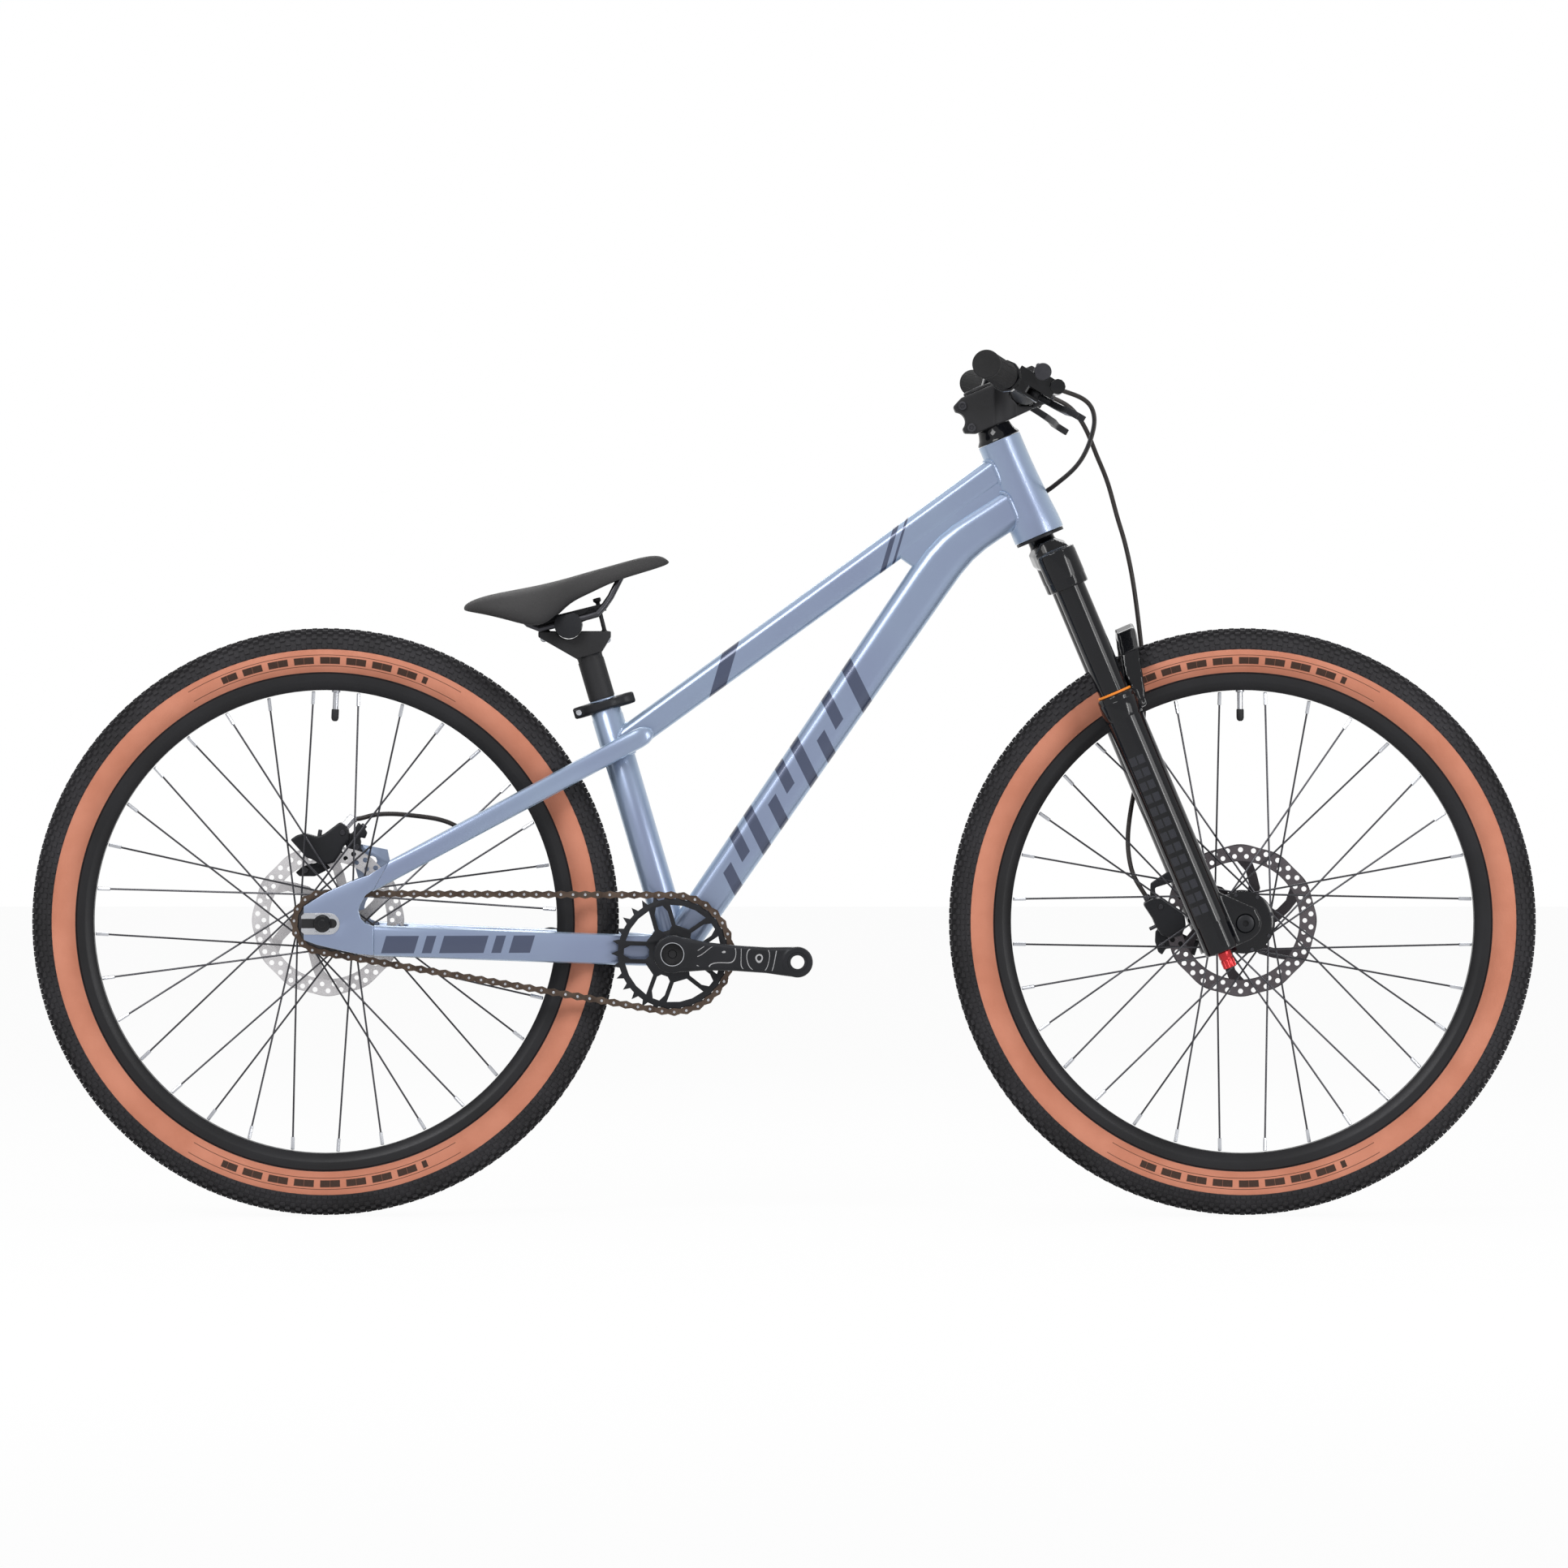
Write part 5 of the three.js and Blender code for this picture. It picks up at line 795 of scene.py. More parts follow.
settle(collar_bolt, "frame", "steel")

# %% [markdown]
# The rear brake's caliper straddles the rotor: two cast halves and a bridge over the rotor's edge. The parts
# are laid out as plates and then flowed together by a fine remesh, as the metal flows in the mould. The
# dropouts carry a riveted steel insert on each outer face, which takes the wear of the axle nuts.

# %% Rear brake caliper and dropout inserts
REAR_CALIPER = [
    (-517.8, 391.2), (-511.3, 395.8), (-503.1, 397.9), (-490, 394.4), (-482.9, 396.9), (-466.2, 409.4),
    (-460.5, 407), (-456.9, 400.9), (-456.9, 390.4), (-462.2, 384.3), (-465.4, 376.6), (-471.7, 367.4),
    (-478.8, 365.2), (-486.9, 365.4), (-494, 370.1), (-501.1, 372.5), (-508.2, 380.6),
]
REAR_BRIDGE = REAR_CALIPER[:9] + [(-462, 389), (-478, 390.8), (-495, 389.2), (-512, 384.2)]
REAR_POST = [
    (-453, 398.9), (-447.3, 409), (-441.2, 404), (-437.8, 397.9), (-440.2, 391.8), (-445.9, 393.8),
    (-444.3, 388.7), (-445.5, 378.6), (-452.4, 376.6), (-460, 378.6), (-460, 392.8),
]
REAR_ARM = [
    (-513.3, 356.3), (-503.1, 365.4), (-493, 366), (-446.3, 384), (-442.3, 378.6), (-493, 352.2),
    (-509.2, 352.2),
]
rear_caliper = cast([
    plate("half", REAR_CALIPER, 38, 49.4), plate("half", REAR_CALIPER, 54.8, 66),
    plate("bridge", REAR_BRIDGE, 48, 56),
    plate("post", REAR_POST, 56, 67), plate("arm", REAR_ARM, 59, 67.2),
], "rear_caliper_cast")
settle(rear_caliper, "frame", "alloy", ["rear_caliper"], 40)
rear_bolts = [
    bolt_head("bolt", mm(-463, 38.2, 398.4), -SIDEWAYS, 3, 1.6),
    bolt_head("bolt", mm(-449, 56.2, 383), -SIDEWAYS, 3.4, 2.4),
    bolt_head("bolt", mm(-503, 59.2, 359), -SIDEWAYS, 3.4, 2.4),
    peg("bleed", mm(-488, 44, 392), mm(-486.4, 44, 401.6), 2.2, 14, 0.6),
    peg("knob", mm(-446, 61, 400), mm(-440.4, 61, 406.4), 3.2, 16, 0.6),
]
settle(joined("rear_caliper_bolts", rear_bolts), "frame", "dark_steel")
banjo = joined("rear_banjo", [
    peg("banjo", mm(-462, 57, 403.6), mm(-452, 57, 415), 5.2, 6, 0.6),
    peg("collar", mm(-459.4, 60, 411.8), mm(-449, 60, 412.4), 3.4, 16, 0.6),
])
settle(banjo, "frame", "steel")


def arc_points(x, z, radius, first, last, steps=10):
    turns = [(first + (last - first) * step / steps) * DEGREE for step in range(steps + 1)]
    return [(x + radius * math.cos(turn), z + radius * math.sin(turn)) for turn in turns]


insert_outline = (
    [(-500.6, 301.7)] + arc_points(-468.6, 306.5, 4.8, -90, 90)
    + [(-500.6, 311.3), (-500.6, 314.4), (-497, 317.4)]
    + arc_points(-471.8, 306.2, 11.2, 90, -90, 16) + [(-497, 295), (-500.6, 298)]
)
for side, label in SIDES:
    insert = plate(f"dropout_insert_{label}", insert_outline, side * 74.85, side * 75.6)
    soften(insert, 0.2, 1, 40)
    rivets = [
        peg("rivet", mm(x, side * 75.5, z), mm(x, side * 76.3, z), 1.4, 14, 0.3)
        for x, z in ((-485.6, 315.4), (-470.6, 315), (-470.6, 297.6), (-485.6, 297.4))
    ]
    settle(joined(insert.name, [insert] + rivets), "frame", "steel")
    # The matte black plate behind each dropout slot is painted shadow: it darkens the open slot where shade
    # would lie.
    slot_shade = plate(f"dropout_slot_shade_{label}", [
        (-500, 301), (-463, 301), (-463, 312), (-500, 312),
    ], side * 69, side * 74.7)
    settle(slot_shade, "frame", "matte")
print("frame pieces", len(PIECES))

# %% [markdown]
# Each wheel is built round its axle: tyre, rim, spokes, nipples, valve, hub and brake rotor. A tyre is moulded
# in one heat from a tan side wall and a black tread, so the colours sit in one skin and change with the
# distance from the axle. The tread blocks are modelled once, for one pitch, and repeated round the wheel.

# %% Tyre finish
TAN, TAN_DEEP = (194, 128, 104), (182, 116, 92)
PRINT = (58, 40, 32)
WALL = (0.2606, 0.2843)
INNER_LINE, OUTER_LINE, DASH_BAND = (0.2668, 0.2674), (0.2782, 0.2788), (0.2692, 0.2764)


def tyre_finish(name, axle):
    material = own_copy("rubber", name)
    tree = material.node_tree
    around = around_axle(tree, axle)
    radius, turn = around["Radius"], around["Turn"]
    wall = within(tree, radius, *WALL)
    warm = add_node(tree, "ShaderNodeGroup", {"node_tree": GRAIN}, Vector=object_place(tree), Scale=22.0)
    tan = mixed_colour(tree, warm.outputs["Mask"], paint_colour(*TAN), paint_colour(*TAN_DEEP))
    base_mix(material, wall, tan)
    wave = rings_noise(tree, radius, 2600.0, Detail=1.0)
    lines = calculate(tree, "MAXIMUM", within(tree, radius, *INNER_LINE), within(tree, radius, *OUTER_LINE))
    fourths = calculate(tree, "ABSOLUTE", calculate(tree, "SINE", turn))
    shown = calculate(tree, "GREATER_THAN", fourths, 0.86)
    print_mask = calculate(tree, "MULTIPLY", lines, shown)
    dashes = within(tree, calculate(tree, "PINGPONG", turn, 0.05), 0.012, 0.05, 0.001)
    middle = calculate(tree, "GREATER_THAN", fourths, 0.92)
    block = calculate(tree, "MULTIPLY", within(tree, radius, *DASH_BAND), middle)
    print_mask = calculate(tree, "MAXIMUM", print_mask, calculate(tree, "MULTIPLY", block, dashes))
    base_mix(material, print_mask, PRINT)
    height = first_node(tree, "BUMP").inputs["Height"]
    tree.links.new(calculate(tree, "MULTIPLY_ADD", wave, 0.6, height.links[0].from_socket), height)
    return material


# %% [markdown]
# The carcass is turned from its outer and inner line. A tread block is a cube that narrows towards its top,
# set out for one pitch in thirteen rows from shoulder to shoulder, each leaning with the curve of the tread
# and every second row half a pitch on. An array round the axle then repeats that pitch, as the mould does.

# %% Tyre and tread
TREAD_PITCHES = 168
TREAD_ROWS = [
    (0, 303.7, 0, 0.0), (5.4, 303.1, 9, 0.5), (10.6, 301.6, 17, 0.0), (15.4, 299.2, 29, 0.5),
    (19.6, 295.6, 44, 0.0), (23, 291.4, 62, 0.5), (24.9, 286.8, 80, 0.0),
]


def mirrored(half):
    return [(radius, -side) for radius, side in reversed(half)]


def ring_of(piece, axle, count):
    """Repeats a piece evenly round its axle."""
    alone()
    bpy.ops.object.empty_add(location=axle, rotation=(0, 2 * math.pi / count, 0))
    pivot = bpy.context.object
    piece.data.transform(Matrix.Translation(-axle))
    piece.location = axle
    apply_modifier(
        piece, "ARRAY", count=count, use_relative_offset=False, use_object_offset=True, offset_object=pivot,
    )
    bpy.data.objects.remove(pivot)
    alone(piece)
    bpy.ops.object.transform_apply(location=True, rotation=True, scale=True)
    return piece


def tread_block(axle, turn, side, radius, lean, size):
    alone()
    bpy.ops.mesh.primitive_cube_add(size=1)
    block = bpy.context.object
    bpy.ops.object.mode_set(mode="EDIT")
    bpy.ops.mesh.select_all(action="SELECT")
    bpy.ops.transform.resize(value=mm(*size))
    bpy.ops.object.mode_set(mode="OBJECT")
    for corner in block.data.vertices:
        if corner.co.z > 0:
            corner.co.x *= 0.78
            corner.co.y *= 0.8
    out = Matrix.Translation((0, side * MM, radius * MM))
    place = Matrix.Translation(axle) @ Matrix.Rotation(turn, 4, "Y") @ out
    block.matrix_world = place @ Matrix.Rotation(-lean, 4, "X")
    bpy.ops.object.transform_apply(location=True, rotation=True, scale=True)
    return block


def make_tyre(wheel, axle):
    outer = [
        (254, 9.5), (254, 12.5), (258.5, 12.6), (260.6, 14.6), (264, 18.4), (268, 21.6), (273, 24),
        (278.5, 25.4), (284.3, 25.2), (289, 24.4), (293.4, 22.4), (297.4, 18.6), (300.2, 13.6), (301.8, 7.8),
        (302.5, 0),
    ]
    inner = [(299.5, 0), (297, 9), (291, 18), (279, 22), (267, 19.5), (260, 12.4)]
    outline = outer + mirrored(outer[:-1]) + mirrored(inner) + inner[1:]
    tyre = turned(f"{wheel}_tyre_moulded", outline, axle, SIDEWAYS, 144)
    step = 2 * math.pi / TREAD_PITCHES
    blocks = []
    for side, radius, lean, shift in TREAD_ROWS:
        for way in ((1,) if side == 0 else (1, -1)):
            height = 5.6 if side < 16 else 4.2
            size = (6.4, 4.2, height) if side < 20 else (6.0, 3.6, 3.4)
            blocks.append(tread_block(axle, step * shift, way * side, radius, way * lean * DEGREE, size))
    tread = ring_of(joined("tread", blocks), axle, TREAD_PITCHES)
    return joined(f"{wheel}_tyre_moulded", [tyre, tread])


# %% [markdown]
# The rim is rolled from a hollow section, so it is turned. A spoke is drawn wire with a bent head in the hub
# flange and a nipple at the rim. Two spokes on each side make the lacing pattern, which repeats eight times.

# %% Rim, spokes and nipples
SPOKES = 32
LACING_REPEATS = 8
FIRST_SPOKE = 84.375
LACE_TURN = 67.5
FOOT_RADIUS, TIP_RADIUS = 29.4, 240.6
FLANGE_HALF, TOUCH_GAP, SPOKE_LAY, SPOKE_CROSS = 1.5, 0.3, 1.41, 2.2
NIPPLE_LENGTH = 13.5
WIRE_RADIUS, NIPPLE_RADIUS, ELBOW_RADIUS, HEAD_RADIUS = 1.0, 1.9, 1.15, 2.1


def make_rim(wheel, axle):
    half = [
        (241.9, 8.4), (243, 9.6), (246, 11.9), (250, 14.6), (251.5, 15), (258.7, 15), (259.5, 14.4),
        (259.5, 13.2), (258.9, 12.8), (254.2, 12.8), (253.7, 12.4), (253.7, 8.5), (252.4, 7.4),
    ]
    outline = half + [(251.6, 0)] + mirrored(half) + [(241.6, 0)]
    return turned(f"{wheel}_rim_rolled", outline, axle, SIDEWAYS, 144)


def make_spokes(wheel, axle, side, flange, turn):
    wires, nipples, heads = [], [], []
    outward = SIDEWAYS * side
    for spoke in range(0 if side < 0 else 1, 4, 2):
        leading = spoke < 2
        rim_turn = (FIRST_SPOKE + turn - 360 * spoke / SPOKES) * DEGREE
        hub_turn = rim_turn + (-LACE_TURN if leading else LACE_TURN) * DEGREE
        depth = flange - FLANGE_HALF - TOUCH_GAP - SPOKE_LAY - (0 if leading else SPOKE_CROSS)
        foot = axle + mm(FOOT_RADIUS * math.cos(hub_turn), side * depth, FOOT_RADIUS * math.sin(hub_turn))
        tip = axle + mm(TIP_RADIUS * math.cos(rim_turn), side * 2, TIP_RADIUS * math.sin(rim_turn))
        way = (tip - foot).normalized()
        wires.append(peg("wire", foot, tip, WIRE_RADIUS, 8))
        nipples.append(peg("nipple", tip - way * NIPPLE_LENGTH * MM, tip, NIPPLE_RADIUS, 8, 0.4))
        heads.append(peg("head", foot - outward * 0.8 * MM, foot + outward * 4.6 * MM, ELBOW_RADIUS, 8))
        heads.append(peg("cap", foot + outward * 4.4 * MM, foot + outward * 5.4 * MM, HEAD_RADIUS, 10, 0.3))
    name = "right" if side < 0 else "left"
    net = ring_of(joined(f"{wheel}_spokes_{name}_wire", wires + heads), axle, LACING_REPEATS)
    return net, ring_of(joined(f"{wheel}_nipples_{name}", nipples), axle, LACING_REPEATS)


# %% [markdown]
# Hubs are turned from bar: two flanges for the spokes, a waist between them, and end caps. The front one takes
# a thick bolt-through axle, and the rear one carries the freehub that the cog sits on.

# %% Hubs
FRONT_HUB = [
    (7.9, -50), (11.1, -50), (11.5, -49.4), (11.5, -40), (13.2, -38), (15, -37), (15.4, -35.2), (22, -34.7),
    (31.6, -34.5), (32.5, -33.9), (32.5, -32.1), (31.6, -31.5), (24, -31.2), (18, -29.6), (15, -26),
    (13.2, -20), (12.2, -8), (12.6, 4), (14.6, 14), (18, 18.4), (24, 20.2), (31.6, 20.5), (32.5, 21.1),
    (32.5, 22.9), (31.6, 23.5), (26, 23.8), (19.5, 25), (18.4, 27), (18.4, 38.2), (12.6, 38.4), (12.6, 42),
    (11.5, 42.6), (11.5, 49.4), (11.1, 50), (7.9, 50),
]
REAR_HUB = [
    (5.4, -67.3), (9, -67.3), (9, -36.2), (19.4, -36), (20, -35.4), (20, -26), (23, -24.7), (31.6, -24.5),
    (32.5, -23.9), (32.5, -22.1), (31.6, -21.5), (25, -21.2), (19, -19.6), (17, -16), (15, -8), (14.4, 4),
    (15.4, 16), (17.4, 24), (20, 30.4), (25, 32.2), (31.6, 32.5), (32.5, 33.1), (32.5, 34.9), (31.6, 35.5),
    (26, 35.8), (20, 37), (18.6, 39), (18.6, 50.8), (12.6, 51), (12.6, 54.6), (9, 55.4), (9, 67.3), (5.4, 67.3),
]


# %% [markdown]
# A brake rotor is stamped from thin steel. Its rim is wavy and full of holes that clear water and grit, and
# swept arms carry it to six bolts. The disc is filled and pushed out, then round cutters take out the middle
# and the holes, which is close to how the press makes it.

# %% Rotors
ROTOR_RADIUS, ROTOR_WAVE, ROTOR_WAVES, ROTOR_STEPS = 80, 0.8, 12, 144
ROTOR_HALF = 0.9
HOLES = 34
HOLE_ROWS = ((67.4, 2.5, 0.0), (74.2, 2.7, 0.5))
BAND_BORE = 62
ROTOR_ARMS = 6
ARM_OUTLINE = ((25, -14), (40, -1), (52, 11), (63, 19), (63, 34), (52, 24), (40, 17), (25, 16))
ARM_HALF = 0.85
BOLT_CIRCLE, ROTOR_BOLT = 22, 3.6
WORN_BAND = (0.0625, 0.0788)


def make_rotor(name, axle, place):
    def around(reach, turn):
        return axle.x / MM + reach * math.cos(turn), axle.z / MM + reach * math.sin(turn)

    outline = []
    for step in range(ROTOR_STEPS):
        turn = 2 * math.pi * step / ROTOR_STEPS
        outline.append(around(ROTOR_RADIUS - ROTOR_WAVE + ROTOR_WAVE * math.cos(ROTOR_WAVES * turn), turn))
    near, far = place - ROTOR_HALF, place + ROTOR_HALF
    band = plate(name, outline, near, far)
    centre = axle + SIDEWAYS * place * MM
    drill(band, centre - SIDEWAYS * 0.01, centre + SIDEWAYS * 0.01, BAND_BORE, 96)
    drills = []
    for radius, size, shift in HOLE_ROWS:
        base = peg("drill", centre - SIDEWAYS * 0.004, centre + SIDEWAYS * 0.004, size, 12)
        base.data.transform(Matrix.Translation(mm(radius, 0, 0)))
        turn = Matrix.Rotation(shift * math.pi / (HOLES / 2), 4, "Y")
        base.data.transform(Matrix.Translation(axle) @ turn @ Matrix.Translation(-axle))
        drills.append(ring_of(base, axle, HOLES))
    cut(band, joined("drills", drills))
    hub_ring = turned("rotor_hub", [(13, near), (27, near), (27, far), (13, far)], axle, SIDEWAYS, 64)
    arm_outline = [around(reach, angle * DEGREE) for reach, angle in ARM_OUTLINE]
    arms = ring_of(plate("rotor_arm", arm_outline, place - ARM_HALF, place + ARM_HALF), axle, ROTOR_ARMS)
    bolt_place = axle + mm(BOLT_CIRCLE, 0, 0) + SIDEWAYS * (place + 0.8) * MM
    bolt = peg("rotor_bolt", bolt_place, bolt_place + SIDEWAYS * 2 * MM, ROTOR_BOLT, 16, 0.6)
    return joined(name, [band, hub_ring, arms]), ring_of(bolt, axle, ROTOR_ARMS)


def rotor_finish(name, axle, colour, second, band):
    """Steel with tool marks in rings, and a paler band where the pads have worn it."""
    material = finish(name, colour, second, (0.24, 0.4), 0.95, 0.0, 700, 0.05, 30)
    tree = material.node_tree
    radius = around_axle(tree, axle)["Radius"]
    tree.links.new(rings_noise(tree, radius, 4000.0), first_node(tree, "BUMP").inputs["Height"])
    worn = within(tree, radius, *WORN_BAND, 0.0006)
    return base_mix(material, calculate(tree, "MULTIPLY", worn, 0.5), band)


# %% [markdown]
# Both wheels are made by one function, so they can't drift apart. Only what differs is handed over: the hub's
# outline, how far its flanges stand from the middle, the turn of the spokes, the rotor's place and colours,
# and where the valve has stopped.

# %% Both wheels
def make_wheel(wheel, axle, hub_outline, flanges, turn, rotor_place, rotor_colours, valve_turn):
    body = f"{wheel}_wheel"
    tyre = make_tyre(wheel, axle)
    settle(tyre, body, tyre_finish(f"{wheel}_tyre_rubber", axle), [f"{wheel}_tyre"], 30)
    settle(make_rim(wheel, axle), body, "rim", [f"{wheel}_rim"], 30)
    for (side, label), flange in zip(SIDES, flanges):
        net, nipples = make_spokes(wheel, axle, side, flange, turn)
        settle(net, body, "dark_steel", [f"{wheel}_spokes_{label}"])
        settle(nipples, body, "steel")
    hub = turned(f"{wheel}_hub_turned", hub_outline, axle, SIDEWAYS, 64)
    settle(hub, body, "fork", [f"{wheel}_hub"])
    rotor, bolts = make_rotor(f"{wheel}_rotor_stamped", axle, rotor_place)
    rotor_steel = rotor_finish(f"{wheel}_rotor_steel", axle, *rotor_colours)
    settle(rotor, body, rotor_steel, [f"{wheel}_rotor"], 20)
    bolts.name = f"{wheel}_rotor_bolts"
    settle(bolts, body, "dark_steel")
    way = Vector((math.cos(valve_turn), 0, math.sin(valve_turn)))
    stem = peg("valve_stem", axle + way * 244 * MM, axle + way * 222 * MM, 3, 16)
    collar = peg("valve_collar", axle + way * 242.4 * MM, axle + way * 239.4 * MM, 4.6, 12, 0.6)
    cap = turned(f"{wheel}_valve_cap", [
        (0, 0), (3.6, 0), (3.9, 1), (3.9, 9), (3.2, 11.4), (1.6, 12.6), (0, 12.6),
    ], axle + way * 222 * MM, -way, 16, False)
    settle(joined(f"{wheel}_valve", [stem, collar]), body, "steel")
    settle(cap, body, "matte")


make_wheel(
    "front", FRONT_AXLE, FRONT_HUB, (33, 22), 0, 39.4,
    ((50, 47, 50), (64, 61, 64), (118, 112, 116)), math.radians(90.6),
)
make_wheel(
    "rear", REAR_AXLE, REAR_HUB, (23, 34), -2.6, 52,
    ((186, 184, 186), (204, 202, 204), (226, 224, 226)), math.radians(87.4),
)
print("wheel pieces", len(PIECES))

# %% [markdown]
# The chain is eighty links, outer and inner by turns. One outer link is two side plates and two pins, and one
# inner link is two plates and two rollers. Each is modelled once, lying along its own line, then a copy is
# set at every place on the path: along the top, round the ring, back below, and round the cog.

# %% Chain links
LINK_PITCH = 12.7
PLATE_THICKNESS, PLATE_HEIGHT = 0.9, 8.2
OUTER_ACROSS, INNER_ACROSS = 2.9, 1.9
PIN_REACH, ROLLER_REACH = 3.7, 1.5
PIN_RADIUS, ROLLER_RADIUS = 1.8, 3.6


def link_plate(length, side, thickness, height):
    outline = []
    for centre, start in ((length / 2, -90), (-length / 2, 90)):
        for step in range(7):
            turn = (start + 180 * step / 6) * DEGREE
            outline.append((centre + height / 2 * math.cos(turn), height / 2 * math.sin(turn)))
    outline.insert(7, (0, height * 0.3))
    outline.append((0, -height * 0.3))
    return plate("link_plate", outline, side - thickness / 2, side + thickness / 2)


def make_link(outer):
    across = OUTER_ACROSS if outer else INNER_ACROSS
    parts = [link_plate(LINK_PITCH, side * across, PLATE_THICKNESS, PLATE_HEIGHT) for side in (-1, 1)]
    for end in (-LINK_PITCH / 2, LINK_PITCH / 2):
        centre = mm(end, 0, 0)
        reach = (PIN_REACH if outer else ROLLER_REACH) * MM
        radius = PIN_RADIUS if outer else ROLLER_RADIUS
        parts.append(peg("pin", centre - SIDEWAYS * reach, centre + SIDEWAYS * reach, radius, 12, 0.2))
    return joined("outer_link" if outer else "inner_link", parts)


LINKS = 80
CHAIN_START = 2.0
CHAIN_SIDE = -47
RING_RADIUS, COG_RADIUS = 60.75, 30.54
RING_CENTRE, COG_CENTRE = BOTTOM_BRACKET / MM, REAR_AXLE / MM
line = COG_CENTRE - RING_CENTRE
lean = math.asin((RING_RADIUS - COG_RADIUS) / line.length)
TOP_TURN = math.atan2(line.z, line.x) - (math.pi / 2 - lean)
BOTTOM_TURN = math.atan2(line.z, line.x) + (math.pi / 2 - lean)
STRAIGHT = line.length * math.cos(lean)
BIG_ARC = RING_RADIUS * (math.pi + 2 * lean)
SMALL_ARC = COG_RADIUS * (math.pi - 2 * lean)
CHAIN_LENGTH = 2 * STRAIGHT + BIG_ARC + SMALL_ARC
pitch = CHAIN_LENGTH / LINKS


def on_circle(centre, radius, turn):
    return Vector((centre.x + radius * math.cos(turn), 0, centre.z + radius * math.sin(turn)))


def ring_end(turn):
    return on_circle(RING_CENTRE, RING_RADIUS, turn)


def cog_end(turn):
    return on_circle(COG_CENTRE, COG_RADIUS, turn)


def chain_place(distance):
    """A point on the chain's path, from the top of the chainring backwards, in millimetres."""
    distance %= CHAIN_LENGTH
    if distance < STRAIGHT:
        return ring_end(TOP_TURN).lerp(cog_end(TOP_TURN), distance / STRAIGHT)
    distance -= STRAIGHT
    if distance < SMALL_ARC:
        return cog_end(TOP_TURN + distance / COG_RADIUS)
    distance -= SMALL_ARC
    if distance < STRAIGHT:
        return cog_end(BOTTOM_TURN).lerp(ring_end(BOTTOM_TURN), distance / STRAIGHT)
    return ring_end(BOTTOM_TURN + (distance - STRAIGHT) / RING_RADIUS)


pins = [chain_place(CHAIN_START + index * pitch) for index in range(LINKS + 1)]
patterns = [make_link(True), make_link(False)]
head_pattern = peg("pin_head", mm(0, -3.95, 0), mm(0, -3.3, 0), 1.45, 10, 0.2)
links, pin_heads = [], []
for index, (first, last) in enumerate(zip(pins, pins[1:])):
    middle = (first + last) / 2
    turn = math.atan2(last.z - first.z, last.x - first.x)
    link = link_new("link", patterns[index % 2].data.copy())
    link.matrix_world = Matrix.Translation(mm(middle.x, CHAIN_SIDE, middle.z)) @ Matrix.Rotation(-turn, 4, "Y")
    links.append(link)
    pin_head = link_new("pin_head", head_pattern.data.copy())
    pin_head.location = mm(first.x, CHAIN_SIDE, first.z)
    pin_heads.append(pin_head)
for pattern in patterns + [head_pattern]:
    bpy.data.objects.remove(pattern)
settle(joined("chain_links", links), "frame", "plates", ["chain"], 30)
settle(joined("chain_pin_heads", pin_heads), "frame", "steel")
print("links", LINKS, "pitch", round(pitch, 3))

# %% [markdown]
# Chainring and cog are machined plates. Their teeth and windows are already exact in the CAD model, so each
# keeps that outline, and the copies only get the small chamfers that a cutter leaves. The rear axle with its
# washers and nuts is turned in one, since one outline, mirrored, gives both ends.

# %% Chainring, cog and axle ends
dress("chainring", "crankset", "alloy", 0.45, 24, 2)
dress("rear_cog", "freehub", "dark_steel", 0.35, 24, 2)
axle_end = [
    (4.9, 75.6), (9.2, 75.7), (9.2, 76.8), (8.9, 77.2), (7.9, 77.4), (7.9, 78.8), (7.2, 79.6), (4.2, 80),
    (4.2, 81.8), (3.6, 82.4), (0, 82.4),
]
axle_rod = turned("rear_axle_bolted", mirrored(axle_end) + axle_end, REAR_AXLE, SIDEWAYS, 48, False)
settle(axle_rod, "frame", "fork", ["rear_axle"])

# %% [markdown]
# A forged crank arm is thick at its boss and at its eye and slimmer between. The bar between them is drawn
# ring by ring, the two round ends are turned, and one fine remesh flows the three together the way a forging
# die does. The eye, the boss and the axle's bore are cut after that, so their edges stay sharp.

# %% Crank arms
CRANK_LENGTH = 130
CRANK_DROOP = 3.5 * DEGREE
PEDAL_HOLE, PEDAL_FACE, AXLE_BORE = 7.15, 10.6, 12.6
CONTOUR_GREY = (190, 190, 192)


def make_crank(side, label):
    outward = SIDEWAYS * side
    along = Vector((-side * math.cos(CRANK_DROOP), 0, side * math.sin(CRANK_DROOP)))
    lift = along.cross(SIDEWAYS)
    arm = tube_along(f"crank_{label}_forged", BOTTOM_BRACKET, along, [
        (0, 0, side * 67, 17, 38), (14, 0, side * 67.4, 16.4, 35), (34, 0, side * 69, 14, 29.4),
        (66, 0, side * 71.6, 13, 26.4), (98, 0, side * 74.4, 13, 26.8), (114, 0, side * 76, 13.6, 29.4),
        (130, 0, side * 77, 14, 31.6),
    ], 4.4, 5)
    eye = BOTTOM_BRACKET + along * CRANK_LENGTH * MM
    boss = turned("boss", [
        (0, 58.2), (19, 58.2), (19.6, 59), (19.6, 74.6), (18.6, 75.8), (0, 75.8),
    ], BOTTOM_BRACKET, outward, 64, False)
    end = turned("end", [
        (0, 70.2), (15.4, 70.2), (15.9, 70.8), (15.9, 83), (15.2, 83.9), (0, 83.9),
    ], eye, outward, 64, False)
    arm = joined(f"crank_{label}_forged", [arm, boss, end])
    flow(arm, 0.9, 5)
    drill(arm, eye + outward * 0.06, eye + outward * 0.09, PEDAL_HOLE, 40)
    drill(arm, eye + outward * 0.0828, eye + outward * 0.09, PEDAL_FACE, 48)
    drill(arm, BOTTOM_BRACKET + outward * 0.05, BOTTOM_BRACKET + outward * 0.09, AXLE_BORE, 48)
    return arm, along, lift


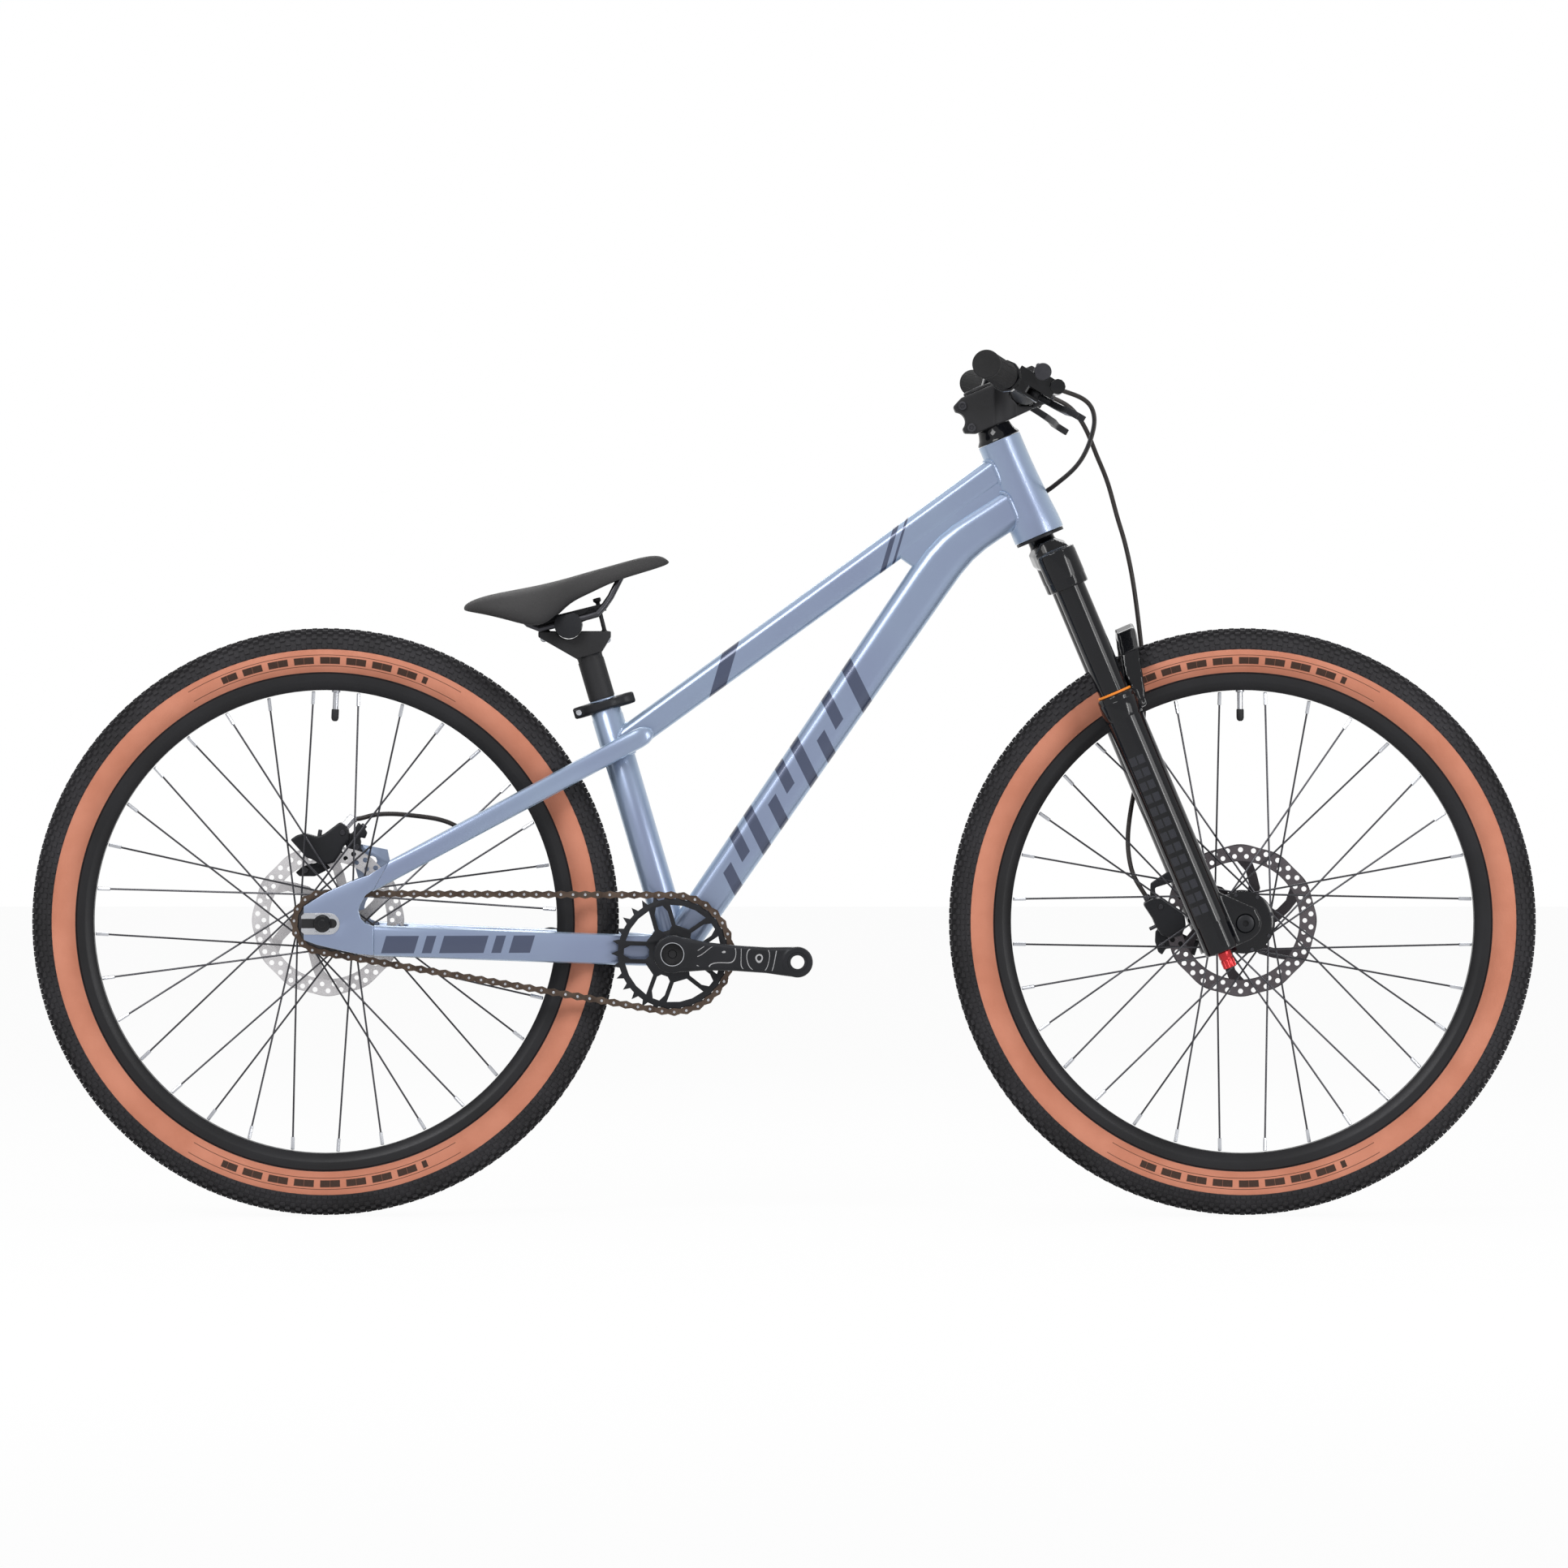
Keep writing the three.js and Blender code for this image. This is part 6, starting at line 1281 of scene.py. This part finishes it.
def crank_finish(name, along, lift):
    """Satin black with fine pale contour lines, as a plain generic pattern."""
    material = own_copy("alloy", name)
    tree = material.node_tree
    place = object_place(tree)
    distance = along_direction(tree, place, BOTTOM_BRACKET, along)
    height = along_direction(tree, place, BOTTOM_BRACKET, lift)
    hills = add_node(tree, "ShaderNodeTexNoise", Vector=place, Scale=30.0, Detail=0.0).outputs["Fac"]
    levels = calculate(tree, "PINGPONG", calculate(tree, "MULTIPLY", hills, 9.0), 0.5)
    fine = calculate(tree, "LESS_THAN", levels, 0.05)
    middle = within(tree, height, -0.0105, 0.0105)
    zone = calculate(tree, "MULTIPLY", within(tree, distance, 0.026, 0.108), middle)
    reach = calculate(tree, "ABSOLUTE", add_node(tree, "ShaderNodeSeparateXYZ", Vector=place).outputs["Y"])
    slope = calculate(tree, "MULTIPLY_ADD", distance, 0.08, 0.0712)
    outward = calculate(tree, "GREATER_THAN", reach, slope)
    mask = calculate(tree, "MULTIPLY", calculate(tree, "MULTIPLY", zone, fine), outward)
    return base_mix(material, calculate(tree, "MULTIPLY", mask, 0.7), CONTOUR_GREY)


for side, label in SIDES:
    arm, along, lift = make_crank(side, label)
    printed = crank_finish(f"crank_{label}_print", along, lift)
    settle(arm, "crankset", printed, [f"crank_{label}"], 34)
    ring = turned(f"axle_ring_{label}", [
        (11.3, 66), (11.3, 75.2), (11.6, 75.6), (12.3, 75.6), (12.6, 75.2), (12.6, 66),
    ], BOTTOM_BRACKET, SIDEWAYS * side, 48)
    settle(ring, "crankset", "steel")
    plug = turned(f"axle_plug_{label}", [
        (0, 64.8), (11.6, 64.8), (11.6, 74.2), (11.2, 74.2), (10.8, 66.4), (4.6, 66), (4, 67), (0, 67),
    ], BOTTOM_BRACKET, SIDEWAYS * side, 48, False)
    settle(plug, "crankset", "matte")
axle = turned("crank_axle_tube", [
    (9, -64.6), (11.9, -64.6), (11.9, 64.6), (9, 64.6),
], BOTTOM_BRACKET, SIDEWAYS, 48)
settle(axle, "crankset", "dark_steel")
print("drivetrain pieces", len(PIECES))

# %% [markdown]
# The fork's lower legs, arch and dropouts are one magnesium casting. A remeshed copy of its solid gives the
# soft inner corners of the casting, and turned sleeves over the legs give the smooth gloss of the machined
# and painted tubes, with the seals on top.

# %% Fork
LEG_OUT, LEG_FORWARD = 62, 6.4
LEG_GREY = (40, 41, 47)
LEG_BORE, SOCKET_CUT = 16.5, 23.4
KNOB_FLUTES, FLUTE_PLACE, FLUTE_RADIUS = 12, 7.9, 1.2


def leg_point(side, drop):
    return steering_point(LEG_FORWARD, side * LEG_OUT, -drop)


leg_paint = add_bars(own_copy("fork", "fork_leg_paint"), leg_point(0, 0), -STEER_UP, STEER_FORWARD, [
    (start, start + 9, low, high) for start in range(250, 424, 14) for low, high in ((-14, -7), (-5.4, 1.6))
], LEG_GREY, 0)
casting = cast_copy("fork_lowers", "fork_lowers_cast", 1.6, 9)
for side in (-1, 1):
    drill(casting, leg_point(side, 176), leg_point(side, 386), LEG_BORE, 48)
sleeves = []
for side in (-1, 1):
    sleeves.append(turned("leg_sleeve", [
        (16.6, 196), (19.6, 196), (19.9, 199), (19.75, 206), (19.75, 330), (19.75, 430), (19.7, 440),
        (16.6, 440),
    ], leg_point(side, 0), -STEER_UP, 72))
    sleeves.append(turned("leg_crown", [
        (16.5, 183.2), (17.6, 183.2), (18, 184), (18, 188), (20.2, 189.4), (20.7, 190.4), (20.7, 206),
        (19.8, 209), (16.5, 209),
    ], leg_point(side, 0), -STEER_UP, 72))
lowers = joined("fork_lowers_cast", [casting] + sleeves)
settle(lowers, "fork_lower", leg_paint, ["fork_lowers"], 40)
for side, label in SIDES:
    tube = turned(f"stanchion_{label}_polished", [
        (13.6, 23), (16, 23), (16, 299), (15.4, 300), (13.6, 300),
    ], leg_point(side, 0), -STEER_UP, 72)
    settle(tube, "steering", "fork", [f"stanchion_{label}"])
    seal = turned(f"dust_seal_{label}", [
        (16.2, 181.6), (17, 181.2), (17.8, 182), (17.2, 183.4), (18.2, 184.4), (17.4, 185.6), (18.2, 186.8),
        (18.2, 189), (16.2, 189),
    ], leg_point(side, 0), -STEER_UP, 72)
    settle(seal, "fork_lower", "rubber")

crown = cast_copy("fork_crown", "fork_crown_forged", 1.1, 5)
sockets = [turned("crown_socket", [
    (16.2, 23), (18, 21.4), (20.2, 23), (20.9, 26), (20.9, 50), (20.5, 52), (18.9, 61), (18.2, 62.4),
    (16.2, 62.4),
], leg_point(side, 0), -STEER_UP, 72) for side in (-1, 1)]
for side in (-1, 1):
    drill(crown, leg_point(side, -8), leg_point(side, 22), SOCKET_CUT, 48)
flow(crown, 1.0, 5)
caps = [turned("leg_cap", [
    (0, 19.6), (9, 19.6), (10.4, 20.2), (12, 20.4), (15.8, 21), (16.4, 22), (16.4, 25), (0, 25),
], leg_point(side, 0), -STEER_UP, 48, False) for side in (-1, 1)]
settle(joined("fork_crown_forged", [crown] + sockets), "steering", "fork", ["fork_crown"], 40)
settle(joined("fork_leg_caps", caps), "steering", "alloy")

ring = turned("travel_ring_moulded", [
    (16.3, 180.1), (17.4, 180), (18, 180.6), (18, 182.1), (17.4, 182.7), (16.3, 182.7),
], leg_point(-1, 0), -STEER_UP, 64)
settle(ring, "fork_lower", "ring", ["travel_ring"])

knob = turned("rebound_knob_turned", [
    (0, 472.4), (6.4, 472.4), (7.1, 473.2), (7.2, 479), (6.6, 480), (6.6, 481), (7.2, 482), (7.2, 489.4),
    (6.6, 490.2), (0, 490.2),
], leg_point(-1, 0), -STEER_UP, 48, False)
for flute in range(KNOB_FLUTES):
    turn = 2 * math.pi * flute / KNOB_FLUTES
    offset = (STEER_FORWARD * math.cos(turn) + SIDEWAYS * math.sin(turn)) * FLUTE_PLACE * MM
    drill(knob, leg_point(-1, 481.4) + offset, leg_point(-1, 494) + offset, FLUTE_RADIUS, 8)
settle(knob, "rebound_adjuster", "knob", ["rebound_knob"])

bolt = turned("front_axle_bolt", [
    (0, -69.6), (3.2, -69.6), (3.2, -73.1), (8.2, -73.1), (8.9, -72.6), (8.9, -70.4), (7.4, -70.2), (7.4, 72),
    (6.4, 73), (0, 73),
], FRONT_AXLE, SIDEWAYS, 48, False)
settle(bolt, "fork_lower", "alloy", ["front_axle"])

# %% [markdown]
# The front brake's caliper is cast in the same way as the rear one, round a rotor that turns nearer to the
# middle. Its foot takes two bolts on the fork's left leg, and a boot covers the place where the hose comes in.

# %% Front brake caliper
FRONT_CALIPER = [
    (377.8, 325.6), (386.9, 329.8), (398.3, 329.8), (411, 319.9), (419.8, 311.4), (421, 301.4), (416.7, 291.5),
    (406.8, 288.1), (395.4, 291.5), (389.2, 301.4), (386.3, 308.5), (377, 322.7),
]
FRONT_BRIDGE = [
    (377.8, 325.6), (386.9, 329.8), (397, 329.8), (395.2, 310), (395, 301), (389.2, 301.4), (386.3, 308.5),
    (377, 322.7),
]
FRONT_FOOT = [
    (389.8, 295.8), (389.2, 284.4), (392.6, 273.1), (396.8, 270.2), (400.5, 276.5), (411, 277.3),
    (423.8, 273.1), (430.9, 268.8), (435.7, 284.4), (416.7, 292.9),
]
FRONT_TAB = [
    (384.6, 345.4), (405.4, 359.6), (413.9, 355.4), (411, 347.4), (389.2, 340.6), (391, 326), (384, 328),
]
front_caliper = cast([
    plate("half", FRONT_CALIPER, 25, 36.6), plate("half", FRONT_CALIPER, 43, 54),
    plate("bridge", FRONT_BRIDGE, 35, 45),
    plate("foot", FRONT_FOOT, 43, 51), plate("tab", FRONT_TAB, 43, 51),
], "front_caliper_cast")
settle(front_caliper, "fork_lower", "alloy", ["front_caliper"], 40)
front_bolts = [
    bolt_head("bolt", mm(394.6, 25.2, 321), -SIDEWAYS, 3, 1.6),
    bolt_head("bolt", mm(396.4, 43.2, 281), -SIDEWAYS, 3.4, 2.4),
    bolt_head("bolt", mm(424, 43.2, 277.5), -SIDEWAYS, 2.6, 2),
    peg("boot", mm(379.6, 48.4, 333), mm(386.6, 47.6, 319), 3.8, 20, 1.2),
    peg("bleed", mm(390.4, 32, 301), mm(383, 32, 297.6), 2, 14, 0.5),
]
settle(joined("front_caliper_bolts", front_bolts), "fork_lower", "dark_steel")

# %% [markdown]
# The headset's two bearings sit in the ends of the head tube. Only a thin rim of each is ever seen, so copies
# of the solids with a small chamfer are enough.

# %% Headset bearings
dress("headset_bearing_lower", "frame", "alloy", 0.4)
dress("headset_bearing_upper", "frame", "alloy", 0.4)
print("fork pieces", len(PIECES))

# %% [markdown]
# The cockpit is the stem, its faceplate, the bar, the grips and the two brake levers. The bar is a tube whose
# diameter falls from its clamp to its ends, so it is drawn as a curve with a radius at each point.

# %% Handlebar and grips
BAR_CLAMP_RADIUS, BAR_THINNING, BAR_TAPER = 15.9, 4.8, 64


def bar_radius(distance):
    share = min(max((abs(distance) - BAR_STRAIGHT) / BAR_TAPER, 0), 1)
    return BAR_CLAMP_RADIUS - BAR_THINNING * (3 * share ** 2 - 2 * share ** 3)


stations = [-345] + list(range(-340, 341, 10)) + [345]
handlebar = drawn_curve(
    "handlebar_drawn", [bar_point(station) for station in stations], 1,
    [bar_radius(station) for station in stations], "POLY", bevel_steps=8,
)
settle(handlebar, "steering", "matte", ["handlebar"])

GRIP_START, RIB_PITCH = 220, 4.4
GRIP_GROOVES, GROOVE_PLACE, GROOVE_RADIUS = 12, 14.3, 0.9
for side, label in SIDES:
    start = bar_point(side * GRIP_START)
    axis = (bar_point(side * BAR_HALF) - start).normalized()
    length = (bar_point(side * BAR_HALF) - start).length / MM
    profile = [(11.4, 0.3), (14.2, 0.3), (14.5, 1), (14.5, 4), (14, 5)]
    rib = 8.0
    while rib < length - 12:
        profile += [(13.2, rib), (14.1, rib + 0.8), (14.1, rib + 2.2), (13.2, rib + 3)]
        rib += RIB_PITCH
    profile += [(radius, length - back) for radius, back in (
        (14, 7), (14.5, 6), (14.5, 3.4), (13.6, 2.4), (0, 2.2), (0, 5.6), (11.4, 5.6),
    )]
    grip = turned(f"grip_{label}_moulded", profile, start, axis, 48)
    across = axis.orthogonal().normalized()
    for groove in range(GRIP_GROOVES):
        turn = 2 * math.pi * groove / GRIP_GROOVES
        offset = (across * math.cos(turn) + axis.cross(across) * math.sin(turn)) * GROOVE_PLACE * MM
        first, last = start + axis * 7 * MM + offset, start + axis * (length - 9) * MM + offset
        drill(grip, first, last, GROOVE_RADIUS, 6)
    settle(grip, "steering", "grip", [f"grip_{label}"], 30)

# %% [markdown]
# The stem is forged and then milled: a round pocket goes through its middle, and two long hollows thin its
# sides. Both are cut from the flowed copy, and a second remesh softens their edges. The cover under it and the
# cap above it are turned.

# %% Stem and headset cover
POCKET_RADIUS, HOLLOW_RADIUS = 10, 17.5
stem = cast_copy("stem", "stem_forged", 0.9, 5)
drill(stem, steering_point(-34.5, -40, 143), steering_point(-34.5, 40, 143), POCKET_RADIUS, 40)
for side in (-1, 1):
    drill(stem, steering_point(6, side * 35, 108), steering_point(42, side * 35, 190), HOLLOW_RADIUS, 40)
flow(stem, 0.9, 6)
settle(stem, "steering", "matte", ["stem"], 40)
dress("stem_faceplate", "steering", "matte", 1.2, 32, 3)
cover = turned("headset_cover_turned", [
    (14.6, 108.4), (22.6, 108.4), (23, 109), (22.6, 110.4), (20, 114), (18.2, 119), (17.5, 123.1),
    (14.6, 123.1),
], HEAD_FOOT, STEER_UP, 64)
settle(cover, "steering", "fork", ["headset_cover"])
top_cap = turned("stem_top_cap", [
    (0, 163.9), (15.4, 163.9), (16, 164.6), (15.6, 166.6), (14.4, 167.4), (5.4, 167.6), (4.8, 166.6),
    (0, 166.6),
], HEAD_FOOT, STEER_UP, 48, False)
cap_bolt = peg("stem_cap_bolt", HEAD_FOOT + STEER_UP * 0.1664, HEAD_FOOT + STEER_UP * 0.1682, 4.4, 24, 0.5)
settle(top_cap, "steering", "matte")
settle(cap_bolt, "steering", "dark_steel")
stem_bolts = [
    bolt_head("stem_bolt", steering_point(-22, -21.4, up), -SIDEWAYS, 4.6, 3.6) for up in (130.7, 155.4)
] + [
    bolt_head("stem_bolt", steering_point(66.4, side * 15, up), STEER_FORWARD, 4, 3)
    for side in (-1, 1) for up in (128.5, 162)
]
settle(joined("stem_bolts", stem_bolts), "steering", "dark_steel")

# %% [markdown]
# Each brake lever is a forged body with a clamp, a reservoir and a piston barrel, and a blade on a pin. The
# bodies keep their solids' outlines with rounded edges, and caps, bolts and a bleed screw are added.

# %% Brake levers
for side, label in SIDES:
    dress(f"master_cylinder_{label}", "steering", "fork", 1.0, 32, 3)
    dress(f"brake_lever_{label}", f"lever_{label}", "alloy", 1.6, 40, 3)
    caps = [
        turned("barrel_cap", [
            (0, 0), (8.6, 0), (9, 0.6), (9, 3), (8.2, 3.8), (0, 3.8),
        ], lever_point(side, 30, 11.4, 23), SIDEWAYS * side, 32, False),
        bolt_head("bleed_screw", lever_point(side, 30, -12, 31.2), LEVER_UP, 3, 1.6),
        bolt_head("pivot_cap", lever_point(side, 35, -13, 6.9), LEVER_UP, 3.6, 2),
    ]
    settle(joined(f"brake_caps_{label}", caps), "steering", "dark_steel")
print("cockpit pieces", len(PIECES))

# %% [markdown]
# Brake hoses are held at both ends and along the frame, so their routes are the CAD model's own points, and
# each one is drawn as a smooth round tube along them. They keep this shape when the bicycle moves.

# %% Brake hoses
HOSE_RADIUS = 2.45
REAR_HOSE_FRONT = [
    (281, -151.6, 859), (281, -145, 859), (294, -136, 855), (306, -128, 851), (315, -118, 845),
    (320, -105, 837), (322, -88, 826), (320, -66, 814), (316, -40, 800), (309, -12, 786), (299, 10, 775),
    (289, 26, 767), (278, 35, 758), (261, 38, 748), (246, 31, 739), (236, 18, 733),
]
REAR_HOSE_REAR = [
    (-333, 56, 399), (-344, 57, 405), (-353, 57.8, 409.9), (-370, 59, 414), (-389, 60, 416), (-406, 60, 418),
    (-423, 60, 418), (-436, 60, 416), (-447, 60, 412), (-457.8, 60, 412),
]
FRONT_HOSE = [
    (281, 151.6, 859), (281, 148, 859), (295, 143, 853), (305, 140, 846), (315, 137, 833), (323, 132, 817),
    (330, 126, 797), (337, 120, 781), (344, 114, 762), (352, 105, 728), (358, 101, 711), (366, 95, 676),
    (371, 91, 642), (375, 89, 608), (378, 88, 580), (380, 88, 540), (378, 88, 500), (373, 87, 460),
    (366, 80, 428), (362, 70, 403), (361, 61, 385), (363, 56, 367), (367, 52, 351), (376, 49, 338),
    (382.8, 48, 327.2),
]
for name, route, body, node in (
    ("rear_hose_front_drawn", REAR_HOSE_FRONT, "frame", "rear_brake_hose_front"),
    ("rear_hose_rear_drawn", REAR_HOSE_REAR, "frame", "rear_brake_hose_rear"),
    ("front_hose_drawn", FRONT_HOSE, "steering", "front_brake_hose"),
):
    hose = drawn_curve(name, [mm(*place) for place in route], HOSE_RADIUS, order=4)
    settle(hose, body, "hose", [node], 60)
print("hoses drawn")

# %% [markdown]
# A tube in a tube carries the saddle. The post is drawn and anodised, its head is forged in one with it, and
# a barrel clamp with two bolts holds the saddle's rails at any tilt.

# %% Seatpost and clamp
CRADLE_RADIUS = 14.9
post = cast_copy("seatpost", "seatpost_forged", 1.0, 5)
drill(post, CRADLE - SIDEWAYS * 0.04, CRADLE + SIDEWAYS * 0.04, CRADLE_RADIUS, 64)
settle(post, "post", "matte", ["seatpost"], 40)
sleeve = turned("seatpost_sleeve", [(13, 277), (13.72, 277), (13.72, 318), (13, 318)], SEAT_FOOT, SEAT_UP, 64)
settle(sleeve, "post", "matte")
dress("saddle_clamp", "tilt_clamp", "alloy", 0.8)
clamp_top = cast([plate("clamp_top", [
    (-240.4, 616.3), (-209.2, 630), (-204.2, 635.1), (-196.7, 635.8), (-194.2, 628.8), (-200.6, 623.3),
    (-211.7, 618.9), (-232, 611.6),
], -9, 9)], "rail_clamp_top", 0.9, 5)
settle(clamp_top, "tilt_clamp", "alloy")
nuts = [
    peg("nut", mm(x, -12, z), mm(x, 12, z), 3.6, 18, 0.6) for x, z in ((-250.6, 602), (-184.6, 601))
]
settle(joined("seatpost_barrel_nuts", nuts), "post", "steel")
dress("saddle_rails", "saddle", "dark_steel", 0.6, 60)

# %% [markdown]
# The saddle is a nylon shell with a thin pad and a stretched cover. It is broad and flat at the back and runs
# to a long raised nose. Its skin is a grid laid over the stations that the CAD solid also uses, closed round
# the underside, and then subdivided until it is smooth.

# %% Saddle
SADDLE_STATIONS = [
    (0, 0.24, 0.19, 0.33), (0.028, 0.31, 0.16, 0.6), (0.115, 0.39, 0.116, 0.88), (0.233, 0.45, 0.028, 0.99),
    (0.352, 0.51, -0.074, 0.955), (0.431, 0.56, 0.021, 0.79), (0.51, 0.615, 0.275, 0.576),
    (0.609, 0.695, 0.39, 0.417), (0.727, 0.78, 0.556, 0.333), (0.866, 0.889, 0.667, 0.303),
    (0.957, 0.92, 0.744, 0.242), (1, 0.83, 0.8, 0.12),
]
HALF_SECTION = [
    (0, 1), (0.22, 1), (0.45, 0.985), (0.66, 0.94), (0.82, 0.83), (0.93, 0.66), (0.99, 0.42), (0.97, 0.16),
    (0.86, 0.02),
]
SADDLE_LENGTH, SADDLE_HEIGHT, SADDLE_HALF, SADDLE_REAR = 214.6, 80, 66, 109.4
LIP_SHARE, BELLY_SHARE = 0.12, 0.6
LIP_OUT, BELLY_OUT = 0.74, 0.62
rows = []
for place, top_share, skirt_share, width in SADDLE_STATIONS:
    x = CRADLE.x / MM - SADDLE_REAR + place * SADDLE_LENGTH
    crest = CRADLE.z / MM + top_share * SADDLE_HEIGHT
    skirt = CRADLE.z / MM + skirt_share * SADDLE_HEIGHT
    half = [
        (share_out * width * SADDLE_HALF, skirt + share_up * (crest - skirt))
        for share_out, share_up in HALF_SECTION
    ]
    belly = skirt + BELLY_SHARE * (crest - skirt)
    lip = skirt + LIP_SHARE * (crest - skirt)
    under = [(LIP_OUT * width * SADDLE_HALF, lip), (BELLY_OUT * width * SADDLE_HALF, belly), (0, belly)]
    ring = half + under
    ring = ring + [(-y, z) for y, z in reversed(ring[1:-1])]
    rows.append([mm(x, y, z) for y, z in ring])
around = len(rows[0])
alone()
bpy.ops.mesh.primitive_cylinder_add(vertices=around, radius=0.03, depth=0.1, end_fill_type="NOTHING")
saddle = bpy.context.object
saddle.name = "saddle_cover_stitched"
bpy.ops.object.mode_set(mode="EDIT")
bpy.ops.mesh.select_all(action="SELECT")
bpy.ops.mesh.delete(type="VERT")
bpy.ops.object.mode_set(mode="OBJECT")
points = [point for row in rows for point in row]
faces = []
for row in range(len(rows) - 1):
    for k in range(around):
        after = (k + 1) % around
        low, high = row * around, (row + 1) * around
        faces.append((low + k, low + after, high + after, high + k))
faces.append(tuple(range(around)))
faces.append(tuple((len(rows) - 1) * around + k for k in reversed(range(around))))
saddle.data.from_pydata([tuple(point) for point in points], [], faces)
merge_and_turn_out(saddle)
apply_modifier(saddle, "SUBSURF", levels=2, render_levels=2)
settle(saddle, "saddle", "skin", ["saddle_cover"], 60)
print("saddle faces", len(saddle.data.polygons))

# %% [markdown]
# The studio is plain: a pale floor, a backdrop that is full white to the camera, three quarters of the way
# there to glossy reflections and dimmer to all other light, and large soft lamps. The floor glows for the
# camera and in reflections, so it comes out white and a faint shadow still lies on it.

# %% Studio
SKY_LEVEL = 0.45
GLOSSY_SHARE = 0.75
GLOW_SHARE = 0.95
FLOOR_SIZE, FLOOR_GAP = 24, 0.0005
LAMPS = (
    ("key", (-1.6, -2.6, 2.4), (0, 0, 0.45), (1.6, 1.2), 64),
    ("fill", (2.4, -2.2, 1.2), (0, 0, 0.4), (1.4, 1.4), 26),
    ("rim", (0.2, 2.4, 2.2), (0, 0, 0.5), (2.4, 0.8), 20),
    ("top", (0, 0, 2.8), (0, 0, 0.4), (2.4, 1.6), 18),
    ("strip", (1.9, -2.2, 0.9), (0.2, 0, 0.5), (0.12, 1.8), 12),
)


def area_light(name, place, aim, size, power):
    data = bpy.data.lights.new(name, "AREA")
    data.shape = "RECTANGLE"
    data.size, data.size_y = size
    data.energy = power
    lamp = link_new(name, data)
    lamp.location = place
    direction = Vector(aim) - Vector(place)
    lamp.rotation_euler = direction.to_track_quat("-Z", "Y").to_euler()


for lamp_settings in LAMPS:
    area_light(*lamp_settings)

world = bpy.data.worlds.new("studio_world")
world.use_nodes = True
tree = world.node_tree
tree.nodes.clear()
path = add_node(tree, "ShaderNodeLightPath")
seen = calculate(tree, "MAXIMUM", path.outputs["Is Camera Ray"], path.outputs["Is Transmission Ray"])
glossy = calculate(tree, "MULTIPLY", path.outputs["Is Glossy Ray"], GLOSSY_SHARE)
seen = calculate(tree, "MAXIMUM", seen, glossy)
level = calculate(tree, "MULTIPLY_ADD", seen, 1 - SKY_LEVEL, SKY_LEVEL)
sky = add_node(tree, "ShaderNodeBackground", Color=(1, 1, 1, 1), Strength=level)
out = add_node(tree, "ShaderNodeOutputWorld")
tree.links.new(sky.outputs[0], out.inputs["Surface"])
bpy.context.scene.world = world

alone()
bpy.ops.mesh.primitive_plane_add(size=FLOOR_SIZE, location=(0, 0, -FLOOR_GAP))
floor = bpy.context.object
floor.name = "studio_floor"
floor_finish = bpy.data.materials.new("floor_white")
floor_finish.use_nodes = True
tree = floor_finish.node_tree
tree.nodes.clear()
path = add_node(tree, "ShaderNodeLightPath")
seen = calculate(tree, "MAXIMUM", path.outputs["Is Camera Ray"], path.outputs["Is Glossy Ray"])
diffuse = add_node(tree, "ShaderNodeBsdfDiffuse", Color=(0.8, 0.8, 0.8, 1))
glow = add_node(tree, "ShaderNodeEmission", Color=(1, 1, 1, 1), Strength=1.0)
share = calculate(tree, "MULTIPLY", seen, GLOW_SHARE)
mix = add_node(tree, "ShaderNodeMixShader", i0=share, i1=diffuse.outputs[0], i2=glow.outputs[0])
out = add_node(tree, "ShaderNodeOutputMaterial")
tree.links.new(mix.outputs[0], out.inputs["Surface"])
floor.data.materials.append(floor_finish)
bpy.context.scene.view_settings.view_transform = "Standard"
print("studio ready")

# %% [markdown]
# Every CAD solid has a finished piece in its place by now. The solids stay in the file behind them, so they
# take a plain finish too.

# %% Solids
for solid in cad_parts.values():
    solid.data.materials.clear()
    solid.data.materials.append(FINISHES["alloy"])
